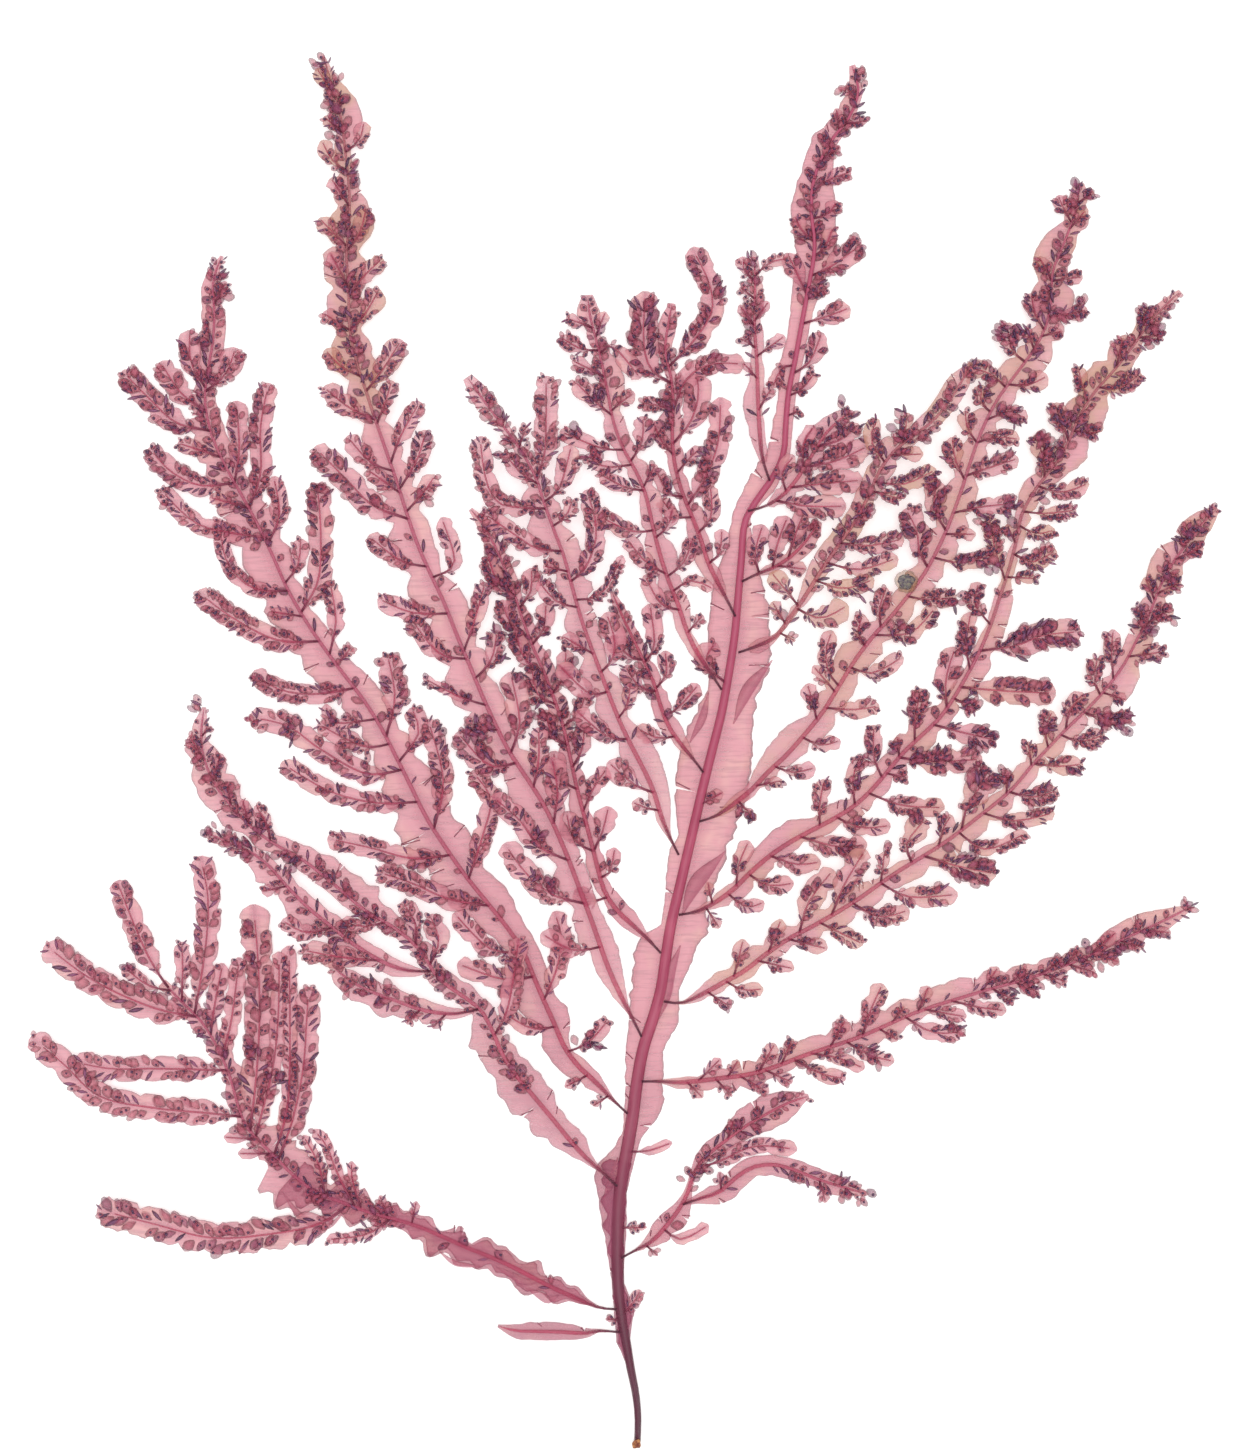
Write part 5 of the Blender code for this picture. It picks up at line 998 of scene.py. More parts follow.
# Second left frond: the lowest of the long ones. Its midrib runs out almost level, then turns
# up and ends in a fan of long leafy shoots.
FROND_2_FOLDS = ((-21.9, -87.5, -19.4, -89.4, -17.1, -90.7, -13.3, -89.7, 1.2),
                 (-58.1, -74.7, -56, -78.5, -53.3, -80.6, -50.1, -80.9, -47.5, -77.9, 1.1),
                 (-31.5, -84.9, -28.8, -87.3, -24.5, -87.5, .7),
                 (-16.5, -91.3, -13.3, -93.7, -11.2, -92.3, 1.3))
grow("frond_left_02", layer=0, over=1.5, arms=[dict(
    rib=[(-1.2, -94.6, .3, .3), (-4.6, -94.3, .3, .3), (-8, -93, .8, 1.2), (-11.6, -91.4, 1.8, 2),
         (-15.2, -89.6, 2.6, 1.8), (-19, -87.6, 2.4, 1.8), (-23, -85.8, 2, 2.2), (-27, -84.2, 3, 2),
         (-31, -82.4, 2.8, 1.4), (-34.8, -80.8, 2.6, 2.4), (-38.6, -79.6, 1.6, 1.8),
         (-43, -78.4, 1.8, 2.4), (-47.4, -76.8, 3, 3.2), (-52, -75, 4.4, 3.8), (-56, -72.2, 5, 4),
         (-59.2, -69, 2.4, 4), (-62, -66.2, 1.4, 2.6), (-64.4, -63.4, 1.2, 1.6),
         (-65.8, -59.6, 1.4, 1.6), (-67, -55.4, 1.2, 2.2), (-69, -50.6, 1.4, 2.4), (-71.8, -46, 1.6, 2),
         (-75.2, -42.6, 1.6, 1.4), (-78.4, -39.2, .6, .6)],
    shoots=[(-36, -80.4, -35.4, -76.4, 1.4), (-40, -79.2, -41.6, -75.4, 1.4),
            (-46.6, -77.2, -52, -80.2, -60, -81.8, -70, -82.4, -80, -80, -89.4, -77.6, 4.6),
            (-65, -62.2, -70, -61.4, -80, -60.4, -89, -58.4, -95, -53, -100.6, -48.4, 3.8),
            (-67.4, -54.2, -72, -54, -80, -53.8, -87, -53.8, -93.4, -52.6, 3.6),
            (-72.6, -45.2, -79, -43.8, -86, -41, -92, -37.6, -98.2, -32.8, 4.2),
            (-77.6, -40, -80.4, -35.6, -83, -30, -86.2, -22, 3.4),
            (-77, -40.8, -81, -39.6, -85.2, -36.4, 2), (-75.4, -42.4, -75, -37, -75.2, -32.4, 2.4),
            (-73.2, -44.6, -71.8, -38, -70.8, -30, -70.8, -24, -72, -17.8, 3.6),
            (-70.4, -48, -69.4, -42, -68.2, -36, 2.6), (-68.6, -51.6, -66.8, -46, -65.4, -35, 2.6),
            (-63.6, -64.4, -62.6, -56, -62, -46, -62.2, -36, -63, -26, 4.4),
            (-62.6, -65.4, -59.8, -54, -58.8, -45, -58.6, -34, 2.4),
            (-58.8, -69.4, -56.4, -62.6, -54.6, -54, -54, -46, -53.6, -40, 3.8),
            (-59.6, -68.6, -57.2, -60, -56.8, -46, -57, -33, 2.2),
            (-51, -75.3, -52, -70, -54.6, -65.2, 1.4),
            (-45.6, -77.4, -48.6, -72, -50.6, -67, -52.8, -64.2, 1.8),
            (-44.4, -77.8, -46.2, -73, -46.4, -69.6, 1.4), (-39.6, -79.4, -44, -82, -50.6, -82.8, 1.6),
            (-60, -68.4, -65.6, -68.2, -1.6), (-62.2, -66, -68, -65.4, -1.6)])],
     leafy=0.8, crowded=0.3, lobed=0.3, ragged=1.0, deep=0.5, double=60.0,
     folds=FROND_2_FOLDS)

# Third left frond: a bent midrib with two side branches, each winged like the frond itself
# and lying just over it. Its far end is broad and crowded with short leafy shoots.
grow("frond_left_03", layer=1, over=4, arms=[dict(
    rib=[(-1.2, -73.9, .3, .3), (-3.4, -71.8, .3, .3), (-6.2, -69.3, 1, 1), (-9.2, -66, 2.4, 2.2),
         (-12.3, -62.2, 3.2, 1.6), (-15.3, -58.6, 4, 3), (-18, -55.4, 3.6, 3), (-20.6, -51.6, 3.4, 2.4),
         (-22.3, -47.6, 3.6, 2), (-24.4, -43.8, 1.8, 1.8), (-28, -41, 1.4, 1.8), (-31.6, -38.3, 1.4, 2),
         (-33.8, -34.8, 1.4, 2), (-36.4, -31.8, 1.6, 2), (-40, -29.2, 2, 2), (-43.8, -27, 1.8, 3.2),
         (-47.4, -24, 1.6, 3.4), (-51, -21, 1.6, 3), (-55, -18, 1.6, 2.4), (-59.4, -15.6, 1.6, 2),
         (-63.4, -12.6, 2, 2), (-66.6, -9.2, 3, 2.6), (-69.4, -5.4, 3.6, 3.4), (-71.2, -1, 3.4, 2.4),
         (-71.6, 3, 1.6, 1), (-71.1, 7.4, .4, .4)],
    shoots=[(-71.5, 2.6, -69.8, 4.2, 1.4),
            (-22.2, -48.4, -20, -44, -18.8, -38, -18, -31.6, 3),
            (-33, -36, -31.4, -32, -33, -27.6, 3.4), (-35.4, -32.8, -35.4, -29, -37.6, -25.4, 2.8),
            (-60, -15, -60.6, -12, -62.4, -9.2, 2.4), (-63.4, -12.6, -64.6, -8.2, 1.8),
            (-66.4, -9.4, -67.2, -5.8, 2.4), (-69.6, -5, -68.2, -.4, 2.4), (-71, -1.4, -73.6, 2.6, 2.4),
            (-40.5, -29, -44.5, -29.6, -48, -28.6, 2)]),
    dict(rib=[(-32.6, -37.2, .3, .3), (-37, -37, 1.2, 1.2), (-41.4, -35.4, 2, 1.6),
              (-45.6, -32.8, 2.8, 1.6), (-49.4, -29.8, 3, 1.8), (-53.4, -26.6, 3, 1.8),
              (-57.2, -22.8, 3, 1.4), (-60.4, -19.2, 2.6, 1.2), (-64.2, -16.6, 1.4, 1),
              (-71, -13.8, .8, .8)],
         shoots=[(-41.5, -35.4, -48, -34.8, -54.6, -33.6, 3.4),
                 (-49.2, -30, -54, -30.6, -58, -28.6, 2.6), (-57.4, -22.6, -61.4, -23.8, 2.4)]),
    dict(rib=[(-24.6, -43.6, .3, .3), (-29, -44.4, 1, 1), (-34, -43.8, 2.2, 1.6),
              (-38.6, -42.2, 2.6, 1.8), (-43, -40.6, 2.6, 1.8), (-47, -38.4, 2, 1.6),
              (-50, -35.8, .6, .6)],
         shoots=[(-30, -44.4, -32.5, -46.8, 2.2), (-34.6, -43.6, -37, -46, 2.2)])],
     leafy=1.05, crowded=0.12, ragged=0.4, lobed=0.4, deep=0.35)

# Fourth left frond: broad and very long, leaning far out, with a leafy shoot at every few
# millimetres on both sides up to its narrow tip.
grow("frond_left_04", layer=0, over=1, arms=[dict(
    rib=[(.6, -61.6, .3, .3), (-2, -59.2, .3, .3), (-5.2, -56, 1.6, 1.2), (-8, -53.4, 2.4, 1.4),
         (-10.3, -50.2, 3, 1), (-12, -46.3, 3.2, 2.6), (-13.8, -42.3, 4, 2.6), (-15.5, -38.3, 3.2, 2.4),
         (-17.2, -34.2, 2.6, 2.4), (-19.8, -30.2, 2.6, 2.6), (-23.4, -25.7, 4.4, 3.8),
         (-27, -21.2, 4.8, 4), (-30.4, -16.4, 5.6, 4.4), (-33.6, -11.4, 5.2, 4.4),
         (-36.4, -5.8, 4.6, 4), (-39, -.6, 3.6, 3.4), (-41.5, 4.2, 3.2, 3), (-44.6, 9, 3.4, 3),
         (-48, 13.4, 4, 2.6), (-51.4, 18, 4.6, 2.2), (-54.6, 22.8, 4.8, 2), (-57.4, 27.8, 4.8, 2.2),
         (-59.7, 33, 4.8, 2.8), (-62.2, 38.2, 5, 3), (-64.8, 43, 4.6, 3), (-67.6, 48, 3.4, 2.6),
         (-69.9, 53, 3.4, 2.2), (-71.2, 58.4, 2.4, 2), (-71, 63.6, 2, 2), (-70, 69, 1.8, 1.8),
         (-69.7, 74.5, 2, 1.8), (-69.9, 79.5, 1.6, .8), (-68.4, 84, .3, .3)],
    shoots=[(-2.8, -58.6, -5.4, -60.2, 1.2),
            (-6.4, -55, -10.2, -57, 1.6), (-12, -46.8, -16, -47, -20.4, -44.4, 2.4),
            (-15.6, -38.2, -21, -38.6, -28.4, -36, 3.2), (-17.4, -34, -23, -33.4, -29, -27.4, 3),
            (-23.2, -26.2, -30, -25, -36, -22.4, -42, -20.4, 3.2),
            (-29.6, -17.6, -36, -18.2, -43, -16.4, -50.4, -14.8, 3),
            (-35.2, -8.4, -42, -8.8, -50, -6.8, -58.2, -2, 3),
            (-37.6, -3.4, -44, -3.8, -52, .6, -57, 4.2, -63.6, 5.8, 3.4),
            (-40.2, 1.2, -44.4, .8, -52, 4.6, 2.8), (-43, 5, -49.4, 4.8, -50.6, 8, 1.6),
            (-46.2, 10.6, -53, 9.6, -59, 10.6, -63, 13.4, 3),
            (-52, 18.8, -59, 18.8, -66.5, 22.6, -72.4, 27, 3.4), (-54.8, 23, -60, 23.6, 1.6),
            (-57, 27.2, -63, 27.6, -67.4, 32, -68.8, 39.4, 2.4),
            (-61.4, 36.4, -67, 37, -73, 38.8, -78.8, 44.4, 2.8), (-63.8, 41.2, -70.4, 43, 2),
            (-66.2, 45.2, -72, 45, -77, 47.4, -80.6, 51.4, 3.4), (-68.4, 49.6, -75.8, 52.2, 2.4),
            (-70.3, 54.4, -76, 55.6, -80.5, 59.6, -85.2, 64.4, 3.6),
            (-71.2, 58, -75.2, 60.6, -78.8, 66, 3.6), (-71.2, 61.5, -73.6, 66, -73.8, 71.4, 3.2),
            (-9.8, -50.8, -6.2, -49.4, -2.8, -45.6, 2.4),
            (-13.6, -42.4, -11.6, -37, -10.8, -31.6, -12, -27.2, 3),
            (-26.8, -21.6, -24, -14, -22.8, -8, -26, -3.4, 3), (-32.6, -13, -30.8, -5, -33.4, 5.4, 3.2),
            (-38.4, -1.6, -35, 3, -36.2, 7.4, 3), (-40.4, 2.4, -39, 9, -40.3, 16.5, 3.8),
            (-48.6, 14.4, -46.2, 17.8, 2.4), (-50, 16.2, -49, 22, -50, 28.6, 2.6),
            (-55, 23.6, -52, 29, -51.6, 37, -52.2, 45.4, 3.6), (-57.8, 28.6, -55.4, 31.6, -55, 36, 2.6),
            (-60.6, 35, -58.6, 40, -59.6, 46.6, 2.8),
            (-63.9, 41.4, -61.8, 47, -61.8, 55, -60.4, 62.4, 3.2),
            (-66.4, 45.6, -65.4, 51.5, -66, 59.4, 3.2), (-70.8, 61, -67.8, 63.8, -66, 68.4, 3.6),
            (-69.8, 76, -67.6, 79.6, 1.6)])], leafy=1.15, lobed=0.3, deep=0.25)

# Fifth left frond: the tallest of all. It lies over its neighbours low down and comes to
# rest on the floor higher up.
grow("frond_left_05", layer=1, over=2, land=(.66, .74), arms=[dict(
    rib=[(2.9, -48.6, .3, .3), (1, -44.8, .3, .3), (-1, -40.8, 1.2, 1.2), (-2.9, -36.5, 2, 2.2),
         (-4.5, -32, 3, 2.4), (-6.1, -27.5, 2.8, 1.8), (-7.8, -23, 3, 2), (-9.5, -18.5, 3.4, 2.2),
         (-11.6, -13.5, 4, 2.6), (-13.8, -9, 4.2, 3), (-16.6, -4.6, 4, 3), (-19.4, -.4, 4.4, 2.6),
         (-21.8, 4.2, 4.4, 2.8), (-24, 9, 4.5, 3), (-26.2, 14.3, 4.6, 3.2), (-28.4, 19.5, 4.4, 3.4),
         (-30.8, 25.5, 4.4, 3.2), (-33.2, 30.6, 4.4, 2.4), (-35.3, 35.5, 4.4, 2.6), (-37, 40.5, 3.6, 3),
         (-38.6, 45.5, 3.2, 3), (-40.3, 50.5, 3, 2.6), (-42.2, 56, 3, 2.2), (-44, 61.5, 3, 2.4),
         (-45.6, 66.5, 3.4, 2.8), (-46.7, 72, 3.2, 2.6), (-46.8, 78, 3.6, 2.8), (-47.2, 84, 3.6, 3),
         (-46.7, 90, 3, 3.8), (-46.8, 96, 2.2, 1.4), (-47.4, 101.5, 1.6, 1.4), (-48, 106.5, 1.6, 3.2),
         (-48.9, 110.5, 1.4, 2.6), (-50, 114, 1.2, 1), (-51.2, 117.9, .3, .3)],
    shoots=[(-21.8, 3.6, -26.6, 3.4, 1.4),
            (-4.5, -33.4, -9, -33.6, -14.2, -30.8, 2.8),
            (-7, -25.8, -12, -24.4, -16.6, -20.8, -20.4, -15.6, 3.6),
            (-9.6, -18.3, -14.4, -16.2, -18, -11.5, -22.6, -7.6, 3.2),
            (-18.5, -2, -23, -2.4, -28.4, 3.2, 4), (-23.6, 7.8, -28, 9.2, -34.2, 12.4, 1.4),
            (-27, 15.6, -31.5, 16.6, -36.4, 22.6, 3), (-30.6, 23.2, -36, 23.4, -41.8, 25.8, 3),
            (-33.6, 31, -38, 32.2, -43.4, 36.4, 3),
            (-36.8, 39.2, -42.5, 41.4, -46.8, 45.6, -52.5, 51.4, 3.8), (-38, 43.4, -43.6, 47.6, 2.4),
            (-39.4, 47.2, -43, 48.8, -47, 53.2, 2.8), (-42.4, 55.8, -46.6, 58, -51, 61.6, 3.2),
            (-44.8, 63, -48, 65, -50.8, 68, 2.8), (-46.6, 71, -51.2, 74.2, 2.8),
            (-47, 79, -50, 84.4, 2.6), (-47.2, 85.4, -51.8, 90.2, 2.8), (-46.8, 92, -49.8, 97, 3),
            (-47.1, 98.4, -49.5, 100, -51.4, 103.4, 2.6), (-47.8, 104.6, -51, 107.4, 2.4),
            (-49, 110.6, -52.2, 115.6, 2.4), (-12.2, -12.4, -11.4, -7, -12.4, -1, 3.6),
            (-15.6, -6, -14.6, -1.5, -14.6, 4, 2.8), (-19.6, -.2, -17.8, 5, -19.4, 13.4, 3.8),
            (-25.2, 12, -22.6, 15.4, -21.6, 20.4, 2.6), (-27.4, 17, -25.6, 21.5, -23.6, 28.6, 2.6),
            (-32.6, 29, -28.8, 31.8, -31, 39.5, 2.6), (-37, 40.4, -34.4, 43.2, -32, 46.6, 2.8),
            (-38.2, 44, -35.2, 49, -33.6, 54.2, 3), (-39.6, 48.4, -37.8, 53.4, -34.6, 59, 2.8),
            (-42, 55.4, -40.6, 58.6, -39.4, 62.6, 2.8), (-43.8, 60.6, -41.2, 64, -37.8, 69.6, 3.4),
            (-46.6, 71.6, -44, 74, -41.6, 78.2, 3.4), (-46.8, 77.6, -44.2, 80.4, -41, 83.4, 2.8),
            (-47, 84.4, -45, 87.4, -43.8, 91.8, 3), (-47.3, 101.2, -45, 103.4, -44.2, 106.6, 2.8)])],
     leafy=1.15, brown=(110, 260, 0.4))

# Sixth left frond: narrow and crowded with leaflets, between the tall one and the main blade.
# Its thin midrib joins the main one, and its wings are hidden under the leaflets.
grow("frond_left_06", layer=0, over=1.5, arms=[dict(
    rib=[(6.2, -34.4, .3, .3), (3.8, -31.8, .5, .5), (1, -29.3, 1.2, 1.6), (-1.4, -27, 1.2, 1.8),
         (-3.4, -24, 1.2, 1.6), (-4.6, -20, 1.6, 1.4), (-5.6, -16, 2, 1.4), (-6.8, -11.5, 2, 1.4),
         (-8.1, -6.5, 2, 1.6), (-9.2, -1.5, 2, 1.6), (-10.3, 3.5, 2.2, 1.6), (-11.9, 8.5, 2, 1.8),
         (-13.7, 13.3, 2, 1.8), (-15.8, 18, 2, 1.6), (-17.4, 22.5, 2, 1.4), (-18.9, 27, 2.2, 1.4),
         (-20.4, 31, 2, 1.2), (-22.2, 35, 1.6, 1), (-24, 38.3, 1, 1), (-26.2, 41, .4, .4)],
    shoots=[(-4.4, -21.5, -2.6, -20.6, -1.7, -16.4, 2.2), (-5.2, -17.2, -3.8, -13.6, -2.8, -9.4, 3.6),
            (-7.2, -10, -5.4, -6.4, -3, -2.8, 2.6), (-9, -2.5, -7.2, .5, -7, 4.4, 2.8),
            (-10.4, 4, -8, 6.3, -6.6, 9.8, 2.4), (-12.4, 10, -10.4, 12.8, -10, 17.2, 2.6),
            (-15.8, 18, -13.8, 20.8, -13.4, 25.2, 2.8), (-17.8, 24, -16, 27, -15.8, 31, 3),
            (-3, -24.6, -6, -25.4, -8.4, -23.4, 2.8), (-5.4, -17, -8.6, -15, -10, -10.2, 3),
            (-8.1, -6.5, -11, -4.6, -12.2, 0, 3.2), (-9.8, 1, -12.4, 2.8, -13.6, 7, 2.8),
            (-11.7, 8, -14.8, 9.6, -15.8, 14, 2.8), (-13.8, 13.6, -17, 15.6, -18.6, 20.4, 2.8),
            (-16.2, 19, -19.2, 21.2, -21, 25.6, 2.8), (-18.7, 26.4, -21.6, 28.4, -23.2, 33, 2.6)])],
     leafy=1.6, crowded=0.3, clear=0.0)

# Seventh left frond: it crosses the others on top of them, then ends in a thin bare stalk.
# Its film is worn away there, and only the midrib is left.
grow("frond_left_07", layer=2, over=1, arms=[dict(
    rib=[(9.2, -17.8, .3, .3), (7.6, -14.6, .4, .4), (6.1, -11, 1, 1.6), (4.9, -7, 1.4, 2.4),
         (3.2, -3.2, 1.8, 3), (1, 1, 2.6, 3), (-.9, 5, 2.6, 2.4), (-2.7, 9.5, 3, 2.6),
         (-4.3, 13.8, 3, 2), (-5.9, 18, 2.6, 2), (-7.6, 23, 2.8, 2.4), (-9, 28, 2.4, 3.2),
         (-10.2, 32.5, 3.2, 3), (-12, 37.3, 3.8, 2.4), (-13.7, 42, 3.4, 2.2), (-15, 46, 2.4, 1.8),
         (-17.5, 50.6, 1, 1), (-20.4, 54.6, .8, .8), (-23.4, 58.5, 1.6, 1.6), (-26.6, 63, 1, 1)],
    shoots=[(5.8, -10.2, 3.6, -9.6, 1.2, -8.6, 2.2), (4.9, -7, 1.5, -5.6, -2.9, -1.8, 3.4),
            (.4, 2.2, -3.2, 2.6, -8.2, 6.8, 3), (-2.9, 9.8, -6.2, 9.8, -11.2, 14.6, 3),
            (-5.4, 16.6, -10.6, 19.4, 2.4), (-8, 24.2, -11.5, 25.2, -14.6, 28.6, 2.6),
            (-9.6, 30, -13.8, 31.2, 2.2), (-10.6, 33.7, -15, 34.2, -18.5, 36.4, -24, 40.2, 2.8),
            (-13.4, 41, -17.5, 41, -21.6, 42, -23.6, 46.5, -24.4, 53, 3),
            (-14.8, 45, -17.5, 46.8, -20.2, 50, 2.6), (-1, 5.3, .5, 8, .8, 11.4, 2.4),
            (-4.2, 13.2, -2.1, 15.6, -1.8, 19, -3.2, 23.4, 3.4), (-8.3, 25.4, -4, 26.5, -.4, 33, 1.6),
            (-9.3, 28.8, -6.6, 31, -4.9, 36, -5.4, 40.5, -6.6, 44, 3),
            (-12.2, 37.6, -10, 39.5, -8.8, 42.4, 2.2), (-13.8, 42, -11, 44.4, -9, 51.6, 3),
            (-15.1, 46.2, -13.6, 49.8, -13.3, 55, -13.3, 63.2, 3.4), (-17.8, 51, -16.6, 54.8, 1.8)])],
     leafy=1.3, clear=0.05)

# Eighth left frond: short and leafy, close to the main blade. It lies over the wing that
# it sprang from, and its own film is narrow.
grow("frond_left_08", layer=0, over=8.5, gap=3, arms=[dict(
    rib=[(13.4, -3.8, .3, .3), (11.6, -1.4, .4, .4), (9.6, 1, .8, 1.2), (7.4, 4.2, 1.4, 1.8),
         (6, 7.8, 1.4, 1.6), (4.9, 11.5, 1.4, 1.4), (3.3, 15, 1.4, 1.4), (1.4, 19, 1.2, 1.2),
         (-.5, 23, 1, 1), (-2.2, 27, .4, .4)],
    shoots=[(8.6, 2.4, 5.5, 2.2, 1.8, 4, 2.4), (5.3, 10, 2.3, 11, 0, 14.5, 3.2),
            (3.2, 15.3, .8, 16, -2.4, 19.5, 3.2), (6.6, 6.2, 9, 7.3, 12.5, 11.3, 2.6),
            (5.2, 10.4, 7, 13, 6.8, 17, 2.6), (3.4, 14.8, 5, 18, 4.2, 25, 2.8)])],
     leafy=1.6, crowded=0.3, clear=0.0)

# Ninth left frond: slender, beside the tip of the main blade. Its midrib is a thread, with
# short shoots of film along both sides.
grow("frond_left_09", layer=1, over=3, arms=[dict(
    rib=[(16.5, 10.2, .3, .3), (14.2, 13.7, .4, .4), (12, 17, 1, .8), (10.4, 20.5, 1.4, 1),
         (8.9, 25, 2.2, 1.8), (7.3, 29, 2, 2), (6, 33, 2, 2.6), (4.7, 38, 1.8, 1.8),
         (3.6, 43, 1.2, 2.4), (2, 47, 1.4, 2.2), (-.2, 51, 1.6, 1.8), (-1.9, 55.5, 1.8, 1.8),
         (-3, 61, 1.4, 2.8), (-3.9, 65.5, 1.2, 2.8), (-5, 70, 1.2, 1.2), (-6, 74, 2, 1.6),
         (-6.3, 77.2, .8, .8)],
    shoots=[(9.2, 23.8, 6, 25, 3.3, 29.8, 2.6), (6.9, 30.2, 3.5, 32, .2, 36, 2.6),
            (4.9, 37.3, 1, 37.2, -5, 40, 2.8), (3.2, 44.3, 0, 44.6, -4.3, 46.8, 2.4),
            (1, 48.6, -3, 48, -6.5, 49.4, 2), (-.4, 51.2, -4, 51.2, -11, 54, 2.4),
            (-2.4, 57, -5, 59, -8.6, 62.6, 2.8), (-3.5, 63.3, -8.9, 66, 2.4),
            (-4.7, 68, -7.5, 68, -11, 70, 2.6), (-5.4, 71.6, -10, 73.2, 2), (10.6, 19.8, 13.2, 23, 2),
            (8, 27, 11.3, 28.8, 15, 27.4, 1.8), (7.2, 29.4, 10, 32, 11.4, 36, 2.4),
            (5.2, 35.8, 7.2, 38, 8, 41, 2.4), (3.2, 44.5, 5.2, 48.5, 2.2),
            (.9, 49, 2.9, 52.4, 3, 56.6, 3.2), (-2.3, 57.5, -.6, 59, 1.6, 60.6, 2.6),
            (-4.4, 67.2, -2, 68.4, 2.6, 63, 2.8), (-5, 70, -3.3, 74.3, 2)])], leafy=1.3)

# Tenth left frond: forked at its tip into long curved shoots. It leaves the main midrib at a
# narrow angle and lies over its wing for the first part.
grow("frond_left_10", layer=0, over=13, gap=4.2, arms=[dict(
    rib=[(18.8, 22.6, .3, .3), (17.5, 25.2, .4, .4), (15.6, 28.8, 1.2, 1), (14, 32.2, 1.8, 1.2),
         (12.8, 36, 2, 1.4), (11.2, 40.2, 1.6, 2), (9.6, 44.2, 1, 1.4), (8.4, 49, 1.2, 1.6),
         (8, 54, 2.6, 1.6), (8.2, 59, 1.8, 1.6), (7.8, 63.5, 1, 1), (6.8, 68, 1, 1),
         (7.3, 72, 1.5, 1.3), (8, 76, .6, .6)],
    shoots=[(11.3, 39.5, 8.5, 39.8, 6.2, 42.8, 2.2), (10, 43.4, 7.2, 43.8, 5.2, 48, 2.2),
            (8.2, 50.5, 6.3, 52.5, 4.6, 56, 2.2), (8.2, 57.8, 5.7, 58.6, 2.8, 58.9, 2.4),
            (7.9, 62.5, 4.6, 64.5, 3.2, 69, 3.4, 78, 4.2), (14.2, 31.6, 16, 33.5, 16.4, 37.6, 2.4),
            (12.6, 36.8, 14.6, 39.8, 14.5, 45, 2.6),
            (10.8, 41.5, 13.6, 46.4, 15.8, 52.5, 16.2, 60, 3.4), (9, 47, 11.3, 50, 13, 51.5, 1.8),
            (8.3, 52, 11, 55.6, 12.4, 60, 12.2, 64, 3.8),
            (8.2, 58, 10.4, 63, 14.5, 65.6, 20.3, 65.6, 3),
            (7.6, 65.2, 11.5, 69.4, 14.7, 74.5, 14.2, 79.5, 11.3, 85.4, 3.4)])],
     leafy=1.5, crowded=0.5, clear=0.05)

# Eleventh left frond: thin and upright, next to the tip of the main blade. Its film is
# narrow, and its shoots are the smallest on this side.
grow("frond_left_11", layer=1, over=2, gap=3.4, arms=[dict(
    rib=[(24.6, 45.6, .3, .3), (23.3, 49.5, .8, 1), (22.8, 54, 1.6, .8), (22.5, 60, 2.4, 1),
         (22.3, 66, 1, 1.2), (21.9, 72, 1, 1.4), (22, 78, .8, 1.3), (21.9, 83.6, .5, .5)],
    shoots=[(22, 76.8, 19.4, 78.4, 1.8), (22.2, 68.2, 19.4, 69.8, 1.8),
            (22.6, 57.5, 24.8, 61.5, 2.4), (22.6, 62.8, 20, 65.6, 2),
            (22.1, 66.5, 24, 68, 27, 70.2, 2.4), (22, 72, 19.3, 75.4, 1.8), (21.9, 73, 24.3, 76, 2.2),
            (22, 79.4, 20.2, 81.2, 20, 83.6, 2.8), (21.9, 80.5, 24.5, 82.6, 27.5, 83.3, 1.8)])],
     leafy=1.2, crowded=0.3)

# First right frond: low on the stalk, with a second arm that grew from the first. Both are
# thin film on a thread of a midrib, and few leaflets are left on them.
grow("frond_right_01", layer=0, over=1, arms=[dict(
    rib=[(-.8, -86, .3, .3), (1.8, -84.6, .3, .3), (4.6, -83.2, 1.4, 1), (7.2, -80.4, 1.8, 2.4),
         (9.4, -77.4, 1, 1.8), (10.8, -74.6, .6, .6), (11.8, -71.4, .6, .6), (13.8, -68.8, 1.6, 1.2),
         (17, -66.2, 2.4, 1.6), (20.6, -63.6, 2.6, 2), (24.4, -61.4, 2.8, 2.6), (28, -59.6, 1.8, 2.2),
         (31.2, -58.6, .4, .4)],
    shoots=[(3.4, -83.8, 5.6, -85.6, 1),
            (6.6, -81.2, 9.6, -82.8, 14.2, -80.4, -1.8), (17.4, -66, 18.4, -62.6, 2),
            (12.2, -70.8, 16, -69.6, 22, -67, 29.2, -67.6, 2.4)]),
    dict(rib=[(9.6, -77, .3, .3), (12.6, -76, .8, 1), (16, -74.8, 1.6, 2), (18.8, -72.4, 1.8, 2),
              (21.8, -70.6, 1.6, 1.6), (25.4, -70.2, 1.4, 1.8), (29, -71.2, 1.6, 1.8),
              (33, -72.8, 1.6, 2), (37, -74, 1.4, 1.4), (41, -75.2, .4, .4)],
         shoots=[(16.4, -74.4, 16, -71.4, 1.8),
            (33.2, -73, 34, -76.6, 2)])], leafy=1.2, crowded=0.25, deep=0.3)

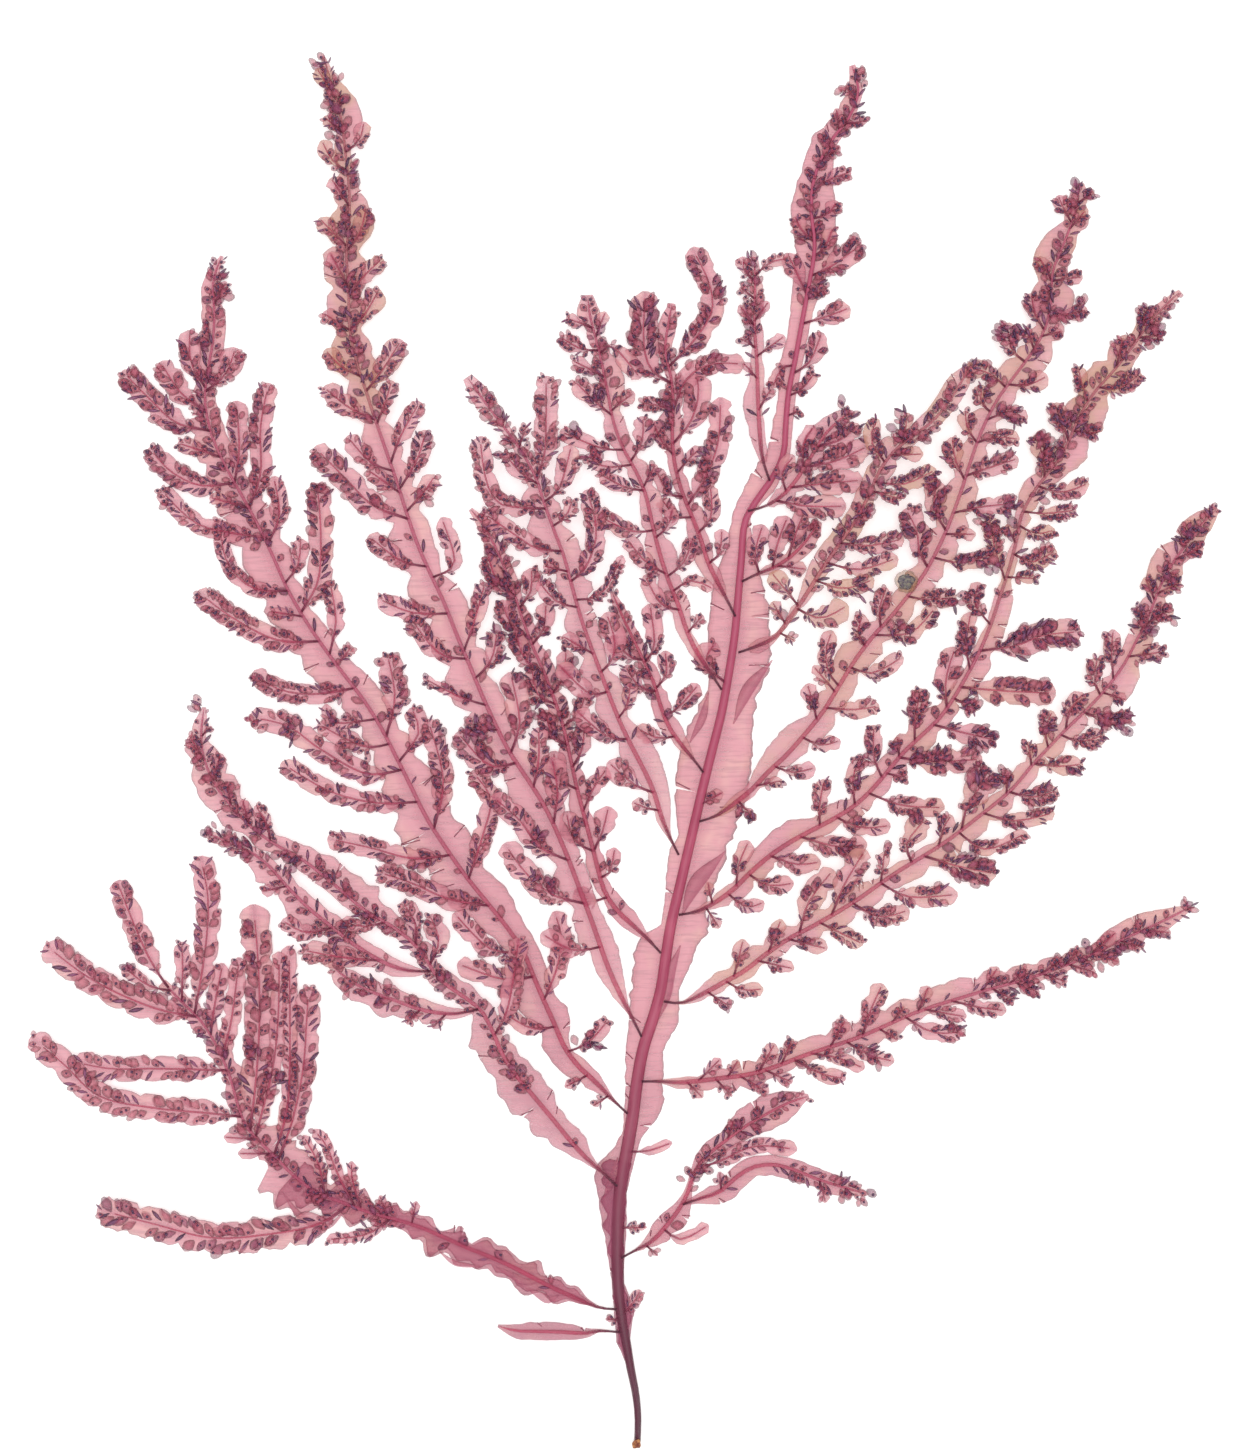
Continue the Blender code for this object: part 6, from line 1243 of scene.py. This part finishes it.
# Second right frond: long, narrow and almost level. Short leafy shoots stand along it, and
# they crowd each other towards its tip.
grow("frond_right_02", layer=0, over=4.5, arms=[dict(
    rib=[(2.6, -56, .3, .3), (6, -56, .3, .3), (9.6, -56.2, .8, 1.2), (13.4, -55.9, 1, 1.6),
         (17.4, -55.4, 1.8, 2), (21.6, -54.8, 2.2, 2.4), (26, -53.4, 2.2, 1.4), (30.4, -51.7, 2.4, 1.6),
         (34.8, -50.2, 2.6, 1), (39.2, -48.7, 2.8, 1.6), (43.6, -46.8, 2.8, 2.4), (48, -44.8, 2.6, 1.6),
         (52.4, -43.2, 2.8, 1), (57, -41.8, 3, 1), (61.6, -40.4, 2.8, 1), (66.2, -39.2, 2.4, 1.2),
         (70.8, -37.8, 2.2, 1.2), (75.2, -36.2, 1.8, 1.2), (79.6, -34.4, 1.8, 1.6), (84, -32.2, 2.4, 2),
         (88.4, -30.2, 2.6, 1.8), (92.2, -28.4, 1.6, 1.4), (96, -26.4, .4, .4)],
    shoots=[(15.4, -55.8, 18.2, -58.6, 1), (45.4, -46.2, 47.2, -43.2, 1.4),
            (10.6, -56.2, 13.2, -58.8, 1.6), (43, -47, 46.2, -49, 1.6),
            (17.6, -55.4, 19.2, -52.4, 1.8), (66.4, -39.2, 70.2, -41, 1.6),
            (12.6, -56, 16.2, -52.2, 1.8), (22.8, -54.6, 25.4, -49.6, 2.2),
            (26.4, -53.2, 28.4, -48.8, 1.8), (34.6, -50.2, 37.4, -45.4, 2.4),
            (40.2, -48.3, 41.4, -44.4, 43.6, -39.4, 2.8), (49.8, -44.2, 51.4, -39.8, 2.2),
            (60.4, -40.8, 63.2, -36.6, 2), (65, -39.6, 68.2, -37, 2), (70.4, -38, 74, -35.4, 1.8),
            (74.6, -36.6, 76.8, -33.8, 2), (79.2, -34.7, 83.2, -30.8, 2.2),
            (19.6, -55.2, 24.4, -58, 1.8), (23.6, -54.2, 28.4, -56.2, 2.2),
            (28.8, -52.3, 33, -54.6, 37.4, -55.6, 2.4), (31.4, -51.4, 36, -52, 40.6, -53.8, 2),
            (37.6, -49.2, 41.2, -51.4, 45.6, -52.6, 2), (47.6, -45, 52, -47.6, 57, -47.6, 2.6),
            (50.8, -43.8, 57.8, -45, 2), (55.6, -42.4, 60, -43.4, 64.6, -44, 2.2),
            (62, -40.4, 66, -42.2, 1.8), (70.6, -38, 75, -39.2, 1.8), (75.4, -36.2, 79.8, -37.6, 2),
            (79.8, -34.4, 83.8, -35.8, 2), (84.2, -32.2, 88, -33.4, 2),
            (88, -30.4, 92.6, -30.8, 1.8)])], leafy=1.3, crowded=0.5, lobed=0.35, tan=0.15)

# Third right frond: curving far out to the right. It lies over its neighbours
# first, then comes to rest on the floor.
grow("frond_right_03", layer=1, over=3, land=(.72, .8), arms=[dict(
    rib=[(6.4, -42.4, .3, .3), (9.6, -42.7, .3, .3), (13, -41.2, 1, 1), (16.6, -39.2, 2, 1.2),
         (20.2, -37.2, 2.4, 1.4), (23.8, -34.4, 2.4, 1.4), (27.6, -31.8, 2, 1.8),
         (31.4, -29.8, 1.8, 2.2), (35.4, -27.5, 2, 2.4), (39.4, -25, 2, 2.4), (43.2, -22.3, 1.4, 2.2),
         (47, -19.8, 1.2, 2.4), (51, -17.4, 1.2, 3), (55, -14.8, 1.2, 2.6), (58.8, -11.9, 1.4, 2.4),
         (62.4, -9.1, 1.4, 2.4), (65.8, -6.1, 1.6, 1.8), (68.8, -2.5, 1.8, 1.8), (72, 1, 1.8, 2),
         (75.4, 4.5, 2, 2), (78.8, 7.8, 2.2, 2), (81.8, 11.2, 1.4, 3.6), (84.6, 15, 1.4, 3),
         (86.8, 19, 1.6, 2.4), (88.8, 23, 1.8, 2), (90.4, 27.2, 2.4, 2.2), (92.6, 31.4, 3.2, 2.4),
         (95.6, 35.6, 2.8, 2), (98.2, 38.8, 2, 1.6), (100.6, 41.2, .5, .5)],
    shoots=[(18.4, -38.2, 19.2, -35, 20, -31.8, 2.4), (24.4, -34, 26.4, -28.4, 2.2),
            (29.4, -30.8, 31, -25.6, 35.2, -20, 3.6), (35, -27.8, 37, -22.6, 40.6, -16.6, 3.4),
            (43.4, -22.2, 43.8, -17, 1.8), (48.4, -18.9, 47.6, -15.6, 50.8, -11.4, 3.6),
            (53, -16.2, 53.8, -13, 55.2, -10.8, 2.8), (57, -13.4, 58, -9, 62.2, -3.4, 4.2),
            (64.4, -7.4, 64.6, -4, 2), (68.8, -2.4, 68, 1.6, 2.2), (71.6, .6, 71, 3.6, 72.2, 6.8, 2.4),
            (74.6, 3.6, 75, 6.6, 77.4, 9.8, 2.8), (80.2, 9.4, 79.2, 12, 79.8, 15.8, 2.8),
            (82.6, 12.2, 82.2, 16, 82.6, 20.6, 2.4), (88.2, 21.8, 86.4, 24.4, 2.2),
            (89.8, 25.6, 88, 29.4, 2.2), (95, 34.8, 96, 39.2, 2), (13.8, -40.8, 18, -43.4, 2),
            (17, -39.2, 20, -40.4, 23.4, -40.2, 2.2), (22.4, -35.6, 28.6, -36.8, 2),
            (27.4, -32, 34.2, -33.4, 2.4), (33, -29, 40.2, -32.6, 2.6),
            (38.4, -25.8, 43, -28, 48, -26.8, 2.8), (43.2, -22.4, 48, -24.6, 56.2, -24.2, 3),
            (50.4, -17.8, 56, -19.4, 62.8, -20.8, 3.8), (56.4, -13.9, 61, -16.6, 68, -13.8, 2),
            (60.8, -10.4, 66, -11.8, 72.6, -10.4, 2.4), (64.8, -7.1, 69, -7.8, 73.2, -6.6, 3.2),
            (69.4, -1.9, 73, -2.6, 77.4, -2.2, 3), (73.6, 2.6, 77, 1.6, 81, 2.8, 2.8),
            (77.6, 6.6, 81.5, 5.2, 85.6, 6.4, 2), (80.8, 10, 84.6, 8.6, 2), (85.2, 16, 91.4, 16.8, 2.6),
            (88, 21.4, 92.8, 24.2, 2.6), (90.2, 26.6, 94.2, 28.6, 2.4),
            (93.4, 32.6, 98, 34.6, 2.4)])], leafy=1.7, crowded=0.7, clear=0.0, tan=0.3)

# Fourth right frond: the longest on this side. Its midrib and film turned brownish where they
# aged, and are pink again at its tip.
grow("frond_right_04", layer=0, over=9, arms=[dict(
    rib=[(8.9, -27.8, .3, .3), (12.2, -27.2, .4, .4), (15.2, -25.7, 1, 1), (18.2, -23.6, 1.2, 2),
         (21, -20.9, 1.8, 2), (24.2, -18.1, 2.4, 2), (27.8, -15.6, 3, 1.6), (31.6, -13.5, 2.8, 1.6),
         (35.4, -11.5, 2.2, 1.8), (39, -9.2, 2, 2), (42, -6.4, 2, 2), (44.6, -3.4, 2, 2),
         (47.2, -.3, 2.4, 2.6), (50.4, 2.7, 2.8, 2.4), (53.4, 5.6, 2.4, 1.8), (55.8, 9, 1.4, 1.8),
         (58, 12.8, 1.2, 2.4), (60.2, 17, 1, 2.8), (62, 21.4, .8, 2.4), (63.5, 26, .8, 2.2),
         (65, 30.6, 1, 1), (66.2, 35.2, .8, 1.2), (67.2, 40, 1, 1.6), (69.6, 44.4, 2.2, 1.6),
         (72.6, 48.2, 2, 2.4), (75, 52, 1.4, 3.8), (77, 56.6, 2.6, 4), (79.6, 60.8, 3, 3.2),
         (83, 64.6, 3, 2.2), (86.4, 69, 2.4, 1.6), (89.8, 73.6, 1.4, 1.2), (94.2, 78, .4, .4)],
    shoots=[(66.2, 35.2, 64.6, 38.4, 1.5), (46.4, -1.2, 46.2, 2.4, 1.8),
            (14.8, -25.9, 14, -22.2, 1.8), (18.8, -23, 19.2, -19.5, 21, -15.2, 2.6),
            (33, -12.7, 33, -9, 33.8, -4.8, 2.6), (38.8, -9.3, 38.6, -4.8, 39.8, -.8, 2.2),
            (43.8, -4.4, 42.2, -1, 42.2, 4.4, 2.6), (49, 1.6, 49.2, 5.4, 50.2, 10.6, 2.8),
            (54.6, 7.2, 54.4, 12, 56, 17.6, 3.4), (58.6, 13.6, 57.8, 18, 58.6, 23.6, 2.4),
            (62, 21.6, 59.2, 25, 60, 28.6, 2.4), (64.4, 28.8, 62.8, 33.5, 61.6, 39.8, 2.2),
            (71, 46.4, 70.8, 49.6, 69.6, 53.6, 3.2), (75.2, 52.6, 73.8, 56, 72.8, 59, 2.8),
            (78.6, 59.4, 77.4, 62.5, 76.8, 65.2, 2.2), (83.2, 65, 84.4, 70, 2.8),
            (87.2, 70.2, 88.6, 75.4, 2.2), (13.6, -26.6, 16, -30, 1.8),
            (17.4, -24.4, 20.6, -26.4, 23.6, -25.6, 2.2), (21, -21, 24.4, -22.8, 28.6, -22.4, 2.6),
            (24.6, -17.8, 29, -19.2, 33.2, -18.8, 2.8), (29.6, -14.6, 36, -16.2, 41, -15.8, 3),
            (35.8, -11.3, 40, -13, 45, -12.6, 2.4), (41.4, -7, 47, -9.2, 54.2, -9.6, 2.8),
            (44.4, -3.6, 48, -4.6, 2.2), (46.6, -1, 52, -1.8, 60.6, -1.4, 3.6),
            (52.2, 4.4, 57, 3.2, 63, 1.8, 3.2), (55.8, 9, 59.6, 6.8, 2.4),
            (57, 11, 64, 10.2, 73, 9.8, 3.8), (60.2, 17, 66, 17.8, 71, 19.6, 77.2, 20.2, 4),
            (64.6, 29.4, 69.6, 29.2, 1.6), (65.8, 33.6, 69, 32, 73, 34, 2.8),
            (66.8, 38, 69.6, 36.8, 72.8, 37.4, 2.2), (67.4, 40.4, 71, 40.2, 76.4, 40.8, 2),
            (70, 45, 74, 43.8, 78.6, 45.4, 2.6), (76, 54.2, 80.2, 53.8, 2.4),
            (80.2, 61.6, 83.6, 61.4, 87.6, 64, 2.4), (87, 70, 91.2, 70.4, 2)])],
     leafy=1.8, brown=(70, 140, 0.3), tan=0.2, clear=0.0)

# Fifth right frond: broad wings with leafy shoots all along. It lies over its neighbours,
# and comes to rest on the floor near its tip.
grow("frond_right_05", layer=1, over=8, land=(.78, .86), arms=[dict(
    rib=[(12.4, -12, .3, .3), (15.4, -11, .3, .3), (18.4, -9, 1, .8), (21.4, -6.6, 1, 1),
         (24.2, -3.6, 2.2, 1.4), (27.2, -.8, 3, 1.6), (30.4, 2.8, 3.2, 2.4), (33.6, 6.8, 2, 2.8),
         (36.2, 11, 2.4, 2.4), (38.8, 15.2, 3, 2.4), (41.8, 19.2, 2.6, 2.8), (44.8, 22.5, 2, 2.6),
         (47.8, 26.2, 2, 2.4), (50.6, 30, 2.6, 2.6), (53, 34.4, 2.8, 3), (55, 39, 2.6, 3),
         (56.8, 44, 2.6, 2.6), (58.4, 49, 2.4, 2.2), (60.2, 54, 2.4, 2.2), (62.8, 59.2, 2.6, 2.4),
         (66, 63.6, 2.6, 2.8), (69.2, 68, 2, 3.2), (71.4, 72.4, 2.2, 3), (72.3, 77, 3, 3.6),
         (72.6, 81.4, 3.4, 2.4), (74.2, 85.4, 3.4, 1.8), (75.8, 89.6, 2, 2.4), (76.8, 93, 1.6, 2),
         (77, 96.4, .8, .8)],
    shoots=[(19, -8.6, 22.2, -11.8, 1.4),
            (32.4, 5.4, 31.8, 8, 30.8, 11.4, 2.8), (36, 10.8, 34.4, 13.4, 34, 17, 35, 20.4, 2.4),
            (35.4, 9.8, 31.8, 14.4, 1.8), (40.6, 17.8, 39.4, 20, 40.2, 23.2, 2.6),
            (43.4, 21, 43, 24, 44.2, 27.6, 2.6), (51.2, 31, 49.6, 34, 49.4, 37, 47.4, 41, 3.8),
            (54.2, 37, 52.2, 41, 52.8, 45.8, 3.4), (57.4, 46, 55.8, 49, 55.2, 53, 3.2),
            (59.4, 52, 57.8, 54.4, 57.4, 57.4, 2.6), (61.6, 57, 60, 59, 60.4, 61.8, 2.4),
            (64.6, 61.6, 61.4, 63.8, 57.8, 64.8, 2.8), (67.4, 65.6, 65.2, 68, 64.6, 72.4, 3.4),
            (69.2, 68, 67.6, 71.4, 2.2), (71, 71.5, 69.4, 74, 68.8, 77.6, 3),
            (72.5, 80, 70.2, 83.8, 2.4), (75.8, 89.8, 74.4, 92, 73.4, 94.2, 2.6), (22, -6, 26.6, -5, 2),
            (25.2, -2.6, 28.4, -3.6, 32.2, -2.8, 2.6), (30, 2.4, 33.2, 1, 36.4, 1.8, 2.4),
            (34, 7.4, 38.5, 7, 43, 7.6, 2.8), (38.2, 14.2, 42, 13.2, 47, 16, 2.6),
            (42.4, 19.8, 46, 19.6, 49, 20.4, 52.6, 24.4, 2.6), (47.6, 26, 51, 25.6, 56, 26, 2.8),
            (52, 32.6, 57, 31.8, 62.6, 33.4, 2.6), (54, 36.6, 59.2, 36.6, 2.2),
            (55.5, 40.4, 60, 41.2, 65.8, 41.8, 2.6), (57.6, 46.6, 62, 48, 66.4, 49.4, 2.8),
            (59.4, 52, 63, 53, 66.6, 52.6, 2.4), (61, 55.8, 64.4, 57, 68, 56.2, 2.4),
            (64.6, 61.8, 68, 61.8, 71.4, 63.4, 3), (70.4, 70.2, 74, 71, 2.2),
            (71.6, 73.3, 75, 74, 78.4, 74.8, 2.4), (72.6, 79.6, 77.6, 80.4, 2.8),
            (75.4, 88.4, 78, 91.6, 2.2), (76.8, 93, 79.6, 94.6, 2.2)])],
     leafy=1.6, crowded=0.7, clear=0.05, tan=0.3)

# The growth on frond_right_05: a small crust of another alga, which settled on the wing while
# it was alive. It is grey-green, gritty and dried hard, in a tan ring of film that died under it.
CRUST_PLACE = (47.5, 28.7)
CRUST_SIDES = 28
CRUST_LIFT = 0.95      # over the film, so it lies among the leaflets
CRUST_RADIUS = 1.3
CRUST_HIGH = 0.25
CRUST_OVER = 0.15      # over its ring
CRUST_ALPHA = 0.55
RING_RADIUS = 2.0
RING_HIGH = 0.12
RING_ALPHA = 0.3
CRUST_ROUGH = 0.3      # how far its rim strays from a circle
CRUST_GRIT = 0.45
CRUST_SLATE = "#5e5c70"
CRUST_GREEN = "#a09c8c"
CRUST_TAN = "#e0b080"
CRUST_DULL = "#c89c70"


def crust_disc(radius, height, lift):
    """A low dome with an uneven rim, over the wing."""
    bm = bmesh.new()
    bmesh.ops.create_cone(bm, cap_ends=True, segments=CRUST_SIDES, radius1=1.0, radius2=0.7, depth=1.0)
    for vert in bm.verts:
        bulge = noise.noise(Vector((*vert.co.xy.normalized(), radius)) * 2.0)
        reach = radius * (1.0 + CRUST_ROUGH * bulge)
        vert.co = Vector((CRUST_PLACE[0] + vert.co.x * reach, CRUST_PLACE[1] + vert.co.y * reach,
                          lift + height * (vert.co.z + 0.5)))
    return bm


def crust_skin(name, one, other, alpha):
    """Dried crust: gritty and matt, dark slate grains in a paler ground."""
    material, tree = start_material(name)
    place = add_node(tree, "TexCoord").outputs["Object"]
    grit = add_node(tree, "TexNoise", {"Vector": place, "Scale": 1 / (CRUST_GRIT * MM), "Detail": 3.0})
    grain = add_node(tree, "MapRange", {0: grit.outputs["Fac"], 1: 0.4, 2: 0.62})
    skin = add_node(tree, "Mix", {"Factor": grain.outputs[0], "A": linear(one), "B": linear(other)},
                    data_type="RGBA")
    bump = add_node(tree, "Bump", {"Height": grit.outputs["Fac"], "Strength": 0.6, "Distance": 0.1 * MM})
    shader = add_node(tree, "BsdfPrincipled", {"Base Color": skin.outputs["Result"], "Roughness": 0.85,
                                               "Alpha": alpha, "Normal": bump.outputs[0]})
    add_node(tree, "OutputMaterial", {"Surface": shader.outputs["BSDF"]})
    return material


wing = min((vert.co for vert in bpy.data.objects["frond_right_05_film"].data.vertices),
           key=lambda co: math.dist(co.xy / MM, CRUST_PLACE)).z / MM
crust = finish_mesh("frond_right_05_crust",
                    crust_disc(CRUST_RADIUS, CRUST_HIGH, wing + CRUST_LIFT + CRUST_OVER),
                    crust_skin("dried_gritty_crust", CRUST_SLATE, CRUST_GREEN, CRUST_ALPHA))
ring = finish_mesh("frond_right_05_crust_ring", crust_disc(RING_RADIUS, RING_HIGH, wing + CRUST_LIFT),
                   crust_skin("dead_tan_film", CRUST_TAN, CRUST_DULL, RING_ALPHA))
for piece in (crust, ring):
    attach(piece, "root")
    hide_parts("frond_right_05")

# Sixth right frond: an old one, brownish low down, that crosses on top of the others. Its
#  film has dulled.
grow("frond_right_06", layer=2, over=6, arms=[dict(
    rib=[(19, 16.6, .3, .3), (22.4, 17.8, 1, 1.2), (25.6, 19.4, .5, .5), (27.6, 22.2, .5, .5),
         (29.8, 25.2, 1.2, .8), (31.8, 28.4, 1.8, 1), (34, 31.8, 2.2, 1.2), (36.6, 35.6, 2, 1.8),
         (39.2, 39.4, 1.8, 1.6), (41.2, 43.4, 2, 1.4), (43, 47.4, 2.6, 2), (45.4, 50.6, 2.6, 1.8),
         (48.4, 53, 1.8, 1.2), (51.6, 55.4, 1.8, 1.2), (54.2, 58.4, 2, 1.4), (56.4, 61.8, 2, 1.4),
         (58.4, 65.4, .5, .5)],
    shoots=[(26.2, 19.8, 28.8, 18.6, 1.8),
            (29, 24.2, 33, 22.4, 37.6, 24.6, 3.6), (32, 28.8, 37, 27.4, 42, 29, 2.6),
            (34, 31.8, 39.5, 30.6, 46, 32.6, 2.6), (36.4, 35.2, 41, 34.6, 47, 35.8, 2.8),
            (41.4, 43.8, 46.6, 42.4, 1.6), (42.2, 45.4, 47, 45, 52.4, 47.4, 2.6),
            (44.6, 49.8, 50.2, 50, 2.4), (29.4, 24.6, 27.2, 27, 24.6, 30.2, 3),
            (27.2, 21.6, 24.8, 25.2, 2.4), (44, 48.8, 41.4, 52.6, 42.6, 56, 2.4),
            (47, 52, 47.6, 57, 2)])],
     leafy=1.8, crowded=0.1, clear=0.0, brown=(2, 70, 0.25), tan=0.3,
     slot="brown_membrane")

# Seventh right frond: short and very leafy, its film hidden under the leaflets. It springs
# from the upper part of the main midrib.
grow("frond_right_07", layer=1, over=1, gap=3.8, arms=[dict(
    rib=[(20.6, 40.6, .3, .3), (23.6, 41.4, .4, .4), (26.6, 43.2, 1.4, 1.4), (29.2, 46.2, 2, 2),
         (31.6, 50, 2.2, 2), (34.2, 54, 2.2, 1.8), (38.2, 57.6, .8, .8)],
    shoots=[(25.6, 42.6, 31, 41.4, 37.4, 41.4, 3.4), (28, 44.8, 33.5, 45.2, 40.2, 45.8, 3.6),
            (30.4, 48, 35.5, 49, 41.2, 51.6, 3.6), (32.6, 51.6, 36.4, 52.6, 39.6, 55.2, 2.8),
            (27.4, 44, 26.6, 47, 28.6, 50, 2.4), (30.2, 47.8, 30.2, 52, 32, 55, 2.2)])],
     leafy=2.0, crowded=0.15, clear=0.0)

# Eighth right frond: the shortest, leafy, just under the seventh. It is not much more
# than a shoot, with a few shoots of its own.
grow("frond_right_08", layer=0, over=3, gap=2.9, arms=[dict(
    rib=[(19.6, 28.6, .3, .3), (22.4, 30, .4, .4), (25.4, 31.2, 1, 1), (28.4, 33.2, 1.4, 1.4),
         (31, 36, 1.6, 1.6), (33, 39, .6, .6)],
    shoots=[(22.6, 30.2, 22, 33.6, 23.4, 38.4, 2.8), (25, 31, 25.8, 35, 27.6, 39.8, 3.2),
            (27.8, 32.8, 29, 37, 30.6, 41, 2.6), (26, 31.4, 30.8, 30.8, 2.2)])],
     leafy=1.8, crowded=0.2, clear=0.0)
